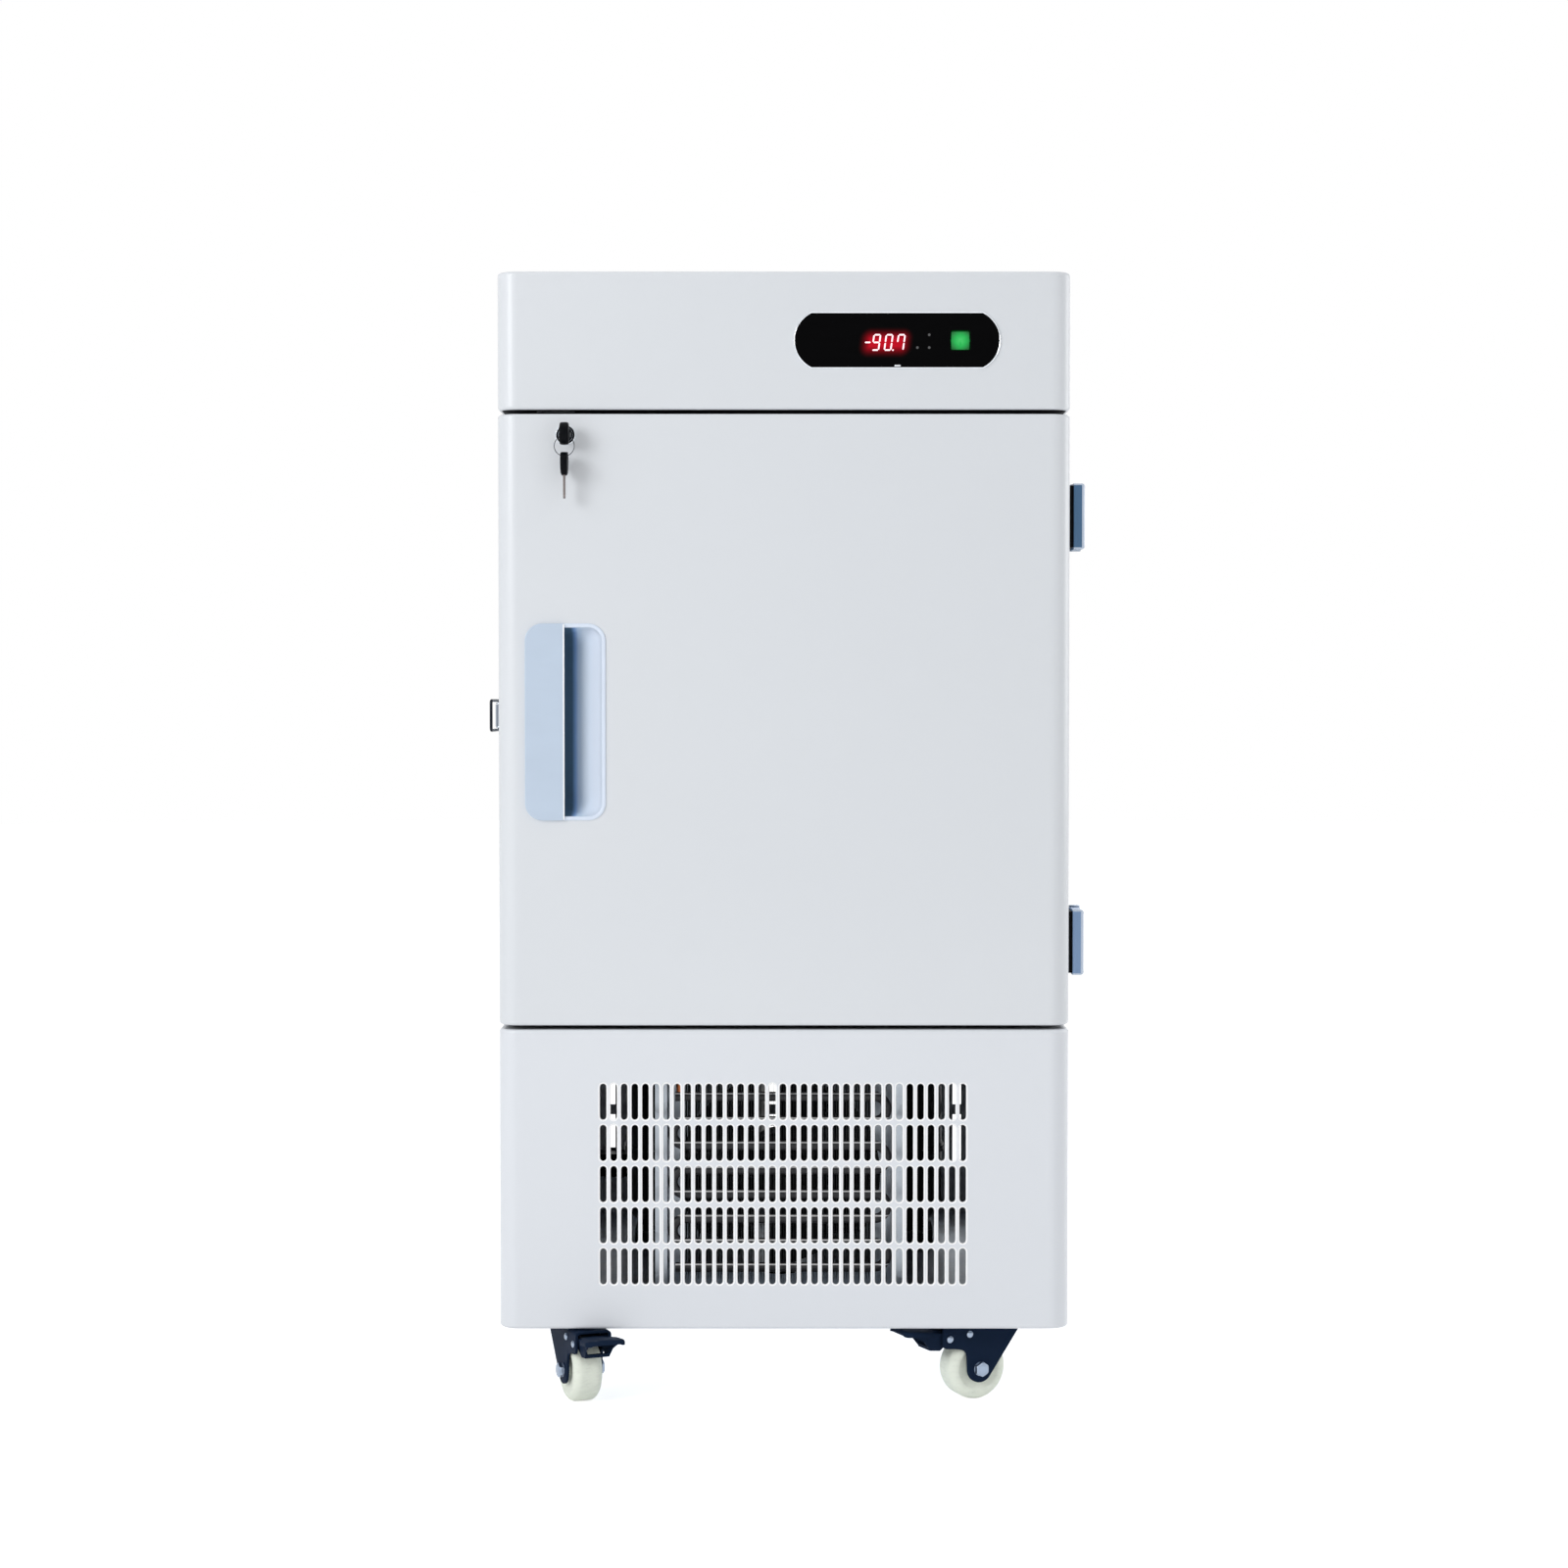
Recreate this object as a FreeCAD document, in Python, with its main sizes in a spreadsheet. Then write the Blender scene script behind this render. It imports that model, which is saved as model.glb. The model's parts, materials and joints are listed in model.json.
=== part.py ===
import FreeCAD, Part
import math
import os

import Sketcher

# Upright laboratory freezer. Origin on the floor under its middle, +Z up, the door faces -Y.

DIMENSIONS = dict(
    # Outer box, sheet metal and the gaps between the front panels
    cabinet_width=560,
    cabinet_depth=620,
    sheet_thickness=1.2,
    tray_level=88,
    skirt_drop=10,
    base_panel_height=295,
    panel_gap=4,
    door_height=597,
    head_height=134,
    door_thickness=85,
    gasket_gap=10,
    corner_radius=20,
    edge_radius=3,
    fit_gap=0.3,
    # Storage chamber
    frame_thickness=6,
    chamber_width=350,
    chamber_height=440,
    chamber_depth=380,
    liner_wall=1.5,
    liner_radius=5,
    shelf_thickness=2,
    shelf_lip=14,
    shelf_side_gap=2,
    support_size=10,
    # Inner doors
    inner_door_setback=16,
    inner_door_thickness=25,
    inner_door_side_gap=3,
    inner_door_gap=4,
    inner_door_radius=2.5,
    inner_pin_radius=1.5,
    inner_pin_length=8,
    inner_ear_thickness=1.5,
    inner_ear_width=14,
    inner_ear_reach=5,
    inner_ear_margin=2,
    inner_ear_lift=0.5,
    # Door
    door_liner_wall=2,
    plug_side_gap=8,
    plug_depth=22,
    plug_radius=12,
    gasket_width=20,
    gasket_margin=30,
    gasket_corner=15,
    # Handle cup and grip plate
    handle_inset=27.5,
    handle_drop=204,
    handle_width=78.7,
    handle_height=192,
    handle_radius=17,
    rim_width=4,
    rim_thickness=1.5,
    cup_depth=30,
    cup_wall=2,
    cup_floor_width=37,
    cup_draft=8,
    grip_width=38.5,
    grip_thickness=2,
    # Lock, keys and ring
    lock_inset=67.4,
    lock_drop=20.7,
    barrel_radius=8,
    barrel_flange_radius=10,
    barrel_flange_thickness=2,
    barrel_length=24,
    lock_plug_radius=5.5,
    running_gap=0.1,
    plug_tail_radius=3,
    cam_length=30,
    cam_width=10,
    cam_thickness=2.5,
    cam_clearance=2,
    blade_width=7.6,
    blade_thickness=2,
    blade_clearance=0.3,
    blade_length=25,
    key_reach=28,
    bow_radius=11,
    bow_thickness=6.5,
    bow_hole_radius=3,
    bow_hole_drop=1,
    ring_radius=9.5,
    ring_wire_radius=0.6,
    spare_bow_radius=11.5,
    spare_hole_radius=2.4,
    spare_hole_margin=2.2,
    spare_blade_length=22,
    # Hinges on the right side
    hinge_height=65,
    upper_hinge_drop=97,
    lower_hinge_rise=78,
    hinge_axis_out=12,
    hinge_axis_back=5,
    hinge_leaf_reach=45,
    hinge_leaf_thickness=11,
    hinge_leaf_chamfer=2,
    shim_thickness=7,
    knuckle_radius=5.5,
    hinge_pin_radius=3,
    hinge_pin_head=1.5,
    cabinet_leaf_thickness=6,
    cabinet_leaf_length=36,
    # Toggle latch on the left side
    latch_level=680,
    latch_plate_thickness=1.5,
    latch_plate_height=49,
    latch_plate_length=42,
    latch_pivot_out=7,
    latch_pivot_back=13,
    latch_ear_radius=4,
    latch_pin_radius=1.5,
    lever_width=22,
    lever_length=44,
    lever_sheet=1.5,
    lever_out=11.5,
    bail_offset=10,
    bail_out=8,
    bail_wire_radius=1.5,
    bail_length=54,
    bail_tilt=4,
    keeper_length=30,
    keeper_hook_height=6,
    keeper_hook_back=3.5,
    # Grille in the base panel
    grille_pitch=10.36,
    grille_row_pitch=40.5,
    grille_columns=35,
    grille_rows=5,
    grille_slot_width=6.2,
    grille_slot_height=35.3,
    grille_drop=151.7,
    grille_shift=-1,
    rear_slot_width=10,
    rear_slot_height=60,
    rear_slot_pitch=24,
    rear_slot_columns=20,
    rear_slot_rows=3,
    rear_slot_row_pitch=72,
    # Base tray, condenser, fan and compressors
    tray_thickness=2,
    tray_flange=16,
    tray_front_gap=8,
    coil_left=-98,
    coil_right=90,
    coil_setback=42,
    coil_depth=43,
    coil_rows=8,
    coil_pitch=24.3,
    coil_lowest=132,
    coil_tube_radius=4.75,
    end_plate_thickness=1.5,
    end_flange_width=12,
    bend_room=18,
    shroud_setback=89,
    fan_hole_radius=101,
    fan_radius=92,
    fan_hub_radius=24,
    fan_hub_length=26,
    fan_blades=5,
    fan_blade_thickness=2,
    fan_root_chord=34,
    fan_tip_chord=58,
    fan_root_pitch=42,
    fan_tip_pitch=26,
    fan_gap=12,
    fan_motor_radius=36,
    fan_motor_length=52,
    fan_shaft_radius=4,
    fan_post_width=30,
    compressor_radius=78,
    compressor_height=190,
    compressor_seam=85.5,
    compressor_spread=100,
    compressor_setback=470,
    compressor_foot=132,
    compressor_foot_thickness=3,
    mount_radius=11,
    mount_height=12,
    pipe_radius=4,
    pipe_bend=24,
    pipe_rise=42,
    interstage_rise=24,
    # Display, board, rocker and mains inlet
    display_x=110,
    display_drop=67,
    display_half_width=98.4,
    display_half_flat=82,
    display_half_height=25.2,
    display_arc_radius=28.2,
    bezel_width=2.2,
    bezel_thickness=1.8,
    lens_thickness=3,
    board_width=190,
    board_height=70,
    board_setback=14,
    board_thickness=1.6,
    digits_x=97,
    digits_width=70,
    digits_height=26,
    rocker_x=171.4,
    rocker_size=17.4,
    rocker_gap=0.8,
    rocker_pivot_depth=4.5,
    rocker_pin_radius=1,
    rocker_pin_reach=2,
    rocker_half_angle=7,
    rocker_back=4,
    inlet_inset=80,
    inlet_level=150,
    inlet_width=50,
    inlet_height=32,
    inlet_flange=2.5,
    inlet_body_depth=34,
    inlet_socket_depth=18,
    # Casters
    caster_inset=67,
    caster_setback=65,
    caster_trail=28,
    front_left_heading=-68,
    front_right_heading=-155.5,
    rear_left_heading=112,
    rear_right_heading=65,
    wheel_radius=31.5,
    wheel_width=28,
    wheel_rounding=9,
    wheel_hub_radius=9,
    axle_radius=4,
    axle_gap=0.15,
    bolt_head_radius=7.5,
    bolt_head_height=5.3,
    caster_plate_size=60,
    caster_plate_thickness=2.5,
    caster_bolt_spread=23,
    caster_bolt_radius=3,
    caster_bolt_head_radius=5.5,
    caster_bolt_head_height=3.4,
    boss_radius=10,
    boss_rivet_radius=14,
    boss_rivet_thickness=3,
    crown_radius=23,
    crown_drop=6.5,
    crown_thickness=3,
    race_height=4,
    fork_leg_gap=2,
    fork_leg_thickness=2.5,
    fork_heel=22,
    fork_toe=48,
    fork_foot_radius=11,
    pedal_pivot_reach=40,
    pedal_pin_radius=2.5,
    pedal_hub_radius=4,
    pedal_tip_reach=112,
    pedal_thickness=3,
    pedal_root_width=22,
    pedal_tip_width=40,
    pedal_level=68.5,
    pedal_tip_level=75,
)

document = FreeCAD.newDocument("laboratory_freezer")
sheet = document.addObject("Spreadsheet::Sheet", "Dims")
for row, (alias, number) in enumerate(DIMENSIONS.items(), start=1):
    sheet.set(f"A{row}", alias)
    sheet.set(f"B{row}", str(number))
    sheet.setAlias(f"B{row}", alias)
document.recompute()


class Size:
    """A length known as a number and as the expression that ties it to the sheet."""

    def __init__(self, value, text):
        self.value = float(value)
        self.text = text

    def __add__(self, other):
        other = size(other)
        return Size(self.value + other.value, f"({self.text} + {other.text})")

    def __sub__(self, other):
        other = size(other)
        return Size(self.value - other.value, f"({self.text} - {other.text})")

    def __mul__(self, other):
        other = size(other)
        return Size(self.value * other.value, f"({self.text} * {other.text})")

    def __truediv__(self, other):
        other = size(other)
        return Size(self.value / other.value, f"({self.text} / {other.text})")

    def __neg__(self):
        return Size(-self.value, f"(0 - {self.text})")

    def __radd__(self, other):
        return size(other) + self

    def __rsub__(self, other):
        return size(other) - self

    def __rmul__(self, other):
        return size(other) * self


def size(number):
    """Makes a Size of a plain number and leaves a Size as it is."""
    if isinstance(number, Size):
        return number
    return Size(number, repr(float(number)))


def root(length):
    """Square root of a Size."""
    return Size(math.sqrt(length.value), f"sqrt({length.text})")


def cosine(angle):
    """Cosine of a Size in degrees."""
    return Size(math.cos(math.radians(angle.value)), f"cos({angle.text} * 1 deg)")


def sine(angle):
    """Sine of a Size in degrees."""
    return Size(math.sin(math.radians(angle.value)), f"sin({angle.text} * 1 deg)")


class Dimensions:
    """The cells of the sheet, each under its own name."""


D = Dimensions()
for alias in DIMENSIONS:
    setattr(D, alias, Size(sheet.get(alias), f"Dims.{alias}"))


def bind(item, name, amount):
    """Sets a property of an object and ties it to the sheet."""
    amount = size(amount)
    if "Dims." in amount.text:
        item.setExpression(name, amount.text)
    elif "." in name:
        item.setExpression(name, repr(amount.value))
    else:
        setattr(item, name, amount.value)


def set_position(item, x=0, y=0, z=0):
    """Ties the origin of an object to a point."""
    for axis, amount in zip("xyz", (x, y, z)):
        bind(item, f"Placement.Base.{axis}", amount)


def turn_about(item, axis, angle):
    """Turns an object about an axis through its own origin, by an angle tied to the sheet."""
    item.Placement = FreeCAD.Placement(item.Placement.Base, FreeCAD.Rotation(axis, angle.value))
    bind(item, "Placement.Rotation.Angle", angle)


X_AXIS = FreeCAD.Vector(1, 0, 0)
Y_AXIS = FreeCAD.Vector(0, 1, 0)
Z_AXIS = FreeCAD.Vector(0, 0, 1)
ALONG = {
    "x": FreeCAD.Rotation(Y_AXIS, 90),
    "y": FreeCAD.Rotation(X_AXIS, -90),
    "z": FreeCAD.Rotation(Z_AXIS, 0),
}
FACING = {"XY": 1, "XZ": -1, "YZ": 1}
TOUCH = 1e-4

nodes = []


def keep(item, name):
    """Makes an object one of the freezer's named pieces."""
    item.Label = name
    nodes.append(item)
    return item


def block(name, x, y, z):
    """A box between three pairs of planes."""
    item = document.addObject("Part::Box", name)
    for side, (low, high) in zip(("Length", "Width", "Height"), (x, y, z)):
        bind(item, side, high - low)
    set_position(item, x[0], y[0], z[0])
    return item


def rod(name, axis, radius, low, high, x=0, y=0, z=0):
    """A cylinder along an axis from one plane to another."""
    item = document.addObject("Part::Cylinder", name)
    item.Placement = FreeCAD.Placement(FreeCAD.Vector(), ALONG[axis])
    bind(item, "Radius", radius)
    bind(item, "Height", high - low)
    place = dict(x=x, y=y, z=z)
    place[axis] = low
    set_position(item, **place)
    return item


def fuse(name, *parts):
    """One solid of several that touch or overlap."""
    item = document.addObject("Part::MultiFuse", name)
    item.Shapes = list(parts)
    item.Refine = True
    return item


def cut(name, base, *tools):
    """A solid with others taken away."""
    item = document.addObject("Part::Cut", name)
    item.Base = base
    item.Tool = tools[0] if len(tools) == 1 else fuse(name + "_tools", *tools)
    item.Refine = True
    return item


def group(name, *parts):
    """Several separate solids as one piece."""
    item = document.addObject("Part::Compound", name)
    item.Links = list(parts)
    return item


def rectangle(x0, x1, y0, y1):
    """Corners of a rectangle, anticlockwise."""
    return [(x0, y0), (x1, y0), (x1, y1), (x0, y1)]


def rounded(x0, x1, y0, y1, radius):
    """A rectangle with four round corners."""
    return [
        (x0 + radius, y0),
        (x1 - radius, y0),
        (x1, y0 + radius, x1 - radius, y0 + radius, 1),
        (x1, y1 - radius),
        (x1 - radius, y1, x1 - radius, y1 - radius, 1),
        (x0 + radius, y1),
        (x0, y1 - radius, x0 + radius, y1 - radius, 1),
        (x0, y0 + radius),
        (x0 + radius, y0, x0 + radius, y0 + radius, 1),
    ]


def upright_slot(x, y, width, height):
    """A slot with half-round ends that stands on end."""
    radius = width / 2
    low = y - height / 2 + radius
    high = y + height / 2 - radius
    return [
        (x + radius, low),
        (x + radius, high),
        (x - radius, high, x, high, 1),
        (x - radius, low),
        (x + radius, low, x, low, 1),
    ]


def barrel(x, y, half_width, half_flat, half_height, radius):
    """A shape with a flat top and bottom and bowed ends."""
    centre = half_width - radius
    return [
        (x - half_flat, y - half_height),
        (x + half_flat, y - half_height),
        (x + half_flat, y + half_height, x + centre, y, 1),
        (x - half_flat, y + half_height),
        (x - half_flat, y - half_height, x - centre, y, 1),
    ]


def add_arc(sketch, start, step):
    """Adds the arc that a step describes and says whether it runs backwards."""
    x, y, centre_x, centre_y = (size(number).value for number in step[:4])
    centre = FreeCAD.Vector(centre_x, centre_y, 0)
    ends = [FreeCAD.Vector(*start, 0), FreeCAD.Vector(x, y, 0)]
    if step[4] < 0:
        ends.reverse()
    angles = [math.atan2(end.y - centre.y, end.x - centre.x) for end in ends]
    circle = Part.Circle(centre, Z_AXIS, (ends[0] - centre).Length)
    sketch.addGeometry(Part.ArcOfCircle(circle, *angles))
    return step[4] < 0


def pin_point(sketch, index, place, x=None, y=None):
    """Ties a point of a sketch to the sheet, measured from the sketch's origin."""
    for kind, amount in (("DistanceX", x), ("DistanceY", y)):
        if amount is None:
            continue
        amount = size(amount)
        number = sketch.addConstraint(
            Sketcher.Constraint(kind, -1, 1, index, place, amount.value)
        )
        if "Dims." in amount.text:
            sketch.setExpression(f"Constraints[{number}]", amount.text)


def draw(sketch, steps, closed=True):
    """Draws lines and arcs through the points of an outline, each point tied to the sheet.

    A step (x, y) is a line to that point. A step (x, y, cx, cy, turn) is an arc about
    (cx, cy), anticlockwise where turn is 1 and clockwise where it is -1.
    """
    corners = [(size(step[0]).value, size(step[1]).value) for step in steps]
    first = sketch.GeometryCount
    tails = []
    pairs = list(zip(range(-1, len(steps) - 1), range(len(steps))))
    if not closed:
        pairs = pairs[1:]
    if closed and math.dist(corners[0], corners[-1]) < TOUCH:
        steps = steps[1:]
        corners = corners[1:]
        pairs = list(zip(range(-1, len(steps) - 1), range(len(steps))))
    for before, after in pairs:
        index = sketch.GeometryCount
        step = steps[after]
        if len(step) == 5:
            backwards = add_arc(sketch, corners[before], step)
        else:
            ends = [FreeCAD.Vector(*corners[i], 0) for i in (before, after)]
            sketch.addGeometry(Part.LineSegment(*ends))
            backwards = False
        head, tail = (2, 1) if backwards else (1, 2)
        if tails:
            join = Sketcher.Constraint("Coincident", tails[-1][0], tails[-1][1], index, head)
            sketch.addConstraint(join)
        else:
            start = (index, head)
        tails.append((index, tail))
        pin_point(sketch, index, tail, step[0], step[1])
        if len(step) == 5:
            chord_x = abs(corners[after][0] - corners[before][0])
            chord_y = abs(corners[after][1] - corners[before][1])
            if chord_y > chord_x:
                pin_point(sketch, index, 3, x=step[2])
            else:
                pin_point(sketch, index, 3, y=step[3])
    if closed:
        sketch.addConstraint(Sketcher.Constraint("Coincident", *tails[-1], *start))
    else:
        pin_point(sketch, first, start[1], steps[0][0], steps[0][1])


def draw_circle(sketch, x, y, radius):
    """Draws a circle tied to the sheet."""
    centre = FreeCAD.Vector(size(x).value, size(y).value, 0)
    index = sketch.addGeometry(Part.Circle(centre, Z_AXIS, size(radius).value))
    pin_point(sketch, index, 3, x, y)
    number = sketch.addConstraint(Sketcher.Constraint("Radius", index, size(radius).value))
    if "Dims." in size(radius).text:
        sketch.setExpression(f"Constraints[{number}]", size(radius).text)


def edges(shape, x=None, y=None, z=None):
    """Names of the edges that lie wholly in the given planes."""
    wanted = [(i, size(level).value) for i, level in enumerate((x, y, z)) if level is not None]
    found = []
    for number, edge in enumerate(shape.Edges, start=1):
        points = edge.discretize(5)
        if all(abs(point[i] - level) < TOUCH for point in points for i, level in wanted):
            found.append(f"Edge{number}")
    return found


class Piece:
    """A body built up from sketches on its own origin planes."""

    def __init__(self, name):
        self.name = name
        self.body = document.addObject("PartDesign::Body", name + "_body")

    def origin(self, role):
        """A plane or axis of the body's origin."""
        return [item for item in self.body.Origin.OriginFeatures if item.Role == role][0]

    def sketch(self, plane, level=0):
        """An empty sketch on a plane at a distance from the body's origin."""
        item = self.body.newObject("Sketcher::SketchObject", self.name + "_sketch")
        item.AttachmentSupport = [(self.origin(plane + "_Plane"), "")]
        item.MapMode = "FlatFace"
        bind(item, "AttachmentOffset.Base.z", size(level) * FACING[plane])
        return item

    def profile(self, plane, level, outlines=(), circles=()):
        """A sketch with closed outlines and circles."""
        item = self.sketch(plane, level)
        for outline in outlines:
            draw(item, outline)
        for circle in circles:
            draw_circle(item, *circle)
        return item

    def feature(self, kind, **values):
        """A PartDesign feature with its plain values."""
        item = self.body.newObject("PartDesign::" + kind, f"{self.name}_{kind.lower()}")
        for name, value in values.items():
            setattr(item, name, value)
        return item

    def pad(self, plane, low, high, outlines=(), circles=()):
        """Adds a prism between two levels."""
        level = low if FACING[plane] > 0 else high
        item = self.feature("Pad", Profile=self.profile(plane, level, outlines, circles))
        bind(item, "Length", high - low)
        return item

    def pocket(self, plane, low, high, outlines=(), circles=()):
        """Takes a prism between two levels away."""
        level = high if FACING[plane] > 0 else low
        item = self.feature("Pocket", Profile=self.profile(plane, level, outlines, circles))
        bind(item, "Length", high - low)
        return item

    def revolve(self, plane, outline, axis="V_Axis"):
        """Turns an outline about an axis of its sketch."""
        sketch = self.profile(plane, 0, [outline])
        return self.feature("Revolution", Profile=sketch, ReferenceAxis=(sketch, [axis]), Angle=360)

    def loft(self, kind, plane, *sections):
        """Joins outlines at several levels, by adding or by taking away."""
        sketches = [self.profile(plane, level, [outline]) for level, outline in sections]
        return self.feature(kind, Profile=sketches[0], Sections=sketches[1:])

    def pipe(self, plane, level, steps, radius, start_plane, start):
        """A round tube along a path, which starts at right angles to one of the planes."""
        spine = self.sketch(plane, level)
        draw(spine, steps, closed=False)
        section = self.profile(start_plane, start[0], circles=[(start[1], start[2], radius)])
        return self.feature("AdditivePipe", Profile=section, Spine=(spine, []))

    def fillet(self, radius, *choices):
        """Rounds the edges that lie in the chosen planes."""
        return self.dress("Fillet", "Radius", radius, choices)

    def chamfer(self, width, *choices):
        """Bevels the edges that lie in the chosen planes."""
        return self.dress("Chamfer", "Size", width, choices)

    def dress(self, kind, name, amount, choices):
        """A fillet or chamfer on edges found by where they lie."""
        document.recompute()
        base = self.body.Tip
        chosen = []
        for choice in choices:
            left_out = edges(base.Shape, **choice["without"]) if "without" in choice else []
            planes = {axis: choice[axis] for axis in "xyz" if axis in choice}
            chosen += [edge for edge in edges(base.Shape, **planes) if edge not in left_out]
        item = self.feature(kind, Base=(base, sorted(set(chosen))))
        bind(item, name, amount)
        return item

    def repeat_around(self, features, axis, count):
        """Repeats features evenly about an axis."""
        item = self.feature("PolarPattern", Originals=list(features), Angle=360)
        item.Axis = (self.origin(axis + "_Axis"), [""])
        bind(item, "Occurrences", count)
        self.body.Tip = item
        return item

    def repeat_grid(self, features, axes, pitches, counts):
        """Repeats features in columns and rows."""
        item = self.feature("LinearPattern", Originals=list(features))
        for axis, pitch, count, suffix in zip(axes, pitches, counts, ("", "2")):
            setattr(item, "Direction" + suffix, (self.origin(axis + "_Axis"), [""]))
            setattr(item, "Mode" + suffix, "Spacing")
            bind(item, "Offset" + suffix, pitch)
            bind(item, "Occurrences" + suffix, count)
        self.body.Tip = item
        return item

    def done(self):
        """The finished body."""
        return self.body


# Main planes of the freezer
right = D.cabinet_width / 2
left = -right
inlet_x = left + D.inlet_inset
pedal_overhang = -(D.caster_setback + sine(D.front_left_heading) * D.pedal_tip_reach)
front = (pedal_overhang - D.cabinet_depth) / 2
back = front + D.cabinet_depth
skirt_level = D.tray_level - D.skirt_drop
base_top = skirt_level + D.base_panel_height
door_bottom = base_top + D.panel_gap
door_top = door_bottom + D.door_height
head_bottom = door_top + D.panel_gap
head_top = head_bottom + D.head_height
door_back = front + D.door_thickness
cabinet_front = door_back + D.gasket_gap
inside_right = right - D.sheet_thickness
inside_left = left + D.sheet_thickness
inside_back = back - D.sheet_thickness
chamber_right = D.chamber_width / 2
chamber_left = -chamber_right
chamber_middle = (base_top + head_bottom) / 2
chamber_bottom = chamber_middle - D.chamber_height / 2
chamber_top = chamber_middle + D.chamber_height / 2
chamber_back = cabinet_front + D.chamber_depth
frame_back = cabinet_front + D.frame_thickness
tray_top = D.tray_level + D.tray_thickness
inner_edge_radius = D.edge_radius - D.sheet_thickness
inner_corner_radius = D.corner_radius - D.sheet_thickness


def rounded_front(name, x, y, z, side_radius, edge_radius):
    """A block with round upright corners at the front and small rounds above and below."""
    piece = Piece(name)
    piece.pad("XZ", y[0], y[1], [rectangle(x[0], x[1], z[0], z[1])])
    piece.fillet(side_radius, dict(x=x[0], y=y[0]), dict(x=x[1], y=y[0]))
    behind = dict(y=y[1])
    piece.fillet(edge_radius, dict(z=z[0], without=behind), dict(z=z[1], without=behind))
    return piece.done()


def cabinet_shell():
    """The wrapped outer sheet: sides, roof and the two decks between the compartments."""
    piece = Piece("shell")
    deck = base_top - D.sheet_thickness
    outline = [
        (left, D.tray_level),
        (inside_left, D.tray_level),
        (inside_left, deck),
        (inside_right, deck),
        (inside_right, D.tray_level),
        (right, D.tray_level),
        (right, head_top),
        (left, head_top),
    ]
    storage = rectangle(inside_left, inside_right, base_top, head_bottom)
    roof = head_top - D.sheet_thickness
    head = rectangle(inside_left, inside_right, head_bottom + D.sheet_thickness, roof)
    piece.pad("XZ", cabinet_front, inside_back, [outline, storage, head])
    piece.fillet(D.edge_radius, dict(x=left, z=head_top), dict(x=right, z=head_top))
    piece.fillet(inner_edge_radius, dict(x=inside_left, z=roof), dict(x=inside_right, z=roof))
    keep(piece.done(), "cabinet_shell")


def back_panel():
    """Rear sheet with the warm-air slots and the hole for the mains inlet."""
    piece = Piece("rear")
    outline = rectangle(left, right, D.tray_level, head_top)
    piece.pad("XZ", inside_back, back, [outline])
    half_inlet = D.inlet_width / 2 - D.inlet_flange
    opening = rectangle(
        inlet_x - half_inlet,
        inlet_x + half_inlet,
        D.inlet_level - D.inlet_height / 2 + D.inlet_flange,
        D.inlet_level + D.inlet_height / 2 - D.inlet_flange,
    )
    piece.pocket("XZ", inside_back, back, [opening])
    span = D.rear_slot_pitch * (D.rear_slot_columns - 1)
    x0 = -span / 2 - D.rear_slot_width / 2
    rise = D.rear_slot_row_pitch * (D.rear_slot_rows - 1)
    middle = (tray_top + base_top) / 2 + D.tray_flange
    z0 = middle - rise / 2 - D.rear_slot_height / 2
    slot = rectangle(x0, x0 + D.rear_slot_width, z0, z0 + D.rear_slot_height)
    first = piece.pocket("XZ", inside_back, back, [slot])
    pitches = (D.rear_slot_pitch, D.rear_slot_row_pitch)
    piece.repeat_grid([first], "XZ", pitches, (D.rear_slot_columns, D.rear_slot_rows))
    keep(piece.done(), "back_panel")


def front_shell(name, z, closed_below, holes):
    """A folded front panel with rounded corners, open to the rear."""
    outer = rounded_front(name + "_outer", (left, right), (front, cabinet_front), z,
                          D.corner_radius, D.edge_radius)
    below = z[0] + D.sheet_thickness if closed_below else z[0] - D.edge_radius
    inner = rounded_front(name + "_inner", (inside_left, inside_right),
                          (front + D.sheet_thickness, cabinet_front + D.edge_radius),
                          (below, z[1] - D.sheet_thickness),
                          inner_corner_radius, inner_edge_radius)
    return cut(name, outer, inner, *holes)


def display_outline(margin):
    """Outline of the display, grown by a margin."""
    return barrel(D.display_x, display_level, D.display_half_width + margin,
                  D.display_half_flat + margin * D.display_half_flat / D.display_half_width,
                  D.display_half_height + margin, D.display_arc_radius + margin)


display_level = head_top - D.display_drop
lock_x = left + D.lock_inset
lock_z = door_top - D.lock_drop


def cam_slot(name, low, high):
    """The slot that the cam swings up through."""
    middle = cam_front + D.cam_thickness / 2
    half = D.cam_thickness / 2 + D.cam_clearance
    return block(name, (lock_x - D.cam_length, lock_x + D.cam_width / 2 + D.cam_clearance),
                 (middle - half, middle + half), (low, high))


cam_front = front + D.barrel_length + D.fit_gap


def control_head():
    """Hood of the control head, with the display window and the slot for the cam."""
    window = Piece("window")
    window.pad("XZ", front - D.edge_radius, front + D.edge_radius, [display_outline(size(0))])
    slot = cam_slot("head_slot", head_bottom - D.edge_radius, head_bottom + D.edge_radius)
    head = front_shell("head", (head_bottom, head_top), True, [window.done(), slot])
    keep(head, "control_head")


def lower_front_panel():
    """Base panel and skirt with the punched grille."""
    piece = Piece("grille")
    x0 = D.grille_shift - D.grille_pitch * (D.grille_columns - 1) / 2
    z0 = base_top - D.grille_drop - D.grille_row_pitch * (D.grille_rows - 1) / 2
    slot = upright_slot(x0, z0, D.grille_slot_width, D.grille_slot_height)
    shell = front_shell("base", (skirt_level, base_top), False, [])
    binder = piece.feature("FeatureBase", BaseFeature=shell)
    piece.body.Tip = binder
    first = piece.pocket("XZ", front - D.edge_radius, front + D.edge_radius, [slot])
    pitches = (D.grille_pitch, D.grille_row_pitch)
    piece.repeat_grid([first], "XZ", pitches, (D.grille_columns, D.grille_rows))
    keep(piece.done(), "lower_front_panel")


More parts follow.
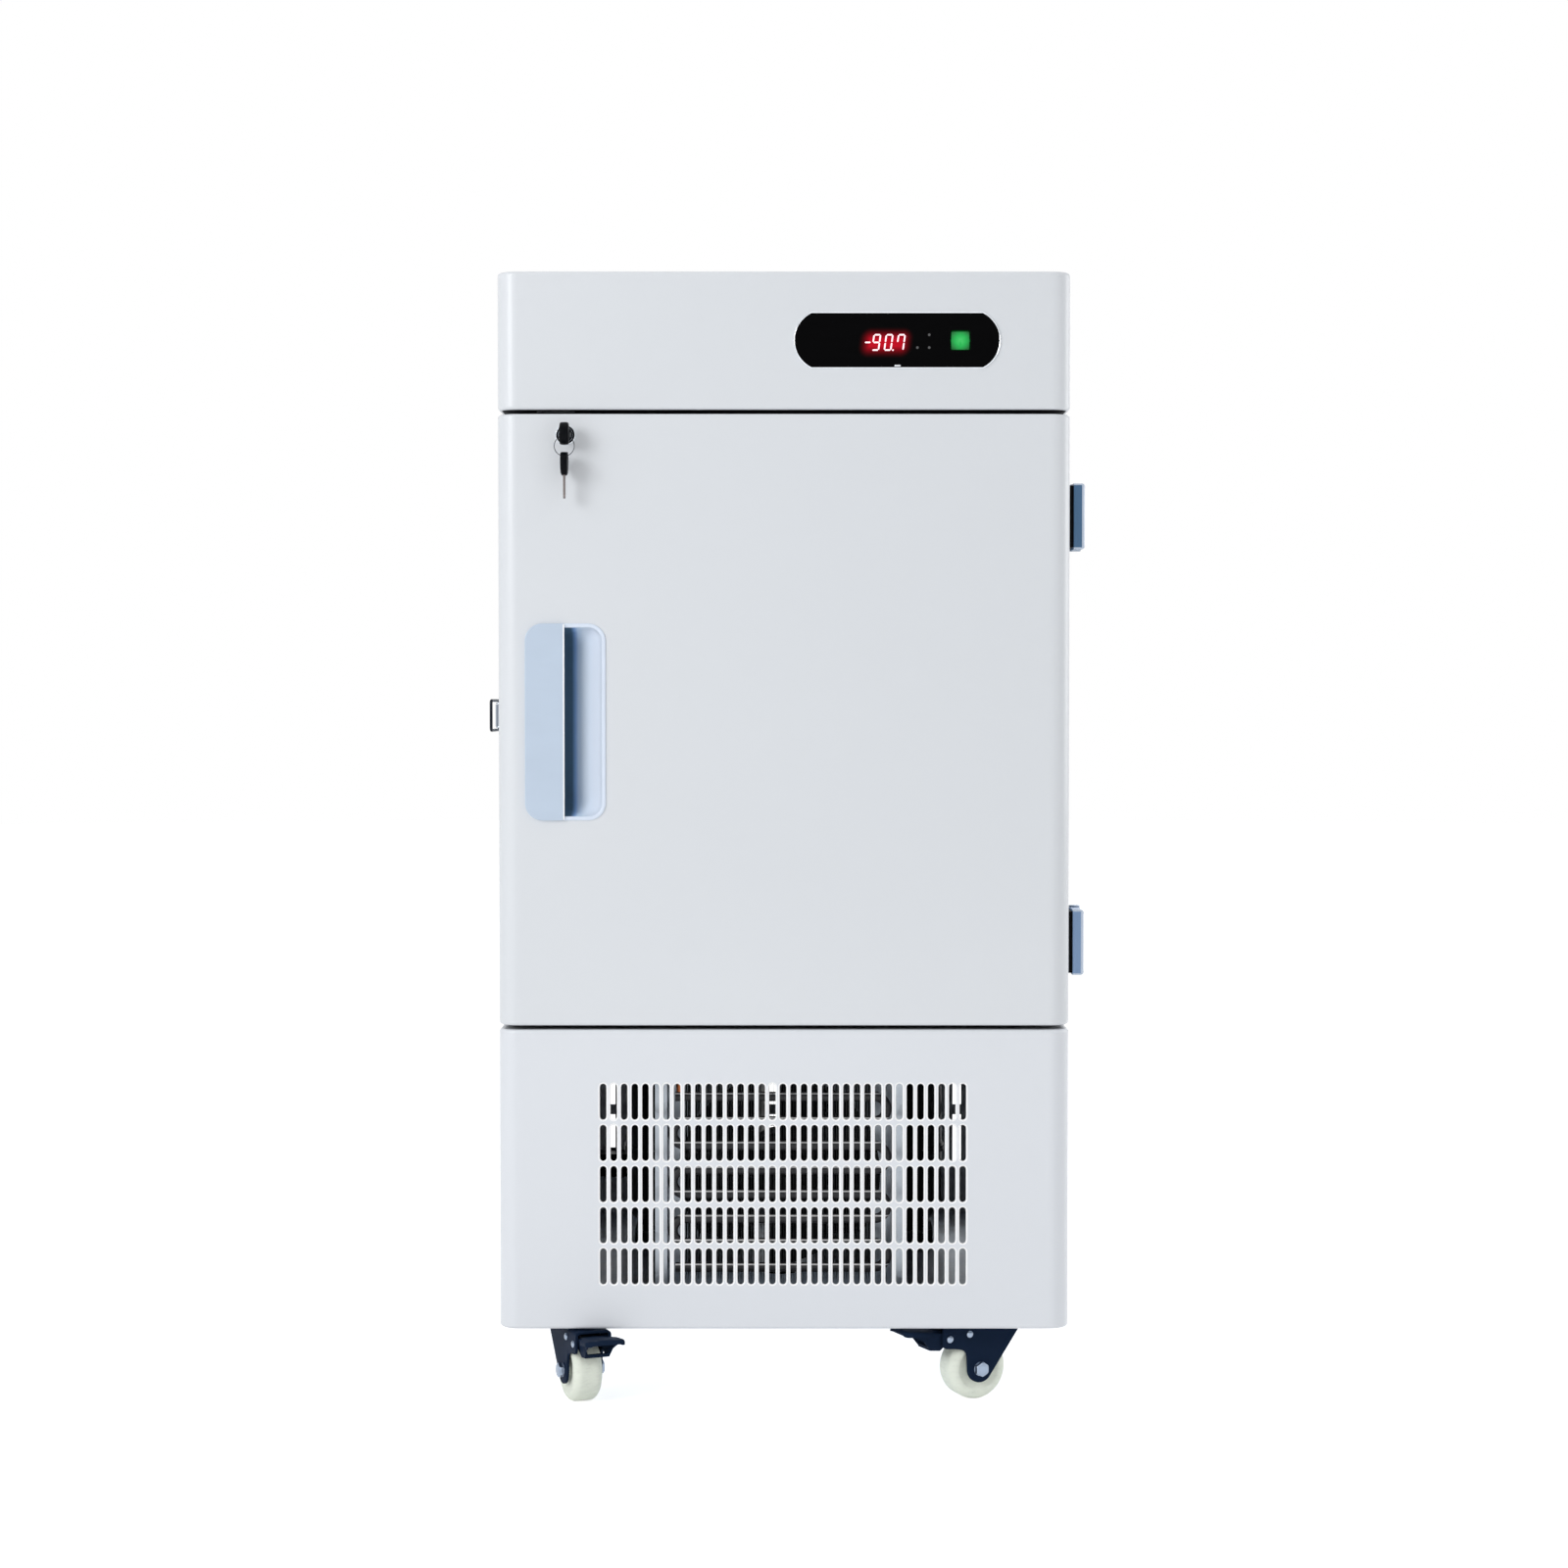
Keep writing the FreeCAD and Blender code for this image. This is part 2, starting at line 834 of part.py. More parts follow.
def base_tray():
    """Folded floor pan that carries the machine and the casters."""
    x0 = inside_left + D.fit_gap
    x1 = inside_right - D.fit_gap
    y0 = front + D.sheet_thickness + D.tray_front_gap
    y1 = inside_back
    wall = D.tray_thickness
    flange = tray_top + D.tray_flange
    pan = Piece("tray")
    pan.pad("XZ", y0, y1, [[
        (x0, D.tray_level), (x1, D.tray_level), (x1, flange), (x1 - wall, flange),
        (x1 - wall, tray_top), (x0 + wall, tray_top), (x0 + wall, flange), (x0, flange),
    ]])
    clear = D.corner_radius
    pan.pocket("XY", D.tray_level, flange, [
        rectangle(x0, x0 + clear, y0, y0 + clear),
        rectangle(x1 - clear, x1, y0, y0 + clear),
    ])
    keep(pan.done(), "base_tray")


def chamber_outline(margin):
    """Outline of the storage chamber, grown by a margin."""
    return rounded(chamber_left - margin, chamber_right + margin, chamber_bottom - margin,
                   chamber_top + margin, D.liner_radius + margin)


def front_frame():
    """Moulded frame that closes the foam round the chamber's mouth."""
    piece = Piece("frame")
    outer = rectangle(inside_left, inside_right, base_top, head_bottom)
    piece.pad("XZ", cabinet_front, frame_back, [outer, chamber_outline(D.liner_wall)])
    keep(piece.done(), "front_frame")


inner_door_front = cabinet_front + D.inner_door_setback
inner_door_back = inner_door_front + D.inner_door_thickness
shelf_front = inner_door_back + D.inner_door_gap


def inner_liner():
    """Seamless stainless chamber, open at the front, with the four shelf supports."""
    piece = Piece("liner")
    outer_back = chamber_back + D.liner_wall
    piece.pad("XZ", cabinet_front, outer_back, [chamber_outline(D.liner_wall)])
    piece.pocket("XZ", cabinet_front, chamber_back, [chamber_outline(size(0))])
    supports = []
    setback = D.shelf_lip + D.support_size
    for side, wall in (("left", chamber_left), ("right", chamber_right - D.support_size)):
        for end, y in (("front", shelf_front + setback), ("rear", chamber_back - setback * 2)):
            supports.append(block(f"support_{side}_{end}", (wall, wall + D.support_size),
                                  (y, y + D.support_size),
                                  (chamber_middle - D.support_size, chamber_middle)))
    keep(fuse("liner_solid", piece.done(), *supports), "inner_liner")


def cabinet_insulation():
    """Foam between the outer sheet and the chamber."""
    piece = Piece("foam")
    outer = rectangle(inside_left, inside_right, base_top, head_bottom)
    piece.pad("XZ", frame_back, inside_back, [outer])
    piece.pocket("XZ", frame_back, chamber_back + D.liner_wall, [chamber_outline(D.liner_wall)])
    keep(piece.done(), "cabinet_insulation")


def shelf():
    """Folded shelf with a lip turned down along its front."""
    x0 = chamber_left + D.shelf_side_gap
    x1 = chamber_right - D.shelf_side_gap
    y1 = chamber_back - D.shelf_side_gap
    z1 = chamber_middle + D.shelf_thickness
    z0 = z1 - D.shelf_lip
    wall = D.shelf_thickness
    piece = Piece("shelf")
    piece.pad("YZ", x0, x1, [[
        (shelf_front, z0), (shelf_front + wall, z0), (shelf_front + wall, chamber_middle),
        (y1, chamber_middle), (y1, z1), (shelf_front, z1),
    ]])
    keep(piece.done(), "shelf")


inner_door_left = chamber_left + D.inner_door_side_gap
inner_door_right = chamber_right - D.inner_door_side_gap
inner_hinge_x = inner_door_right - D.inner_door_radius
inner_hinge_y = inner_door_front + D.inner_door_radius
split = D.inner_door_gap / 2


def inner_door(name, z0, z1):
    """Foam-filled inner door that swings on two pins."""
    piece = Piece(name)
    piece.pad("XZ", inner_door_front, inner_door_back,
              [rectangle(inner_door_left, inner_door_right, z0, z1)])
    piece.fillet(D.inner_door_radius,
                 dict(x=inner_door_left, y=inner_door_front),
                 dict(x=inner_door_left, y=inner_door_back),
                 dict(x=inner_door_right, y=inner_door_front),
                 dict(x=inner_door_right, y=inner_door_back))
    depth = D.inner_pin_length + D.fit_gap
    bore = [(inner_hinge_x, inner_hinge_y, D.inner_pin_radius + D.running_gap)]
    piece.pocket("XY", z1 - depth, z1, circles=bore)
    piece.pocket("XY", z0, z0 + depth, circles=bore)
    keep(piece.done(), name)


def inner_door_brackets():
    """Three ears beside the right wall, with the pins that the inner doors swing on."""
    half = D.inner_ear_thickness / 2
    x0 = inner_hinge_x - D.inner_ear_reach
    x1 = inner_hinge_x + D.inner_ear_margin
    y = (inner_hinge_y - D.inner_ear_width / 2, inner_hinge_y + D.inner_ear_width / 2)
    low = chamber_bottom + split
    high = chamber_top - split
    ears = (
        ("low", x1, (chamber_bottom + D.inner_ear_lift, low + half), 0, 1),
        ("middle", chamber_right, (chamber_middle - half, chamber_middle + half), 1, 1),
        ("high", x1, (high - half, chamber_top - D.inner_ear_lift), 1, 0),
    )
    brackets = []
    for name, end, z, below, above in ears:
        ear = block("ear_" + name, (x0, end), y, z)
        pin = rod("ear_pin_" + name, "z", D.inner_pin_radius,
                  z[0] - below * D.inner_pin_length, z[1] + above * D.inner_pin_length,
                  x=inner_hinge_x, y=inner_hinge_y)
        brackets.append(fuse("bracket_" + name, ear, pin))
    keep(group("brackets", *brackets), "inner_door_brackets")


handle_left = left + D.handle_inset
handle_right = handle_left + D.handle_width
handle_top = door_top - D.handle_drop
handle_bottom = handle_top - D.handle_height
cup_mouth_radius = D.handle_radius - D.rim_width


def cup_section(margin, depth_fraction):
    """Section of the handle cup at its mouth (0) or at its floor (1), grown by a margin."""
    x0 = handle_left + D.rim_width - margin
    z0 = handle_bottom + D.rim_width - margin
    z1 = handle_top - D.rim_width + margin
    if depth_fraction == 0:
        return rounded(x0, handle_right - D.rim_width + margin, z0, z1, cup_mouth_radius + margin)
    x1 = x0 + D.cup_floor_width + margin * 2
    return rounded(x0, x1, z0 + D.cup_draft, z1 - D.cup_draft, cup_mouth_radius + margin)


def handle_cup():
    """Recessed handle cup with a rim on the door and a floor that slopes to the left."""
    piece = Piece("cup")
    piece.loft("AdditiveLoft", "XZ", (front, cup_section(D.cup_wall, 0)),
               (front + D.cup_depth + D.cup_wall, cup_section(D.cup_wall, 1)))
    piece.pad("XZ", front - D.rim_thickness, front,
              [rounded(handle_left, handle_right, handle_bottom, handle_top, D.handle_radius)])
    piece.pocket("XZ", front - D.rim_thickness, front, [cup_section(size(0), 0)])
    piece.loft("SubtractiveLoft", "XZ", (front, cup_section(size(0), 0)),
               (front + D.cup_depth, cup_section(size(0), 1)))
    keep(piece.done(), "handle_cup")


def handle_grip():
    """Grip plate over the left half of the cup."""
    x1 = handle_left + D.grip_width
    radius = D.handle_radius
    outline = [
        (handle_left + radius, handle_bottom),
        (x1, handle_bottom),
        (x1, handle_top),
        (handle_left + radius, handle_top),
        (handle_left, handle_top - radius, handle_left + radius, handle_top - radius, 1),
        (handle_left, handle_bottom + radius),
        (handle_left + radius, handle_bottom, handle_left + radius, handle_bottom + radius, 1),
    ]
    piece = Piece("grip")
    seat = front - D.rim_thickness
    piece.pad("XZ", seat - D.grip_thickness, seat, [outline])
    piece.fillet(D.grip_thickness / 4, dict(y=seat - D.grip_thickness))
    keep(piece.done(), "handle_grip")


def door_panel():
    """Outer skin of the door, with openings for the cup, the lock and the cam."""
    opening = Piece("cup_opening")
    opening.pad("XZ", front - D.edge_radius, front + D.edge_radius,
                [cup_section(D.cup_wall + D.fit_gap, 0)])
    barrel_hole = rod("barrel_hole", "y", D.barrel_radius + D.running_gap,
                      front - D.edge_radius, front + D.edge_radius, x=lock_x, z=lock_z)
    slot = cam_slot("door_slot", door_top - D.edge_radius, door_top + D.edge_radius)
    outer = rounded_front("door_outer", (left, right), (front, door_back),
                          (door_bottom, door_top), D.corner_radius, D.edge_radius)
    inner = rounded_front("door_inner", (inside_left, inside_right),
                          (front + D.sheet_thickness, door_back + D.edge_radius),
                          (door_bottom + D.sheet_thickness, door_top - D.sheet_thickness),
                          inner_corner_radius, inner_edge_radius)
    keep(cut("door_skin", outer, inner, opening.done(), barrel_hole, slot), "door_panel")


plug_left = chamber_left + D.plug_side_gap
plug_right = chamber_right - D.plug_side_gap
plug_bottom = chamber_bottom + D.plug_side_gap
plug_top = chamber_top - D.plug_side_gap
liner_front = door_back - D.door_liner_wall
plug_back = door_back + D.plug_depth


def plug_outline(margin):
    """Outline of the raised plug on the door's inner face, shrunk by a margin."""
    return rounded(plug_left + margin, plug_right - margin, plug_bottom + margin,
                   plug_top - margin, D.plug_radius - margin)


def door_liner():
    """Moulded inner face of the door with its raised plug."""
    piece = Piece("door_face")
    wall = D.door_liner_wall
    piece.pad("XZ", liner_front, door_back,
              [rounded(inside_left, inside_right, door_bottom + D.sheet_thickness,
                       door_top - D.sheet_thickness, inner_edge_radius)])
    piece.pad("XZ", door_back, plug_back, [plug_outline(size(0))])
    piece.fillet(D.plug_radius / 2, dict(y=plug_back))
    piece.pocket("XZ", liner_front, plug_back - wall, [plug_outline(wall)])
    keep(piece.done(), "door_liner")


def door_insulation():
    """Foam core of the door, with room for the cup, the lock and the cam."""
    wall = D.door_liner_wall
    core = rounded_front("core", (inside_left, inside_right),
                         (front + D.sheet_thickness, liner_front),
                         (door_bottom + D.sheet_thickness, door_top - D.sheet_thickness),
                         inner_corner_radius, inner_edge_radius)
    plug = Piece("core_plug")
    plug.pad("XZ", liner_front - wall, plug_back - wall, [plug_outline(wall)])
    cup_room = Piece("cup_room")
    reach = D.cup_wall + D.fit_gap
    cup_room.loft("AdditiveLoft", "XZ", (front, cup_section(reach, 0)),
                  (front + D.cup_depth + reach, cup_section(reach, 1)))
    barrel_room = rod("barrel_room", "y", D.barrel_radius + D.fit_gap, front,
                      cam_front, x=lock_x, z=lock_z)
    tail = cam_front + D.cam_thickness + D.cam_clearance
    cam_room = block("cam_room",
                     (lock_x - D.cam_length - D.cam_clearance,
                      lock_x + D.cam_width / 2 + D.cam_clearance),
                     (cam_front - D.cam_clearance, tail + D.cam_clearance),
                     (lock_z - D.barrel_radius, door_top))
    whole = fuse("core_whole", core, plug.done())
    keep(cut("door_core", whole, cup_room.done(), barrel_room, cam_room), "door_insulation")


def door_gasket():
    """Soft seal round the door's inner face."""
    margin = D.gasket_margin
    width = D.gasket_width
    x0 = left + margin
    x1 = right - margin
    z0 = door_bottom + margin
    z1 = door_top - margin
    piece = Piece("gasket")
    radius = D.gasket_corner
    piece.pad("XZ", door_back, cabinet_front - D.fit_gap, [
        rounded(x0, x1, z0, z1, radius),
        rounded(x0 + width, x1 - width, z0 + width, z1 - width, radius - width / 2),
    ])
    keep(piece.done(), "door_gasket")


def lock_barrel():
    """Fixed barrel of the lock with its bright flange."""
    flange_front = front - D.barrel_flange_thickness
    flange = rod("flange", "y", D.barrel_flange_radius, flange_front, front, x=lock_x, z=lock_z)
    tube = rod("tube", "y", D.barrel_radius, front, front + D.barrel_length, x=lock_x, z=lock_z)
    bore = rod("bore", "y", D.lock_plug_radius + D.running_gap, flange_front - D.edge_radius,
               front + D.barrel_length + D.edge_radius, x=lock_x, z=lock_z)
    keep(cut("barrel", fuse("barrel_solid", flange, tube), bore), "lock_barrel")


def blade_block(name, y0, y1, clearance):
    """The key's blade, or its keyway when a clearance is given."""
    half_thickness = D.blade_thickness / 2 + clearance
    half_width = D.blade_width / 2 + clearance
    return block(name, (lock_x - half_thickness, lock_x + half_thickness), (y0, y1),
                 (lock_z - half_width, lock_z + half_width))


flange_front = front - D.barrel_flange_thickness
blade_end = flange_front + D.blade_length - D.barrel_flange_thickness


def lock_plug():
    """Turning plug of the lock, with its keyway and the tail that carries the cam."""
    body = rod("plug_body", "y", D.lock_plug_radius, flange_front, cam_front,
               x=lock_x, z=lock_z)
    tail = rod("plug_tail", "y", D.plug_tail_radius, cam_front,
               cam_front + D.cam_thickness + D.cam_clearance / 2, x=lock_x, z=lock_z)
    keyway = blade_block("keyway", flange_front - D.edge_radius, blade_end + D.fit_gap,
                         D.blade_clearance)
    keep(cut("plug", fuse("plug_solid", body, tail), keyway), "lock_plug")


def lock_cam():
    """Cam on the plug's tail. It lies across the door when the lock is open."""
    cam_back = cam_front + D.cam_thickness
    hub = rod("cam_hub", "y", D.cam_width / 2 + D.edge_radius / 2, cam_front, cam_back,
              x=lock_x, z=lock_z)
    arm = block("cam_arm", (lock_x - D.cam_length + D.cam_width / 2, lock_x),
                (cam_front, cam_back), (lock_z - D.cam_width / 2, lock_z + D.cam_width / 2))
    tip = rod("cam_tip", "y", D.cam_width / 2, cam_front, cam_back,
              x=lock_x - D.cam_length + D.cam_width / 2, z=lock_z)
    hole = rod("cam_hole", "y", D.plug_tail_radius, cam_front - D.edge_radius,
               cam_back + D.edge_radius, x=lock_x, z=lock_z)
    keep(cut("cam", fuse("cam_solid", hub, arm, tip), hole), "lock_cam")


bow_y = front - D.key_reach + D.bow_radius
bow_back = bow_y + D.bow_radius
blade_root = bow_y + D.bow_hole_radius * 2
wire_rest = D.ring_wire_radius + D.fit_gap


def ring_sag():
    """How far the ring curves away from its end over half the thickness of a bow."""
    half = D.bow_thickness / 2
    return D.ring_radius - root(D.ring_radius * D.ring_radius - half * half)


bow_hole_z = lock_z - D.bow_hole_drop
ring_top = bow_hole_z - D.bow_hole_radius + wire_rest + ring_sag()
ring_z = ring_top - D.ring_radius
ring_bottom = ring_z - D.ring_radius
spare_hole_z = ring_bottom + wire_rest + ring_sag() - D.spare_hole_radius
spare_z = spare_hole_z + D.spare_hole_radius + D.spare_hole_margin - D.spare_bow_radius


def bow(name, radius, hole_radius, centre_z, hole_z, slot):
    """Round plastic head of a key, with the hole that the ring passes through."""
    x0 = lock_x - D.bow_thickness / 2
    x1 = lock_x + D.bow_thickness / 2
    head = Piece(name)
    head.pad("YZ", x0, x1, circles=[(bow_y, centre_z, radius)])
    head.fillet(D.bow_thickness / 5, dict(x=x0), dict(x=x1))
    hole = rod(name + "_hole", "x", hole_radius, x0 - D.edge_radius, x1 + D.edge_radius,
               y=bow_y, z=hole_z)
    return cut(name + "_cut", head.done(), hole, slot)


def keys():
    """The key in the lock, the wire ring and the spare key that hangs from it."""
    blade = blade_block("blade", blade_root, blade_end, 0)
    slot = blade_block("blade_slot", blade_root, bow_back + D.edge_radius, 0)
    keep(blade, "key_blade")
    keep(bow("key_head", D.bow_radius, D.bow_hole_radius, lock_z, bow_hole_z, slot), "key_bow")
    ring = document.addObject("Part::Torus", "ring")
    ring.Placement = FreeCAD.Placement(FreeCAD.Vector(), ALONG["y"])
    bind(ring, "Radius1", D.ring_radius)
    bind(ring, "Radius2", D.ring_wire_radius)
    set_position(ring, lock_x, bow_y, ring_z)
    keep(ring, "key_ring")
    spare_root = spare_z - D.spare_hole_radius
    spare_tip = spare_z - D.spare_bow_radius - D.spare_blade_length
    half_thickness = D.blade_thickness / 2
    half_width = D.blade_width / 2
    x = (lock_x - half_thickness, lock_x + half_thickness)
    y = (bow_y - half_width, bow_y + half_width)
    keep(block("spare_blade", x, y, (spare_tip, spare_root)), "spare_key_blade")
    slot = block("spare_slot", x, y, (spare_z - D.spare_bow_radius * 2, spare_root))
    keep(bow("spare_head", D.spare_bow_radius, D.spare_hole_radius, spare_z, spare_hole_z, slot),
         "spare_key_bow")


hinge_x = right + D.hinge_axis_out
hinge_y = door_back + D.hinge_axis_back
leaf_x = (hinge_x - D.knuckle_radius, hinge_x - D.knuckle_radius + D.hinge_leaf_thickness)
hinge_levels = (
    ("upper", door_top - D.upper_hinge_drop),
    ("lower", door_bottom + D.lower_hinge_rise),
)


def door_leaf(name, z):
    """Hinge block on the door: full height at the front, a knuckle above at the rear."""
    half = D.hinge_height / 2
    z0 = z - half
    z1 = z + half
    y0 = hinge_y - D.hinge_leaf_reach
    y1 = hinge_y - D.knuckle_radius - D.hinge_leaf_chamfer / 2
    plate = Piece(name + "_plate")
    plate.pad("XY", z0, z1, [rectangle(leaf_x[0], leaf_x[1], y0, y1)])
    plate.chamfer(D.hinge_leaf_chamfer, dict(x=leaf_x[1], y=y0), dict(x=leaf_x[1], z=z0),
                  dict(x=leaf_x[1], z=z1))
    low = z + D.fit_gap / 2
    bridge = block(name + "_bridge", leaf_x, (y1, hinge_y), (low, z1))
    knuckle = rod(name + "_knuckle", "z", D.knuckle_radius, low, z1, x=hinge_x, y=hinge_y)
    bore = rod(name + "_bore", "z", D.hinge_pin_radius + D.running_gap / 2, z0, z1 + half,
               x=hinge_x, y=hinge_y)
    return cut(name + "_leaf", fuse(name + "_solid", plate.done(), bridge, knuckle), bore)


def cabinet_leaf(name, z):
    """Hinge plate on the cabinet's side, with an arm to the lower knuckle."""
    half = D.hinge_height / 2
    z0 = z - half
    high = z - D.fit_gap / 2
    x1 = right + D.cabinet_leaf_thickness
    y0 = cabinet_front + D.panel_gap
    plate = Piece(name + "_rear_plate")
    plate.pad("XY", z0, z + half, [rectangle(right, x1, y0, y0 + D.cabinet_leaf_length)])
    plate.chamfer(D.hinge_leaf_chamfer, dict(x=x1, y=y0 + D.cabinet_leaf_length))
    arm = block(name + "_arm", (right + D.fit_gap, hinge_x), (y0, y0 + D.cabinet_leaf_thickness),
                (z0, high))
    web = block(name + "_web", (leaf_x[0], hinge_x), (hinge_y, y0 + D.cabinet_leaf_thickness),
                (z0, high))
    knuckle = rod(name + "_fixed_knuckle", "z", D.knuckle_radius, z0, high,
                  x=hinge_x, y=hinge_y)
    bore = rod(name + "_fixed_bore", "z", D.hinge_pin_radius, z0 - half, z + half,
               x=hinge_x, y=hinge_y)
    solid = fuse(name + "_fixed_solid", plate.done(), arm, web, knuckle)
    return cut(name + "_fixed_leaf", solid, bore)


def hinges():
    """Two hinges: door leaves on shims, cabinet leaves and pins."""
    moving, fixed, pins, shims = [], [], [], []
    half = D.hinge_height / 2
    for name, z in hinge_levels:
        moving.append(door_leaf(name, z))
        fixed.append(cabinet_leaf(name, z))
        shaft = rod(name + "_pin", "z", D.hinge_pin_radius, z - half, z + half + D.fit_gap,
                    x=hinge_x, y=hinge_y)
        head = rod(name + "_pin_head", "z", D.knuckle_radius, z + half + D.fit_gap,
                   z + half + D.fit_gap + D.hinge_pin_head, x=hinge_x, y=hinge_y)
        pins.append(fuse(name + "_pin_solid", shaft, head))
        edge = D.hinge_leaf_chamfer
        shims.append(block(name + "_shim", (right, leaf_x[0]),
                           (hinge_y - D.hinge_leaf_reach + edge, door_back - edge),
                           (z - half + edge, z + half - edge)))
    keep(group("moving_leaves", *moving), "hinge_door_leaves")
    keep(group("fixed_leaves", *fixed), "hinge_cabinet_leaves")
    keep(group("pins", *pins), "hinge_pins")
    keep(group("shims", *shims), "hinge_shims")


latch_y = cabinet_front + D.latch_pivot_back
latch_x = left - D.latch_pivot_out
half_lever = D.lever_width / 2
bail_x = left - D.bail_out
bail_y = latch_y + D.bail_offset


def latch_base():
    """Latch plate on the cabinet's side with two ears and the lever's pivot pin."""
    y0 = latch_y - D.latch_ear_radius * 2
    plate = block("latch_plate", (left - D.latch_plate_thickness, left),
                  (y0, y0 + D.latch_plate_length),
                  (D.latch_level - D.latch_plate_height / 2,
                   D.latch_level + D.latch_plate_height / 2))
    solids = [plate]
    ear_gap = half_lever + D.fit_gap
    ear_end = ear_gap + D.latch_plate_thickness
    radius = D.latch_ear_radius
    for name, sign in (("low", -1), ("high", 1)):
        levels = sorted((D.latch_level + ear_gap * sign, D.latch_level + ear_end * sign),
                        key=lambda level: level.value)
        solids.append(block("latch_foot_" + name, (latch_x, left),
                            (latch_y - radius, latch_y + radius), levels))
        solids.append(rod("latch_round_" + name, "z", radius, levels[0], levels[1],
                          x=latch_x, y=latch_y))
    solids.append(rod("latch_pin", "z", D.latch_pin_radius, D.latch_level - ear_end,
                      D.latch_level + ear_end, x=latch_x, y=latch_y))
    keep(fuse("latch_fixed", *solids), "latch_base")


def latch_lever():
    """Pressed channel lever with a tail to pull on."""
    x_out = left - D.lever_out
    x_in = x_out + D.lever_sheet
    flange_x = latch_x + D.latch_pin_radius * 2
    y0 = latch_y - D.latch_ear_radius
    y_flange = bail_y + D.latch_ear_radius
    y1 = y0 + D.lever_length
    low = D.latch_level - half_lever
    high = D.latch_level + half_lever
    channel = Piece("lever")
    channel.pad("XY", low, high, [rectangle(x_out, flange_x, y0, y_flange)])
    channel.fillet(D.lever_sheet, dict(x=x_out, y=y0), dict(x=flange_x, y=y0))
    channel.pocket("XZ", y0, y_flange,
                   [rectangle(x_in, flange_x, low + D.lever_sheet, high - D.lever_sheet)])
    taper = D.lever_width / 4
    tail = Piece("lever_tail")
    tail.pad("YZ", x_out, x_in, [[
        (y_flange - D.lever_sheet, low), (y1, low + taper), (y1, high - taper),
        (y_flange - D.lever_sheet, high),
    ]])
    pivot = rod("lever_bore", "z", D.latch_pin_radius + D.running_gap, low, high,
                x=latch_x, y=latch_y)
    bail_hole = rod("lever_bail_bore", "z", D.bail_wire_radius + D.running_gap, low, high,
                    x=bail_x, y=bail_y)
    solid = fuse("lever_solid", channel.done(), tail.done())
    keep(cut("lever_cut", solid, pivot, bail_hole), "latch_lever")


def latch_bail():
    """Wire bail that hooks the door's keeper. It rests just outside the hook."""
    wire = D.bail_wire_radius
    arm_z = half_lever + D.latch_plate_thickness + D.fit_gap * 3 + wire
    inner_z = half_lever - D.lever_sheet
    bend = wire * 2
    length = D.bail_length
    path = [
        (0, -inner_z),
        (0, -arm_z + bend),
        (-bend, -arm_z, -bend, -arm_z + bend, -1),
        (bend - length, -arm_z),
        (-length, bend - arm_z, bend - length, bend - arm_z, -1),
        (-length, arm_z - bend),
        (bend - length, arm_z, bend - length, arm_z - bend, -1),
        (-bend, arm_z),
        (0, arm_z - bend, -bend, arm_z - bend, -1),
        (0, inner_z),
    ]
    piece = Piece("bail")
    piece.pipe("YZ", 0, path, wire, "XY", (-inner_z, 0, 0))
    bail = piece.done()
    turn_about(bail, Z_AXIS, -D.bail_tilt)
    set_position(bail, bail_x, bail_y, D.latch_level)
    keep(bail, "latch_bail")


def latch_keeper():
    """Keeper on the door's side: a plate with a hook that opens to the front."""
    wall = D.latch_plate_thickness
    y1 = door_back - D.keeper_hook_back
    y0 = y1 - D.keeper_length
    hook_y = bail_y - D.bail_length + D.keeper_hook_back
    x_plate = left - wall
    x_hook = x_plate - D.keeper_hook_height
    piece = Piece("keeper")
    piece.pad("XY", D.latch_level - half_lever, D.latch_level + half_lever, [[
        (x_plate, y0), (left, y0), (left, y1), (x_plate, y1),
        (x_plate, hook_y + wall), (x_hook, hook_y + wall), (x_hook, hook_y - wall),
        (x_hook + wall, hook_y - wall), (x_hook + wall, hook_y), (x_plate, hook_y),
    ]])
    keep(piece.done(), "latch_keeper")


coil_front = front + D.coil_setback
coil_back = coil_front + D.coil_depth
coil_highest = D.coil_lowest + D.coil_pitch * (D.coil_rows - 1)
end_left = D.coil_left - D.bend_room
end_right = D.coil_right + D.bend_room


def condenser_fins():
    """Fin pack with a groove along its face for every run of the tube."""
    piece = Piece("fins")
    z0 = D.coil_lowest - D.coil_pitch / 2
    z1 = coil_highest + D.coil_pitch / 2
    piece.pad("XZ", coil_front, coil_back, [rectangle(D.coil_left, D.coil_right, z0, z1)])
    groove = piece.pocket("YZ", D.coil_left, D.coil_right, circles=[
        (coil_front, D.coil_lowest, D.coil_tube_radius + D.running_gap)])
    piece.repeat_grid([groove], "Z", (D.coil_pitch,), (D.coil_rows,))
    keep(piece.done(), "condenser_fins")


def condenser_tube():
    """Serpentine tube that lies in the grooves of the fin pack."""
    rise = D.coil_pitch
    bend = rise / 2
    x_left = D.coil_left
    x_right = D.coil_right
    x_open = x_left - D.pipe_radius * 2 - D.fit_gap * 6
    steps = [(x_open, D.coil_lowest)]
    for row in range(int(D.coil_rows.value)):
        z = D.coil_lowest + rise * row
        end, turn = (x_right, 1) if row % 2 == 0 else (x_left, -1)
        last = row == int(D.coil_rows.value) - 1
        steps.append((x_open if last else end, z))
        if not last:
            steps.append((end, z + rise, end, z + bend, turn))
    piece = Piece("tube")
    piece.pipe("XZ", coil_front, steps, D.coil_tube_radius, "YZ",
               (x_open, coil_front, D.coil_lowest))
    keep(piece.done(), "condenser_tube")


fan_x = (D.coil_left + D.coil_right) / 2
fan_z = (D.coil_lowest + coil_highest) / 2
shroud_y = front + D.shroud_setback
fan_y = shroud_y + D.fan_gap + D.fan_hub_length / 2


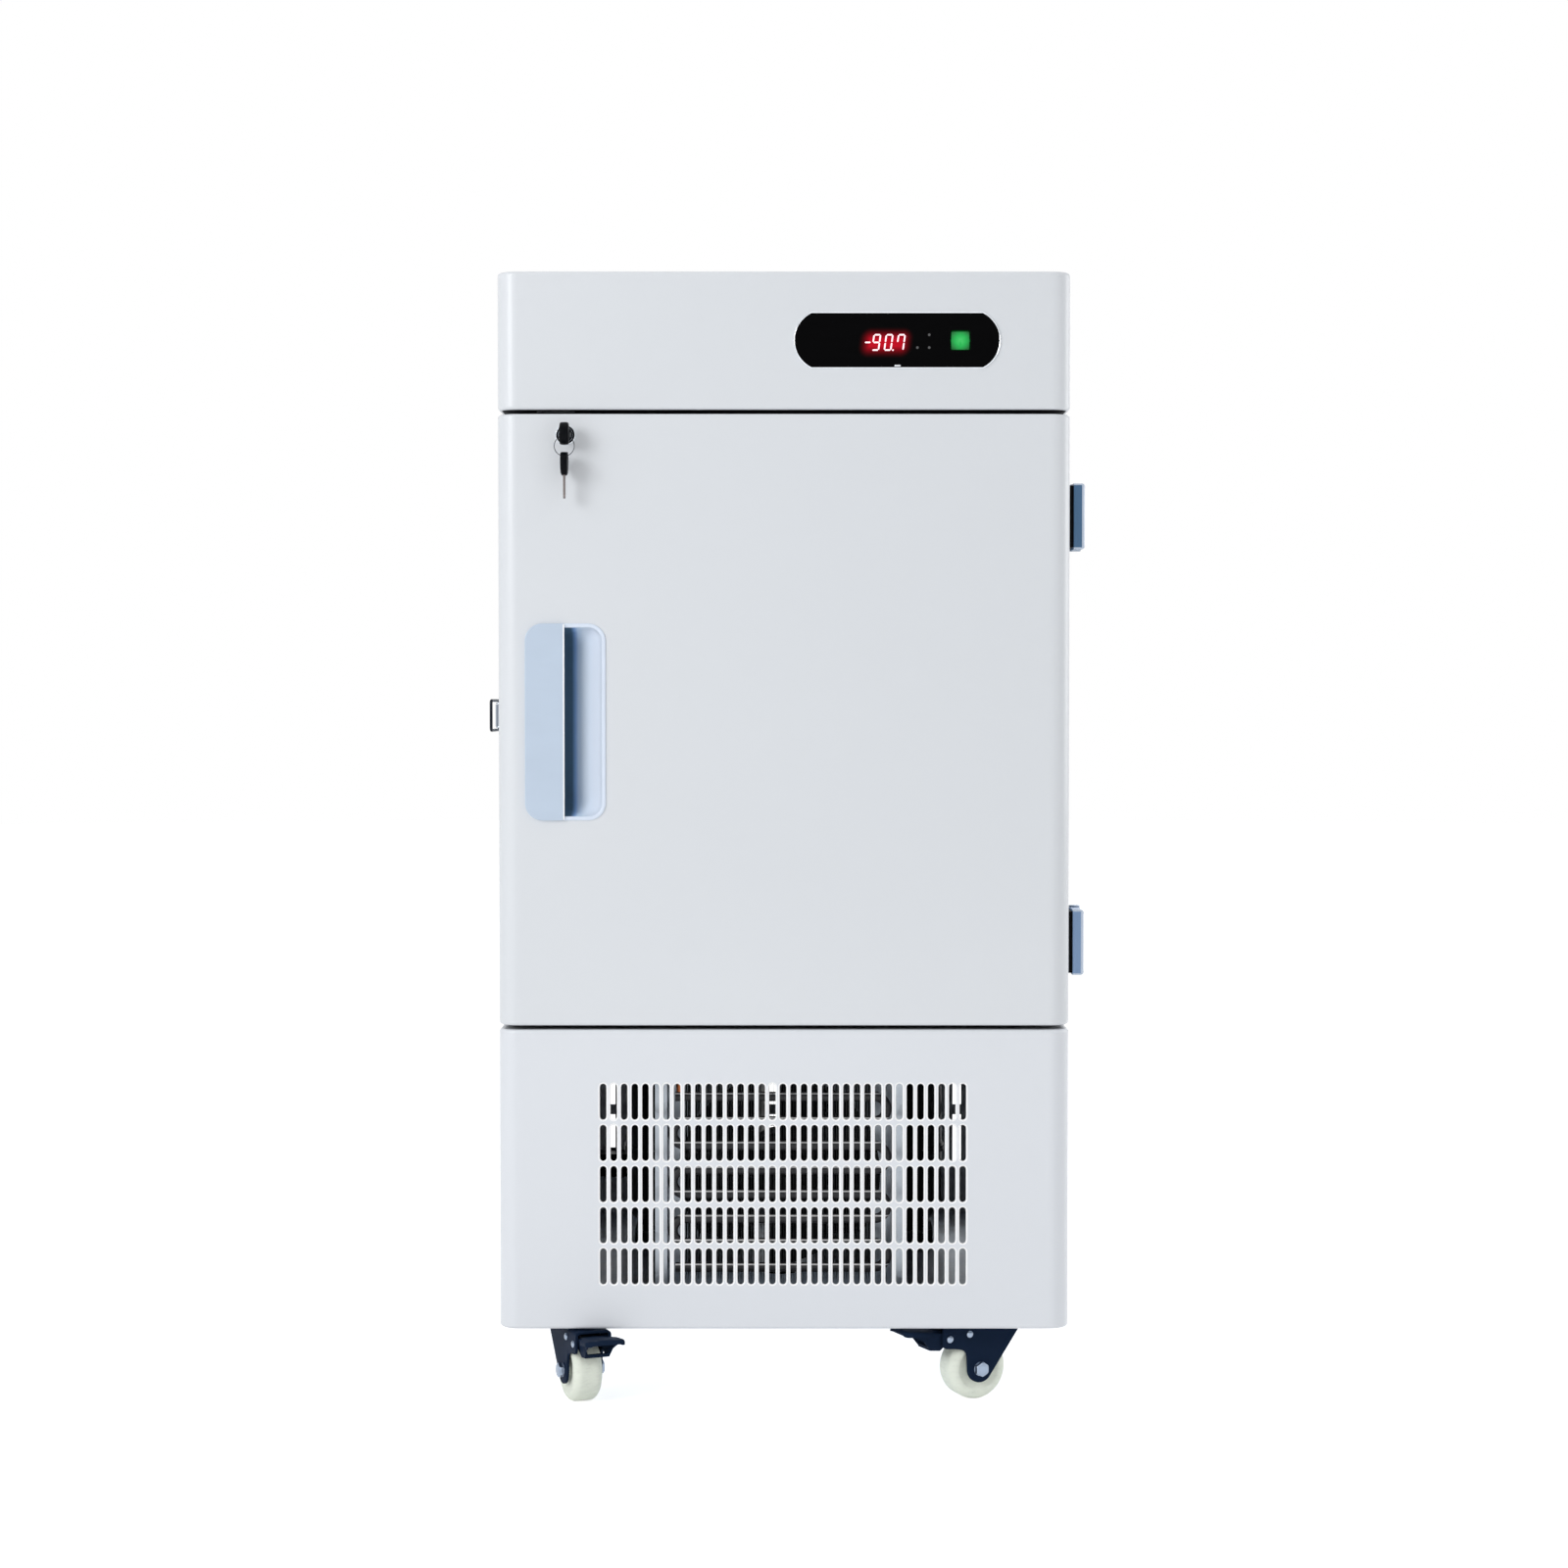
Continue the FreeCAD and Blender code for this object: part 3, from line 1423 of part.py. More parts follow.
def condenser_frame():
    """Galvanised end plates and the fan shroud, standing on the tray."""
    z1 = coil_highest + D.coil_pitch / 2 + D.end_flange_width
    wall = D.end_plate_thickness
    piece = Piece("condenser_ends")
    piece.pad("XY", tray_top, z1, [[
        (end_left - D.end_flange_width, coil_front - wall),
        (end_left, coil_front - wall),
        (end_left, shroud_y),
        (end_right, shroud_y),
        (end_right, coil_front - wall),
        (end_right + D.end_flange_width, coil_front - wall),
        (end_right + D.end_flange_width, coil_front),
        (end_right + wall, coil_front),
        (end_right + wall, shroud_y + wall),
        (end_left - wall, shroud_y + wall),
        (end_left - wall, coil_front),
        (end_left - D.end_flange_width, coil_front),
    ]])
    piece.pocket("XZ", shroud_y, shroud_y + wall, circles=[(fan_x, fan_z, D.fan_hole_radius)])
    keep(piece.done(), "condenser_frame")


def blade_section(chord, pitch):
    """Slanted section of a fan blade."""
    along = (sine(pitch) * chord / 2, cosine(pitch) * chord / 2)
    across = (cosine(pitch) * D.fan_blade_thickness / 2, -sine(pitch) * D.fan_blade_thickness / 2)
    corners = ((-1, -1), (-1, 1), (1, 1), (1, -1))
    return [(along[0] * a + across[0] * b, along[1] * a + across[1] * b) for a, b in corners]


def fan_blades():
    """Fan wheel: a hub and twisted blades."""
    piece = Piece("fan")
    half = D.fan_hub_length / 2
    root_radius = D.fan_hub_radius - D.fan_blade_thickness * 2
    blade = piece.loft("AdditiveLoft", "YZ",
                       (root_radius, blade_section(D.fan_root_chord, D.fan_root_pitch)),
                       (D.fan_radius, blade_section(D.fan_tip_chord, D.fan_tip_pitch)))
    piece.repeat_around([blade], "Y", D.fan_blades)
    piece.pad("XZ", -half, half, circles=[(0, 0, D.fan_hub_radius)])
    piece.fillet(D.fan_blade_thickness / 2, dict(y=-half))
    piece.pocket("XZ", 0, half, circles=[(0, 0, D.fan_shaft_radius + D.running_gap)])
    fan = piece.done()
    set_position(fan, fan_x, fan_y, fan_z)
    keep(fan, "fan_blades")


def fan_motor():
    """Fan motor on a post from the tray, with its shaft in the fan's hub."""
    y0 = fan_y + D.fan_hub_length / 2 + D.fan_gap / 2
    y1 = y0 + D.fan_motor_length
    piece = Piece("motor")
    piece.pad("XZ", y0, y1, circles=[(fan_x, fan_z, D.fan_motor_radius)])
    piece.fillet(D.edge_radius, dict(y=y0), dict(y=y1))
    shaft = rod("motor_shaft", "y", D.fan_shaft_radius, fan_y + D.fit_gap, y0 + D.edge_radius,
                x=fan_x, z=fan_z)
    half = D.fan_post_width / 2
    post = block("motor_post", (fan_x - half, fan_x + half),
                 (y0 + D.edge_radius, y1 - D.edge_radius), (tray_top, fan_z))
    foot = block("motor_foot", (fan_x - half * 2, fan_x + half * 2), (y0, y1),
                 (tray_top, tray_top + D.edge_radius))
    keep(fuse("motor_solid", piece.done(), shaft, post, foot), "fan_motor")


compressor_y = front + D.compressor_setback
foot_top = tray_top + D.mount_height + D.compressor_foot_thickness
compressor_top = foot_top + D.compressor_height


def compressor(name, x):
    """Welded compressor shell on its foot plate."""
    piece = Piece(name)
    radius = D.compressor_radius
    dome = radius / 2
    bottom = radius / 3
    seam = D.compressor_seam
    band = D.edge_radius
    piece.revolve("XZ", [
        (0, 0),
        (radius - bottom, 0),
        (radius, bottom, radius - bottom, bottom, 1),
        (radius, seam - band),
        (radius + band, seam - band),
        (radius + band, seam + band),
        (radius, seam + band),
        (radius, D.compressor_height - dome),
        (radius - dome, D.compressor_height, radius - dome, D.compressor_height - dome, 1),
        (0, D.compressor_height),
    ])
    half = D.compressor_foot / 2
    piece.pad("XY", -D.compressor_foot_thickness, size(0),
              [rounded(-half, half, -half, half, D.mount_radius)])
    body = piece.done()
    set_position(body, x, compressor_y, foot_top)
    keep(body, name)


def compressor_mounts():
    """Rubber mounts between the foot plates and the tray."""
    offset = D.compressor_foot / 2 - D.mount_radius
    mounts = []
    for side in (-1, 1):
        for dx in (-1, 1):
            for dy in (-1, 1):
                mounts.append(rod(f"mount_{len(mounts)}", "z", D.mount_radius, tray_top,
                                  tray_top + D.mount_height,
                                  x=D.compressor_spread * side + offset * dx,
                                  y=compressor_y + offset * dy))
    keep(group("mounts", *mounts), "compressor_mounts")


def refrigerant_pipes():
    """Discharge pipe to the top run of the condenser and the pipe between compressors."""
    bend = D.pipe_bend
    top = compressor_top + D.pipe_rise
    landing = coil_highest + D.coil_tube_radius + D.fit_gap
    x = D.coil_left - D.pipe_radius - D.fit_gap * 3
    discharge = Piece("discharge")
    discharge.pipe("YZ", x, [
        (compressor_y, compressor_top),
        (compressor_y, top - bend),
        (compressor_y - bend, top, compressor_y - bend, top - bend, 1),
        (coil_front + bend, top),
        (coil_front, top - bend, coil_front + bend, top - bend, 1),
        (coil_front, landing),
    ], D.pipe_radius, "XY", (compressor_top, x, compressor_y))
    level = compressor_top + D.interstage_rise
    radius = bend / 2
    y = compressor_y + D.compressor_radius / 3
    link = Piece("interstage")
    link.pipe("XZ", y, [
        (-D.compressor_spread, compressor_top),
        (-D.compressor_spread, level - radius),
        (radius - D.compressor_spread, level, radius - D.compressor_spread, level - radius, -1),
        (D.compressor_spread - radius, level),
        (D.compressor_spread, level - radius, D.compressor_spread - radius, level - radius, -1),
        (D.compressor_spread, compressor_top),
    ], D.pipe_radius, "XY", (compressor_top, -D.compressor_spread, y))
    keep(group("pipes", discharge.done(), link.done()), "refrigerant_pipes")


bezel_front = front - D.bezel_thickness


def display_bezel():
    """Bright rim round the display."""
    piece = Piece("bezel")
    piece.pad("XZ", bezel_front, front, [display_outline(D.bezel_width),
                                         display_outline(-D.bezel_width / 4)])
    piece.fillet(D.bezel_thickness / 3, dict(y=bezel_front))
    keep(piece.done(), "display_bezel")


def rocker_opening(name, low, high):
    """Room for the rocker through the lens."""
    half = D.rocker_size / 2 + D.rocker_gap
    return block(name, (D.rocker_x - half, D.rocker_x + half), (low, high),
                 (display_level - half, display_level + half))


rocker_axis_y = bezel_front + D.rocker_pivot_depth + D.bezel_thickness / 3


def rocker_pin_end(clearance):
    """How far the rocker's pin reaches to each side of its middle."""
    return D.rocker_size / 2 + D.rocker_gap + D.rocker_pin_reach + clearance


def display_lens():
    """Dark window of the display, open where the rocker sits."""
    piece = Piece("lens")
    seat = bezel_front + D.bezel_thickness / 3
    piece.pad("XZ", seat, seat + D.lens_thickness,
              [display_outline(-D.bezel_width / 4 - D.fit_gap / 2)])
    hole = rocker_opening("lens_hole", seat - D.edge_radius, seat + D.lens_thickness * 2)
    keep(cut("lens_cut", piece.done(), hole), "display_lens")


def control_board():
    """Circuit board behind the display, with the digit module and the rocker's cradle."""
    lens_back = bezel_front + D.bezel_thickness / 3 + D.lens_thickness
    y0 = front + D.board_setback
    half_width = D.board_width / 2
    half_height = D.board_height / 2
    board = block("board", (D.display_x - half_width, D.display_x + half_width),
                  (y0, y0 + D.board_thickness),
                  (display_level - half_height, display_level + half_height))
    module = block("module", (D.digits_x - D.digits_width / 2, D.digits_x + D.digits_width / 2),
                   (lens_back, y0),
                   (display_level - D.digits_height / 2, display_level + D.digits_height / 2))
    half = D.rocker_size / 2 + D.rocker_gap + D.edge_radius
    cradle = block("cradle", (D.rocker_x - half, D.rocker_x + half), (lens_back, y0),
                   (display_level - half, display_level + half))
    room = rocker_opening("cradle_room", lens_back - D.edge_radius, y0 - D.edge_radius / 3)
    reach = rocker_pin_end(D.fit_gap)
    bore = rod("cradle_bore", "x", D.rocker_pin_radius + D.running_gap,
               D.rocker_x - reach, D.rocker_x + reach, y=rocker_axis_y, z=display_level)
    body = cut("cradle_cut", cradle, room, bore)
    keep(fuse("board_solid", board, module, body), "control_board")


def power_rocker():
    """Lit rocker switch with its pivot pin, tipped to its on side."""
    half = D.rocker_size / 2
    face = half * sine(D.rocker_half_angle)
    depth = D.rocker_pivot_depth
    taper = half * 2 / 3
    piece = Piece("rocker")
    piece.pad("YZ", -half, half, [[
        (-depth, 0), (-depth - face, -half), (-depth / 2, -half), (D.rocker_back, -taper),
        (D.rocker_back, taper), (-depth / 2, half), (-depth - face, half),
    ]])
    reach = rocker_pin_end(size(0))
    pin = rod("rocker_pin", "x", D.rocker_pin_radius, -reach, reach)
    rocker = fuse("rocker_solid", piece.done(), pin)
    turn_about(rocker, X_AXIS, D.rocker_half_angle)
    set_position(rocker, D.rocker_x, rocker_axis_y, display_level)
    keep(rocker, "power_rocker")


def power_inlet():
    """Mains inlet in the rear panel: flange, body, socket and three pins."""
    x, z = inlet_x, D.inlet_level
    half_width = D.inlet_width / 2
    half_height = D.inlet_height / 2
    edge = D.inlet_flange
    outside = back + edge
    body = Piece("inlet")
    body.pad("XZ", back, outside, [rounded(x - half_width, x + half_width, z - half_height,
                                           z + half_height, edge * 2)])
    inner_width = half_width - edge - D.fit_gap
    inner_height = half_height - edge - D.fit_gap
    body.pad("XZ", back - D.inlet_body_depth, back,
             [rectangle(x - inner_width, x + inner_width, z - inner_height, z + inner_height)])
    socket_width = inner_width - edge * 2
    socket_height = inner_height - edge
    body.pocket("XZ", outside - D.inlet_socket_depth, outside,
                [rounded(x - socket_width, x + socket_width, z - socket_height,
                         z + socket_height, edge)])
    pins = []
    pin = edge / 2
    for index, (dx, dz) in enumerate(((-1, -1), (1, -1), (0, 1))):
        px = x + socket_width / 2 * dx
        pz = z + socket_height / 3 * dz
        pins.append(block(f"inlet_pin_{index}", (px - pin, px + pin),
                          (outside - D.inlet_socket_depth - pin, outside - edge * 2),
                          (pz - pin * 2, pz + pin * 2)))
    floor = body.done()
    keep(fuse("inlet_solid", floor, *pins), "power_inlet")


pedal_pivot_level = D.pedal_level - D.pedal_thickness / 2
plate_bottom = D.tray_level - D.caster_plate_thickness
crown_top = D.tray_level - D.crown_drop
crown_bottom = crown_top - D.crown_thickness
caster_x = right - D.caster_inset
caster_front_y = front + D.caster_setback
caster_rear_y = back - D.caster_setback
casters = (
    ("front_left", -caster_x, caster_front_y, D.front_left_heading, True),
    ("front_right", caster_x, caster_front_y, D.front_right_heading, True),
    ("rear_left", -caster_x, caster_rear_y, D.rear_left_heading, False),
    ("rear_right", caster_x, caster_rear_y, D.rear_right_heading, False),
)


def caster_plates():
    """Top plates under the tray, each with the boss that its fork turns on."""
    plates = []
    half = D.caster_plate_size / 2
    for name, x, y, _, _ in casters:
        plate = Piece(name + "_plate")
        plate.pad("XY", plate_bottom, D.tray_level,
                  [rounded(x - half, x + half, y - half, y + half, D.corner_radius / 4)])
        low = crown_bottom - D.fit_gap
        plate.pad("XY", low, plate_bottom, circles=[(x, y, D.boss_radius)])
        plate.pad("XY", low - D.boss_rivet_thickness, low, circles=[(x, y, D.boss_rivet_radius)])
        holes = [(x + D.caster_bolt_spread * dx, y + D.caster_bolt_spread * dy,
                  D.caster_bolt_radius + D.running_gap) for dx in (-1, 1) for dy in (-1, 1)]
        plate.pocket("XY", plate_bottom, D.tray_level, circles=holes)
        plates.append(plate.done())
    keep(group("plates", *plates), "caster_plates")


def hexagon(x, y, radius):
    """Corners of a regular hexagon."""
    sides = 6
    angles = [size(360 / sides * step) for step in range(sides)]
    return [(x + cosine(angle) * radius, y + sine(angle) * radius) for angle in angles]


def caster_bolts():
    """Four hexagon bolts through each caster plate."""
    bolts = []
    for name, x, y, _, _ in casters:
        for dx in (-1, 1):
            for dy in (-1, 1):
                centre = (x + D.caster_bolt_spread * dx, y + D.caster_bolt_spread * dy)
                bolt = Piece(f"{name}_bolt_{len(bolts)}")
                head = plate_bottom - D.caster_bolt_head_height
                bolt.pad("XY", head, plate_bottom,
                         [hexagon(*centre, D.caster_bolt_head_radius)])
                bolt.pad("XY", plate_bottom, D.tray_level,
                         circles=[(*centre, D.caster_bolt_radius)])
                bolts.append(bolt.done())
    keep(group("bolts", *bolts), "caster_bolts")


def caster_fork(name, x, y, heading, braked):
    """Pressed fork: crown with its ball race, two legs and the axle bolt with its nut."""
    trail = D.caster_trail
    inner = D.wheel_width / 2 + D.fork_leg_gap
    outer = inner + D.fork_leg_thickness
    axle = D.wheel_radius
    foot = D.fork_foot_radius
    sweep = D.fork_heel + trail - foot
    fork = Piece(name + "_fork")
    fork.pad("XZ", -outer, outer, [[
        (-D.fork_heel, crown_top),
        (-D.fork_heel, crown_bottom),
        (trail - foot, crown_bottom - sweep, -D.fork_heel, crown_bottom - sweep, -1),
        (trail - foot, axle),
        (trail + foot, axle, trail, axle, 1),
        (D.fork_toe, crown_bottom - foot),
        (D.fork_toe, crown_top),
    ]])
    fork.pocket("YZ", -D.crown_radius * 2, D.crown_radius * 4,
                [rectangle(-inner, inner, size(0), crown_bottom)])
    fork.pad("XY", crown_bottom, crown_top, circles=[(0, 0, D.crown_radius)])
    fork.pad("XY", crown_top, crown_top + D.race_height - D.fit_gap,
             circles=[(0, 0, D.boss_rivet_radius + D.race_height)])
    fork.pocket("XY", crown_bottom, crown_top + D.race_height,
                circles=[(0, 0, D.boss_radius + D.fit_gap)])
    shaft = rod(name + "_axle", "y", D.axle_radius, -outer - D.bolt_head_height,
                outer + D.bolt_head_height, x=trail, z=axle)
    ends = []
    for side in (-1, 1):
        end = Piece(f"{name}_axle_end_{side + 1}")
        levels = sorted((outer * side, (outer + D.bolt_head_height) * side),
                        key=lambda level: level.value)
        end.pad("XZ", levels[0], levels[1], [hexagon(trail, axle, D.bolt_head_radius)])
        ends.append(end.done())
    if braked:
        ends.append(rod(name + "_pedal_pin", "y", D.pedal_pin_radius, -outer, outer,
                        x=D.pedal_pivot_reach, z=pedal_pivot_level))
    solid = fuse(name + "_fork_solid", fork.done(), shaft, *ends)
    turn_about(solid, Z_AXIS, heading)
    set_position(solid, x, y)
    keep(solid, name + "_caster_fork")


def caster_wheel(name, x, y, heading):
    """Wheel with a rounded tread and a bored hub."""
    radius = D.wheel_radius
    half = D.wheel_width / 2
    rounding = D.wheel_rounding
    hub = D.wheel_hub_radius
    hub_half = half + D.fork_leg_gap - D.fit_gap
    bore = D.axle_radius + D.axle_gap
    wheel = Piece(name + "_wheel")
    wheel.revolve("YZ", [
        (-hub_half, bore),
        (hub_half, bore),
        (hub_half, hub),
        (half, hub),
        (half, radius - rounding),
        (half - rounding, radius, half - rounding, radius - rounding, 1),
        (rounding - half, radius),
        (-half, radius - rounding, rounding - half, radius - rounding, 1),
        (-half, hub),
        (-hub_half, hub),
    ], "H_Axis")
    body = wheel.done()
    turn_about(body, Z_AXIS, heading)
    set_position(body, x + cosine(heading) * D.caster_trail, y + sine(heading) * D.caster_trail,
                 D.wheel_radius)
    keep(body, name + "_caster_wheel")


def caster_pedal(name, x, y, heading):
    """Brake pedal that flares out behind the wheel."""
    pedal = Piece(name + "_pedal")
    root = D.pedal_root_width / 2
    tip = D.pedal_tip_width / 2
    start = D.pedal_pivot_reach
    end = D.pedal_tip_reach
    pedal.pad("XY", D.pedal_level - D.pedal_thickness, D.pedal_tip_level, [[
        (start, -root), (start + root, -root), (end - root / 2, -tip), (end, -tip + root / 2),
        (end, tip - root / 2), (end - root / 2, tip), (start + root, root), (start, root),
    ]])
    low = D.pedal_level - D.pedal_thickness
    thickness = D.pedal_thickness
    side = [
        (start - root, D.pedal_level), (start + root, D.pedal_level),
        (end + root, D.pedal_tip_level), (end + root, D.pedal_tip_level + thickness * 3),
        (start - root, D.pedal_tip_level + thickness * 3),
    ]
    under = [
        (start - root, low - thickness), (end + root, low - thickness),
        (end + root, D.pedal_tip_level - thickness), (start + root, low), (start - root, low),
    ]
    pedal.pocket("XZ", -tip - root, tip + root, [side])
    pedal.pocket("XZ", -tip - root, tip + root, [under])
    inner = D.wheel_width / 2 + D.fork_leg_gap - D.fit_gap
    pedal.pad("XZ", -inner, inner, circles=[(start, pedal_pivot_level, D.pedal_hub_radius)])
    pedal.pocket("XZ", -inner, inner,
                 circles=[(start, pedal_pivot_level, D.pedal_pin_radius + D.running_gap)])
    body = pedal.done()
    turn_about(body, Z_AXIS, heading)
    set_position(body, x, y)
    keep(body, name + "_brake_pedal")


def make_casters():
    """Four swivel casters. The front two have brakes."""
    caster_plates()
    caster_bolts()
    for name, x, y, heading, braked in casters:
        caster_fork(name, x, y, heading, braked)
        caster_wheel(name, x, y, heading)
        if braked:
            caster_pedal(name, x, y, heading)


def check():
    """Stops the build when an object failed or a piece isn't whole."""
    for item in document.Objects:
        if "Invalid" in item.State or "Error" in item.State:
            raise RuntimeError(f"{item.Name} failed: {item.State}")
        if item.TypeId == "PartDesign::Pocket" and item.BaseFeature is not None:
            if item.Shape.Volume > item.BaseFeature.Shape.Volume - TOUCH:
                raise RuntimeError(f"{item.Name} takes nothing away")
    for item in nodes:
        if item.Shape.isNull() or not item.Shape.isValid():
            raise RuntimeError(f"{item.Label} has no valid shape")


def build():
    """Makes every piece, checks it and writes it."""
    for make in (
        cabinet_shell, back_panel, control_head, lower_front_panel, base_tray,
        front_frame, inner_liner, cabinet_insulation, shelf,
        inner_door_brackets, handle_cup, handle_grip, door_panel, door_liner,
        door_insulation, door_gasket, lock_barrel, lock_plug, lock_cam, keys, hinges,
        latch_base, latch_lever, latch_bail, latch_keeper, condenser_fins,
        condenser_tube, condenser_frame, fan_blades, fan_motor, compressor_mounts,
        refrigerant_pipes, display_bezel, display_lens, control_board, power_rocker,
        power_inlet, make_casters,
    ):
        make()
    inner_door("lower_inner_door", chamber_bottom + split * 2, chamber_middle - split)
    inner_door("upper_inner_door", chamber_middle + split, chamber_top - split * 2)
    compressor("low_stage_compressor", -D.compressor_spread)
    compressor("high_stage_compressor", D.compressor_spread)
    document.recompute()
    check()
    os.makedirs("parts", exist_ok=True)
    for item in nodes:
        item.Shape.exportStep(f"parts/{item.Label}.step")
    print(len(nodes), "pieces")


build()
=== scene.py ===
"""Looks of an upright laboratory freezer on swivel casters."""
import json
import math

import bmesh
import bpy
import numpy as np
from bpy.props import (FloatProperty, FloatVectorProperty, IntProperty, PointerProperty,
                       StringProperty)
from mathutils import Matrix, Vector
from mathutils.geometry import delaunay_2d_cdt


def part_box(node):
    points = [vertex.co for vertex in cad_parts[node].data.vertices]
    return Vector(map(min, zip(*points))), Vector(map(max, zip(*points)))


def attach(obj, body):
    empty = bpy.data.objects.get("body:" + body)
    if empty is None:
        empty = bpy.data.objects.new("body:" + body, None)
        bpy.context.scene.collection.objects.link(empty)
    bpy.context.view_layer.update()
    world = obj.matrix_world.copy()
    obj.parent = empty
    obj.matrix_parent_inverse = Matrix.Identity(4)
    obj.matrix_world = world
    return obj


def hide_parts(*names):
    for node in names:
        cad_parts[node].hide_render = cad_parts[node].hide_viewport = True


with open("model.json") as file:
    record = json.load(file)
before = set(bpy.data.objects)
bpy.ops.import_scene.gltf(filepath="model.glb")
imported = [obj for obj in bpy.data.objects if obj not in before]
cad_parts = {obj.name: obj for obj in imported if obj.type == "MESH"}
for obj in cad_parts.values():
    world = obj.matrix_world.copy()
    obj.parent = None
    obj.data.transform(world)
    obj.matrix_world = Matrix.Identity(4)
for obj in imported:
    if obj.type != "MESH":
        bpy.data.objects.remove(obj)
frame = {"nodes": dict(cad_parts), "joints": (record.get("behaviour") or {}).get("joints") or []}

bl_info = {
    "name": "Laboratory Freezer",
    "version": (1, 0, 0),
    "blender": (4, 5, 0),
    "location": "View3D > Sidebar > Freezer",
    "description": "Builds the visible pieces of an upright laboratory freezer",
    "category": "Object",
}

MM = 0.001
SHARP_EDGE = math.radians(38)
NODES = frame["nodes"]
JOINTS = {joint["name"]: joint for joint in frame["joints"]}
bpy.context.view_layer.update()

# Across, up and out of the working plane for each side that a piece can face
FACING = {
    "front": ((1, 0, 0), (0, 0, 1), (0, -1, 0)),
    "back": ((-1, 0, 0), (0, 0, 1), (0, 1, 0)),
    "right": ((0, 1, 0), (0, 0, 1), (1, 0, 0)),
    "left": ((0, -1, 0), (0, 0, 1), (-1, 0, 0)),
    "top": ((1, 0, 0), (0, 1, 0), (0, 0, 1)),
    "bottom": ((1, 0, 0), (0, -1, 0), (0, 0, -1)),
}
AXES = {"x": (1, 2), "y": (2, 0), "z": (0, 1)}


def corners(node):
    """Lowest and highest corner of a CAD node, as arrays, in millimetres."""
    low, high = np.array(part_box(node))
    return low / MM, high / MM


def axis_of(joint):
    """A point on a joint's axis, as an array, in millimetres."""
    return np.array(JOINTS[joint]["pos_m"], float) / MM


class Shape:
    """Corners and faces of a surface. Each array of faces has one finish and one corner count."""

    def __init__(self, points, faces, finishes=None):
        self.points = np.asarray(points, float).reshape(-1, 3)
        self.faces = [np.asarray(array, int) for array in faces]
        self.finishes = list(finishes or [0] * len(self.faces))

    def __add__(self, other):
        moved = [array + len(self.points) for array in other.faces]
        return Shape(np.vstack([self.points, other.points]), self.faces + moved,
                     self.finishes + other.finishes)

    def __radd__(self, nothing):
        """A sum of surfaces starts from 0."""
        return self

    def finish(self, number):
        """The same surface in another of the piece's finishes."""
        return Shape(self.points, self.faces, [number] * len(self.faces))

    def flipped(self):
        """The same surface with its faces turned over."""
        return Shape(self.points, [array[:, ::-1] for array in self.faces], self.finishes)

    def dressed(self, columns, choose, number):
        """Another finish on those faces of a grid whose row and column are chosen."""
        faces = self.faces[0]
        chosen = choose(*divmod(np.arange(len(faces)), columns))
        return Shape(self.points, [faces[~chosen], faces[chosen], *self.faces[1:]],
                     [0, number, *self.finishes[1:]])

    def facing(self, side, at=(0, 0, 0)):
        """Across, up and out become the three directions of a side, measured from a place."""
        points = self.points @ np.array(FACING[side], float) + np.array(at, float)
        return Shape(points, self.faces, self.finishes)

    def moved(self, x=0.0, y=0.0, z=0.0):
        """The surface shifted by a distance along each direction."""
        return Shape(self.points + np.array([x, y, z]), self.faces, self.finishes)

    def turned(self, axis, degrees, about=(0, 0, 0)):
        """The surface turned about an axis through a point: a plane rotation of two coordinates."""
        first, second = AXES[axis]
        angle = math.radians(degrees)
        spot = self.points - np.array(about, float)
        points = spot.copy()
        points[:, first] = spot[:, first] * math.cos(angle) - spot[:, second] * math.sin(angle)
        points[:, second] = spot[:, first] * math.sin(angle) + spot[:, second] * math.cos(angle)
        return Shape(points + np.array(about, float), self.faces, self.finishes)


def grid(points, close_rows=False, close_columns=False):
    """A surface of two parameters: neighbours in rows and columns joined by four-sided faces."""
    rows, columns = points.shape[:2]
    number = np.arange(rows * columns).reshape(rows, columns)
    if close_rows:
        number = np.vstack([number, number[:1]])
    if close_columns:
        number = np.hstack([number, number[:, :1]])
    quads = np.stack([number[:-1, :-1], number[:-1, 1:], number[1:, 1:], number[1:, :-1]], -1)
    return Shape(points, [quads.reshape(-1, 4)])


def loft(rows, closed=False):
    """Closed loops of one count joined in order. Flat faces close both ends, or the last loop meets
    the first."""
    rows = np.asarray(rows, float)
    shape = grid(rows, closed, True)
    if not closed:
        number = np.arange(rows.shape[0] * rows.shape[1]).reshape(rows.shape[:2])
        shape.faces += [number[:1, ::-1], number[-1:]]
        shape.finishes += [0, 0]
    return shape


def lifted(flat, height):
    """Rows of flat points, each row at its own height."""
    height = np.broadcast_to(np.asarray(height)[:, None, None], (*flat.shape[:2], 1))
    return np.concatenate([flat, height], axis=2)


def outward(outline):
    """Direction away from an anticlockwise outline at each corner: the mean of both sides' normals,
    long enough to keep the sides' distance."""
    side = np.roll(outline, -1, axis=0) - outline
    side /= np.linalg.norm(side, axis=1, keepdims=True)
    out = np.stack([side[:, 1], -side[:, 0]], axis=1)
    before = np.roll(out, 1, axis=0)
    return (out + before) / (1 + (out * before).sum(axis=1, keepdims=True))


def carry(outline, profile):
    """A profile carried round an outline: each of its points gives how far out and how high a loop
    lies."""
    profile = np.asarray(profile, float)
    return lifted(outline[None] + outward(outline)[None] * profile[:, None, :1], profile[:, 1])


def offset(outline, distance):
    """An outline moved outwards by a distance."""
    return carry(outline, [(distance, 0)])[0, :, :2]


def walls(outline, *profile):
    """The open surface of a profile carried round an outline."""
    return grid(carry(outline, profile), close_columns=True)


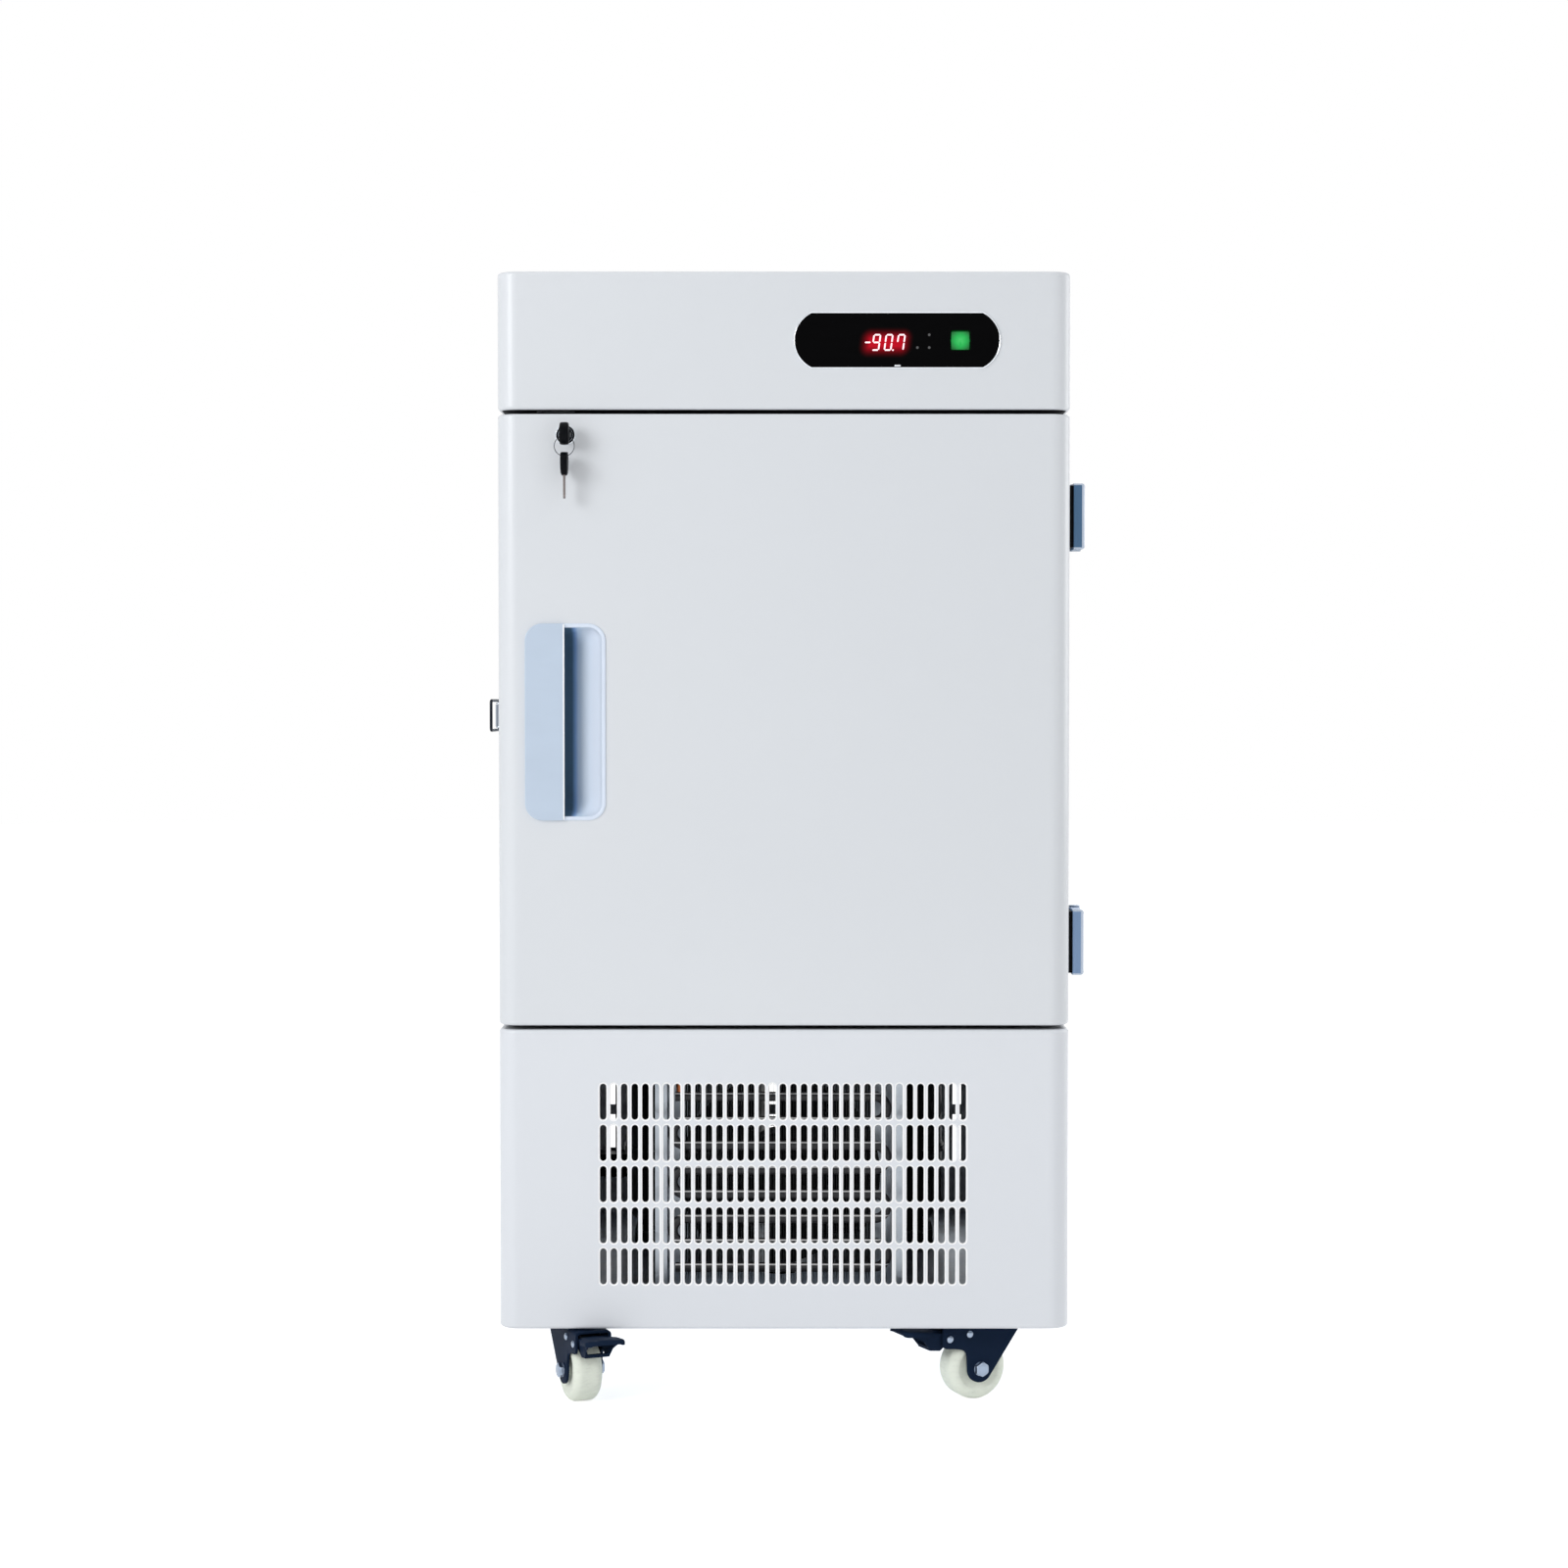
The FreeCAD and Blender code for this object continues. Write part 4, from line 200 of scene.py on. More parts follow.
def round_edge(low, high, rounding, steps=3, lower=True):
    """Profile of a plate's edge: quarter circles at its top and bottom, with a loop beside each."""
    turn = np.linspace(0, math.pi / 2, steps + 1)
    inset = rounding * (np.cos(turn) - 1)
    rise = rounding * np.sin(turn)
    margin = -rounding * 1.4
    top = [(margin, high), *zip(inset[::-1], high - rounding + rise[::-1])]
    bottom = [*zip(inset, low + rounding - rise), (margin, low)] if lower else [(0.0, low)]
    return np.array([*top, *bottom])[::-1]


def slab(outline, low, high, rounding=0.0, steps=3, lower=True):
    """An outline raised into a plate whose edges are rounded."""
    if rounding <= 0:
        return loft(carry(outline, [(0, low), (0, high)]))
    return loft(carry(outline, round_edge(low, high, rounding, steps, lower)))


def sheet_with_holes(outline, holes, height):
    """Triangles that fill a flat outline round its holes, at one height."""
    loops = [outline, *holes]
    starts = np.cumsum([0] + [len(loop) for loop in loops])
    faces = [list(range(start, end)) for start, end in zip(starts, starts[1:])]
    flat, _, triangles, *_ = delaunay_2d_cdt(
        [Vector(point) for point in np.vstack(loops)], [], faces, 2, 1e-4)
    flat = np.array([tuple(point) for point in flat])
    return Shape(np.column_stack([flat, np.full(len(flat), height)]), [triangles])


def pierced(outline, holes, low, high, rounding=0.0):
    """A plate with rounded edges and holes whose rims are rounded the same way."""
    edge = round_edge(low, high, rounding) if rounding > 0 else np.array([(0, low), (0, high)])
    shape = walls(outline, *edge)
    for hole in holes:
        shape += walls(hole, *edge * (-1, 1)).flipped()
    for row in (-1, 0):
        inset = edge[row, 0]
        face = sheet_with_holes(offset(outline, inset), [offset(hole, -inset) for hole in holes],
                                edge[row, 1])
        shape += face if row else face.flipped()
    return shape


def rounded(width, height, radius, steps=6, centre=(0.0, 0.0)):
    """Rectangle with round corners: a quarter circle about each corner's centre, anticlockwise."""
    turn = np.arange(4)[:, None] * math.pi / 2 + np.linspace(0, math.pi / 2, steps + 1)
    middle_x = np.array([1, -1, -1, 1])[:, None] * (width / 2 - radius)
    middle_y = np.array([1, 1, -1, -1])[:, None] * (height / 2 - radius)
    outline = np.stack([middle_x + radius * np.cos(turn), middle_y + radius * np.sin(turn)], -1)
    return outline.reshape(-1, 2) + np.array(centre)


def circle(radius, count=32, centre=(0.0, 0.0)):
    """Points at even angles about a centre."""
    turn = np.linspace(0, 2 * math.pi, count, endpoint=False)
    return np.stack([np.cos(turn), np.sin(turn)], axis=1) * radius + np.array(centre)


def lathe(profile, count=32, centre=(0.0, 0.0), closed=False):
    """A profile of radius and height turned about the axis that stands on a centre."""
    profile = np.asarray(profile, float)
    flat = circle(1.0, count)[None] * profile[:, None, :1] + np.array(centre)
    return grid(lifted(flat, profile[:, 1]), closed, True)


def hexagon_bolt(across, height, washer, count=36):
    """Hexagon head: at each angle the flat's distance, cut back near the top by a cone, on a round
    washer."""
    turn = np.linspace(0, 2 * math.pi, count, endpoint=False)
    flat = across / 2 / np.cos((turn + math.pi / 6) % (math.pi / 3) - math.pi / 6)
    cone = np.array([1, 1, 0.97, 0.915, 0.84]) * across / math.sqrt(3)
    radius = np.minimum(flat[None], cone[:, None])
    levels = np.array([0, 0.78, 0.86, 0.94, 1.0]) * height
    head = loft(lifted(radius[..., None] * circle(1.0, count), levels)).moved(z=washer)
    rim = across * 0.55
    return head + lathe([(0, 0), (rim, 0), (rim, washer * 0.7), (rim - washer * 0.3, washer),
                         (0, washer)])


def directions(path):
    """The way ahead at each point of a path, of length 1."""
    ahead = np.gradient(path, axis=0)
    return ahead / np.linalg.norm(ahead, axis=1, keepdims=True)


def tube(path, radius, normal, sides):
    """A circle carried along a flat path: each ring stands square to the way ahead."""
    ahead = directions(path)
    side = np.cross(ahead, normal)
    side /= np.linalg.norm(side, axis=1, keepdims=True)
    up = np.cross(side, ahead)
    cosine, sine = circle(radius, sides).T[:, None, :, None]
    return loft(path[:, None] + cosine * side[:, None] + sine * up[:, None])


def route(points, radius, steps=8):
    """A path through points with an arc at each corner: it leaves one run and meets the next square
    to the arc's radius."""
    points = np.asarray(points, float)
    path = [points[:1]]
    for before, corner, after in zip(points, points[1:], points[2:]):
        back, ahead = before - corner, after - corner
        back, ahead = back / np.linalg.norm(back), ahead / np.linalg.norm(ahead)
        half = math.acos(max(-1.0, min(1.0, float(back @ ahead)))) / 2
        length = radius / math.tan(half)
        middle = corner + (back + ahead) / np.linalg.norm(back + ahead) * radius / math.sin(half)
        start, end = corner + back * length - middle, corner + ahead * length - middle
        bend = math.pi - 2 * half
        share = np.linspace(0, 1, steps + 1)[:, None] * bend
        arc = np.sin(bend - share) * start + np.sin(share) * end
        path.append(middle + arc / math.sin(bend))
    path.append(points[-1:])
    return np.vstack(path)


def placed(name, data):
    """An object with that data in the scene."""
    item = bpy.data.objects.new(name, data)
    bpy.context.scene.collection.objects.link(item)
    return item


def make(name, shape, body, finishes, stands_for=None):
    """Puts a surface into a mesh, joins corners at one place, points its faces outwards, keeps
    edges over an angle sharp, gives it its finishes and lets it ride on a body."""
    mesh = bpy.data.meshes.new(name)
    counts = np.concatenate([np.full(len(array), array.shape[1]) for array in shape.faces])
    finish_of = np.concatenate([np.full(len(array), number)
                                for array, number in zip(shape.faces, shape.finishes)])
    loops = np.concatenate([array.ravel() for array in shape.faces])
    mesh.vertices.add(len(shape.points))
    mesh.vertices.foreach_set("co", shape.points.ravel() * MM)
    mesh.loops.add(len(loops))
    mesh.loops.foreach_set("vertex_index", loops)
    mesh.polygons.add(len(counts))
    mesh.polygons.foreach_set("loop_start", np.cumsum(counts) - counts)
    mesh.polygons.foreach_set("loop_total", counts)
    mesh.polygons.foreach_set("material_index", finish_of)
    mesh.update(calc_edges=True)
    work = bmesh.new()
    work.from_mesh(mesh)
    bmesh.ops.remove_doubles(work, verts=work.verts, dist=2e-6)
    bmesh.ops.dissolve_degenerate(work, edges=work.edges, dist=1e-7)
    bmesh.ops.recalc_face_normals(work, faces=work.faces)
    work.to_mesh(mesh)
    work.free()
    mesh.shade_smooth()
    mesh.set_sharp_from_angle(angle=SHARP_EDGE)
    finishes = (finishes,) if isinstance(finishes, str) else finishes
    for finish in finishes:
        mesh.materials.append(material(finish))
    piece = placed(name, mesh)
    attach(piece, body)
    if stands_for:
        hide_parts(stands_for)
    return piece


def thicken(piece, thickness, edge=0.0):
    """Gives a surface the thickness of its sheet, half to each side, and rounds its edges."""
    solid = piece.modifiers.new("Sheet", "SOLIDIFY")
    solid.thickness, solid.offset = thickness * MM, 0.0
    if edge:
        bevel = piece.modifiers.new("Edges", "BEVEL")
        bevel.width, bevel.segments, bevel.limit_method = edge * MM, 2, "ANGLE"


class Value:
    """A number in a material's nodes. An expression on values adds their Math nodes."""

    def __init__(self, paint, socket):
        self.paint = paint
        self.socket = socket

    def math(self, operation, first, second=0.0):
        """A Math node of an operation on two numbers or values."""
        node = self.paint.node("ShaderNodeMath", {"operation": operation}, {0: first, 1: second})
        return Value(self.paint, node.outputs[0])

    def __add__(self, other):
        return self.math("ADD", self, other)

    def __radd__(self, other):
        return self.math("ADD", other, self)

    def __sub__(self, other):
        return self.math("SUBTRACT", self, other)

    def __rsub__(self, other):
        return self.math("SUBTRACT", other, self)

    def __mul__(self, other):
        return self.math("MULTIPLY", self, other)

    def __rmul__(self, other):
        return self.math("MULTIPLY", other, self)

    def __truediv__(self, other):
        return self.math("DIVIDE", self, other)

    def __pow__(self, other):
        return self.math("POWER", self, other)

    def above(self, limit):
        """1 where the value is over a limit, otherwise 0."""
        return self.math("GREATER_THAN", self, limit)

    def size(self):
        """The value without its sign."""
        return self.math("ABSOLUTE", self)

    def wave(self, per_metre):
        """A sine of the value, from -1 to 1, with so many waves to a metre."""
        return self.math("SINE", self * (per_metre * 2 * math.pi))


class Paint:
    """A material in the making, or the world's shader."""

    def __init__(self, name, kind="materials"):
        self.block = getattr(bpy.data, kind).new(name)
        self.block.use_nodes = True
        self.tree = self.block.node_tree
        self.tree.nodes.clear()
        self.place = self.node("ShaderNodeTexCoord").outputs["Object"]

    def node(self, kind, settings=None, sockets=None):
        """Any node from its type, its settings, which are set first, and its sockets' values."""
        node = self.tree.nodes.new(kind)
        for key, value in (settings or {}).items():
            if key == "stops":
                ramp = node.color_ramp.elements
                while len(ramp) < len(value):
                    ramp.new(0.5)
                for element, (position, colour) in zip(ramp, value):
                    element.position, element.color = position, colour
            else:
                setattr(node, key, value)
        for key, value in (sockets or {}).items():
            socket = node.inputs[key]
            if isinstance(value, Value):
                value = value.socket
            if isinstance(value, bpy.types.NodeSocket):
                self.tree.links.new(value, socket)
            else:
                socket.default_value = value
        return node

    def mapped(self, at=(0, 0, 0), turn=(0, 0, 0), scale=(1, 1, 1)):
        """The piece's coordinates moved, turned and stretched about a place."""
        moved = self.node("ShaderNodeVectorMath", {"operation": "SUBTRACT"}, {0: self.place, 1: at})
        return self.node("ShaderNodeMapping", None, {
            "Vector": moved.outputs[0], "Rotation": turn, "Scale": scale}).outputs[0]

    def parts(self, place):
        """The three numbers of a place."""
        node = self.node("ShaderNodeSeparateXYZ", None, {0: place})
        return [Value(self, output) for output in node.outputs]

    def noise(self, scale, detail=2.0, place=None):
        """Cloudy noise between 0 and 1."""
        node = self.node("ShaderNodeTexNoise", None, {
            "Vector": place or self.place, "Scale": scale, "Detail": detail})
        return Value(self, node.outputs[0])

    def cells(self, scale):
        """Distance to the nearest of scattered points, and the cell's own colour."""
        node = self.node("ShaderNodeTexVoronoi", None, {"Vector": self.place, "Scale": scale})
        return Value(self, node.outputs["Distance"]), node.outputs["Color"]

    def ramp(self, value, *stops):
        """A value read through colour stops."""
        stops = [(position, (*colour[:3], 1.0)) for position, colour in stops]
        return self.node("ShaderNodeValToRGB", {"stops": stops}, {0: value}).outputs[0]

    def blend(self, share, first, second):
        """Two colours mixed by a share."""
        first, second = ((*tint[:3], 1.0) if isinstance(tint, tuple) else tint
                         for tint in (first, second))
        node = self.node("ShaderNodeMix", {"data_type": "RGBA"}, {0: share, 6: first, 7: second})
        return node.outputs[2]

    def bump(self, height, strength, distance):
        """Small relief from a height."""
        return self.node("ShaderNodeBump", None, {
            "Height": height, "Strength": strength, "Distance": distance}).outputs[0]

    def seen(self):
        """1 for rays that show a place directly, in a reflection or through glass, otherwise 0."""
        path = self.node("ShaderNodeLightPath")
        camera, glossy, through = (Value(self, path.outputs[f"Is {kind} Ray"])
                                   for kind in ("Camera", "Glossy", "Transmission"))
        return (camera + glossy + through).above(0.0)

    def done(self, **sockets):
        """The surface, with the sockets that are given."""
        shader = self.node("ShaderNodeBsdfPrincipled", None,
                           {name.replace("_", " "): value for name, value in sockets.items()})
        self.node("ShaderNodeOutputMaterial", None, {"Surface": shader.outputs[0]})
        return self.block


def tone(colour, factor):
    """A colour made lighter or darker."""
    return tuple(min(1.0, part * factor) for part in colour[:3])


def lacquer(paint, colour, rough=0.36, cloud=0.012, peel=0.02, coat=0.12, specular=0.4):
    """Baked enamel on sheet metal: faint clouds of colour, orange peel and uneven gloss."""
    patch = paint.noise(5.0, 3.0)
    fine = paint.noise(240.0, 2.0)
    base = paint.blend(patch, tone(colour, 1 - cloud), tone(colour, 1 + cloud))
    speck = paint.noise(1900.0, 1.0)
    base = paint.blend(speck * 0.06, base, tone(colour, 0.95))
    relief = paint.bump(fine * 0.8 + speck * 0.2, peel, 0.0004)
    gloss = rough + (paint.noise(38.0, 3.0) - 0.5) * 0.10
    return paint.done(Base_Color=base, Roughness=gloss, Normal=relief, Coat_Weight=coat,
                      Coat_Roughness=0.12, Specular_IOR_Level=specular)


def moulded(paint, colour, rough=0.42, grain=520.0, depth=0.06, cloud=0.04, specular=0.4):
    """Moulded plastic: fine spark grain and slight flow marks."""
    flow = paint.noise(18.0, 2.0, paint.mapped(scale=(1, 1, 3)))
    fine = paint.noise(grain, 3.0)
    base = paint.blend(flow, tone(colour, 1 - cloud), tone(colour, 1 + cloud))
    gloss = rough + (paint.noise(60.0) - 0.5) * 0.12 + (fine - 0.5) * 0.08
    return paint.done(Base_Color=base, Roughness=gloss, Normal=paint.bump(fine, depth, 0.0003),
                      Specular_IOR_Level=specular)


def painted_shade_plastic(paint, low, high, along, *stops):
    """Moulded plastic with painted shade: its tone changes along one direction, from a low to a
    high place.
    """
    part = paint.parts(paint.place)["xyz".index(along)]
    share = (part - low) / (high - low) + (paint.noise(40.0, 2.0) - 0.5) * 0.03
    base = paint.ramp(share, *stops)
    fine = paint.noise(520.0, 3.0)
    return paint.done(Base_Color=base, Roughness=0.4 + (fine - 0.5) * 0.12,
                      Normal=paint.bump(fine, 0.05, 0.0003), Specular_IOR_Level=0.4)


def plated(paint, colour, rough=0.18, scratch=0.04, cloud=0.08):
    """Bright plated metal: fine random scratches and a little haze."""
    haze = paint.noise(45.0, 3.0)
    line = paint.noise(900.0, 2.0, paint.mapped(turn=(0.3, 0.5, 0.2), scale=(1, 0.08, 1)))
    base = paint.blend(haze, tone(colour, 1 - cloud), tone(colour, 1 + cloud))
    gloss = rough + (haze - 0.5) * 0.12 + (line - 0.5) * 0.10
    return paint.done(Base_Color=base, Metallic=1.0, Roughness=gloss,
                      Normal=paint.bump(line, scratch, 0.0002))


def brushed(paint, colour, rough=0.32):
    """Brushed sheet: noise drawn out along one direction."""
    line = paint.noise(700.0, 3.0, paint.mapped(scale=(0.02, 1, 1)))
    broad = paint.noise(9.0, 2.0)
    base = paint.blend(line * 0.6 + broad * 0.4, tone(colour, 0.88), tone(colour, 1.1))
    return paint.done(Base_Color=base, Metallic=1.0, Roughness=rough + (line - 0.5) * 0.16,
                      Normal=paint.bump(line, 0.05, 0.0002))


def spangled(paint, colour, rough=0.38):
    """Galvanised sheet: crystals of zinc, each of its own tone and gloss, with dull veins."""
    warp = paint.noise(60.0, 2.0)
    near, own = paint.cells(95.0)
    own = Value(paint, paint.node("ShaderNodeRGBToBW", None, {0: own}).outputs[0])
    base = paint.blend(own * 0.7 + warp * 0.3, tone(colour, 0.8), tone(colour, 1.15))
    return paint.done(Base_Color=base, Metallic=0.9, Roughness=rough + (own - 0.5) * 0.22,
                      Normal=paint.bump(near, 0.03, 0.0006))


def rubber(paint, colour, rough=0.68):
    """Rubber: dull, with dust in its low places."""
    fine = paint.noise(700.0, 3.0)
    dust = paint.noise(30.0, 4.0)
    base = paint.blend(dust ** 2.0 * 0.5, colour, tone(colour, 1.9))
    return paint.done(Base_Color=base, Roughness=rough + (dust - 0.5) * 0.15,
                      Normal=paint.bump(fine, 0.12, 0.0003), Specular_IOR_Level=0.3)


def foam(paint, colour):
    """Cast foam: small closed cells."""
    near, _ = paint.cells(650.0)
    base = paint.blend(paint.noise(25.0, 3.0), tone(colour, 0.9), tone(colour, 1.06))
    return paint.done(Base_Color=base, Roughness=0.85 + near * 0.1,
                      Normal=paint.bump(near, 0.4, 0.0006))


def smoked_window(paint, colour, glow, at, half, reach):
    """Dark glossy window: nearly black, with faint wiping marks in its gloss. Round the digits a
    glow falls off with a power of the distance from their row."""
    across, _, up = paint.parts(paint.mapped(at=at))
    beside = (across - up * 0.14).size() - half[0]
    over = up.size() - half[1]
    beside, over = beside * beside.above(0.0), over * over.above(0.0)
    near = 1.0 - ((beside * beside + over * over) ** 0.5) / reach
    near = near * near.above(0.0)
    halo = paint.blend(near ** 2.6, (0.0, 0.0, 0.0), glow)
    wipe = paint.noise(26.0, 4.0, paint.mapped(turn=(0, 0.35, 0), scale=(1, 1, 5)))
    base = paint.blend(wipe, tone(colour, 0.75), tone(colour, 1.3))
    return paint.done(Base_Color=base, Roughness=0.05 + wipe * 0.07, Specular_IOR_Level=0.022,
                      Emission_Color=halo, Emission_Strength=1.0)


def glowing(paint, colour, strength, dark, middle, reach):
    """Lit window: brightest in its middle, falling off towards its edge, over a dark moulding."""
    across, _, up = paint.parts(paint.mapped(at=middle))
    away = (across * across + up * up) ** 0.5 / reach
    cloud = paint.noise(260.0, 2.0)
    share = 1.0 - away * 0.62 + (cloud - 0.5) * 0.12
    glow = paint.ramp(share, (0.25, tone(colour, 0.25)), (0.62, colour),
                      (1.0, tuple(min(1.0, part * 1.25 + 0.06) for part in colour[:3])))
    return paint.done(Base_Color=dark, Emission_Color=glow, Emission_Strength=strength,
                      Roughness=0.25 + cloud * 0.1, Specular_IOR_Level=0.2)


def circuit(paint, colour):
    """Printed circuit: square tracks in a lighter green under solder mask."""
    node = paint.node("ShaderNodeTexBrick", {"offset": 0.37}, {
        "Vector": paint.mapped(turn=(math.pi / 2, 0, 0)), "Scale": 60.0, "Mortar Size": 0.03,
        "Color1": (*tone(colour, 0.8), 1), "Color2": (*tone(colour, 1.05), 1),
        "Mortar": (*tone(colour, 1.7), 1)})
    fleck = paint.noise(900.0)
    base = paint.blend(fleck * 0.2, node.outputs[0], tone(colour, 0.6))
    return paint.done(Base_Color=base, Roughness=0.4 + fleck * 0.1,
                      Normal=paint.bump(Value(paint, node.outputs[1]), 0.2, 0.0003))


def nylon(paint, colour):
    """Cast nylon wheel: milky, with scuffs and grey dust round its tread."""
    flow = paint.noise(30.0, 3.0)
    scuff = paint.noise(130.0, 4.0, paint.mapped(scale=(1, 1, 2.5)))
    base = paint.blend(flow, tone(colour, 0.95), tone(colour, 1.04))
    base = paint.blend((scuff ** 4.0) * 0.9, base, tone(colour, 0.55))
    fine = paint.noise(600.0, 2.0)
    return paint.done(Base_Color=base, Roughness=0.42 + scuff * 0.2,
                      Normal=paint.bump(fine * 0.6 + scuff * 0.4, 0.08, 0.0004),
                      Specular_IOR_Level=0.35)


def aged_copper(paint, colour):
    """Drawn copper tube: warm stains over fine draw lines."""
    stain = paint.noise(22.0, 4.0)
    line = paint.noise(800.0, 2.0)
    base = paint.blend(stain, tone(colour, 0.7), tone(colour, 1.15))
    return paint.done(Base_Color=base, Metallic=1.0, Roughness=0.24 + stain * 0.2,
                      Normal=paint.bump(line, 0.04, 0.0002))


def tube_with_painted_highlight(paint, runs=8, radius=4.75):
    """Dark tube with a painted highlight: a thin bright line along the upper side of each run,
    where a sine of the height, one wave to a run, is at its crest."""
    low, high = corners("condenser_tube")
    pitch = (high[2] - low[2] - radius * 2) / (runs - 1)
    up = paint.parts(paint.place)[2]
    # Painted highlight: the line is bright where the crest of the wave is.
    crest = (up - (low[2] + radius + 3.2 - pitch / 4) * MM).wave(1 / (pitch * MM))
    stain = paint.noise(60.0, 3.0)
    line = (crest - 0.978 + (stain - 0.5) * 0.008) * 70.0
    line = line * line.above(0.0)
    base = paint.blend(line - (line - 1.0) * line.above(1.0), (0.03, 0.03, 0.034), (1.0, 1.0, 1.0))
    return paint.done(Base_Color=base, Metallic=0.1, Roughness=0.3 + stain * 0.1)


def rgb(name, label, red, green, blue):
    """A colour property with its default given as screen values from 0 to 255."""
    value = [part / 255 for part in (red, green, blue)]
    linear = [part / 12.92 if part < 0.04045 else ((part + 0.055) / 1.055) ** 2.4 for part in value]
    return FloatVectorProperty(name=name, description=label, default=linear, subtype="COLOR",
                               size=3, min=0.0, max=1.0)


class FREEZER_PG_colours(bpy.types.PropertyGroup):
    """Colours of the freezer's finishes."""

    panel: rgb("Panels", "Enamel of the door, head, base and sides", 218, 222, 227)
    # Painted light: the base panel's enamel is a lighter copy of the panel enamel, for its brighter
    # look low down.
    base: rgb("Base panel", "Enamel of the base panel", 221, 225, 231)
    # Painted highlight: a lighter enamel on the punched rims and the grip plate's edge strip.
    lip: rgb("Punched rims", "Enamel where it thins over the punched rims", 252, 253, 255)
    grip: rgb("Grip plate", "Plastic of the grip plate", 190, 205, 223)
    cup: rgb("Handle cup", "Plastic of the handle cup", 219, 230, 246)
    hinge: rgb("Hinges", "Paint of the hinges", 130, 159, 198)
    shim: rgb("Hinge shims", "Paint of the hinge shims", 10, 11, 14)
    fork: rgb("Caster forks", "Paint of the caster forks", 24, 37, 58)
    wheel: rgb("Wheels", "Nylon of the wheels", 242, 248, 235)
    window: rgb("Display window", "Smoked window of the display", 5, 5, 6)
    digits: rgb("Digits", "Glow of the digits", 255, 60, 70)
    lamp: rgb("Power lamp", "Glow of the power rocker", 16, 193, 82)
    chrome: rgb("Chrome", "Bright plating", 226, 230, 235)
    zinc: rgb("Zinc", "Zinc plated fasteners", 146, 159, 177)
    black: rgb("Black plastic", "Key heads and small mouldings", 8, 10, 14)
    seal: rgb("Gasket", "Door seal", 150, 156, 162)
    liner: rgb("Liners", "White moulded plastic inside", 226, 230, 233)
    foam: rgb("Foam", "Cast insulation", 216, 196, 138)
    copper: rgb("Copper", "Refrigerant tube", 196, 116, 76)


class FREEZER_PG_sizes(bpy.types.PropertyGroup):
    """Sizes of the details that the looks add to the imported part."""

    corner: FloatProperty(name="Front corner", description="Radius of the panels' upright corners",
                          default=0.020, unit="LENGTH")
    edge: FloatProperty(name="Panel edge", description="Radius along the panels' upper and lower "
                        "edges", default=0.003, unit="LENGTH")
    sheet: FloatProperty(name="Sheet", description="Thickness of the sheet metal",
                         default=0.0012, unit="LENGTH")
    rim: FloatProperty(name="Punched rim", description="Radius of the rim round each punched slot",
                       default=0.0012, unit="LENGTH")
    digit: FloatProperty(name="Digit height", description="Height of the display's digits",
                         default=0.0148, unit="LENGTH")
    slant: FloatProperty(name="Digit slant", description="Lean of the digits to the right",
                         default=0.14)
    reading: StringProperty(name="Reading", description="Temperature on the display",
                            default="-90.7")
    fins: IntProperty(name="Fins", description="Count of the condenser's fins", default=76, min=10)


def sizes():
    """The sizes as they are set in the scene."""
    return bpy.context.scene.freezer_sizes


def colour(name):
    """One of the scene's colours."""
    return tuple(getattr(bpy.context.scene.freezer_colours, name))


def rocker_middle():
    """Middle of the rocker's face, in metres."""
    low, high = corners("power_rocker")
    return tuple((low + high) / 2 * MM)


def digits_middle():
    """Middle of the row of digits, in metres."""
    low, high = corners("display_bezel")
    return tuple(((low + high) / 2 + (-11.0, 0.0, -2.4)) * MM)


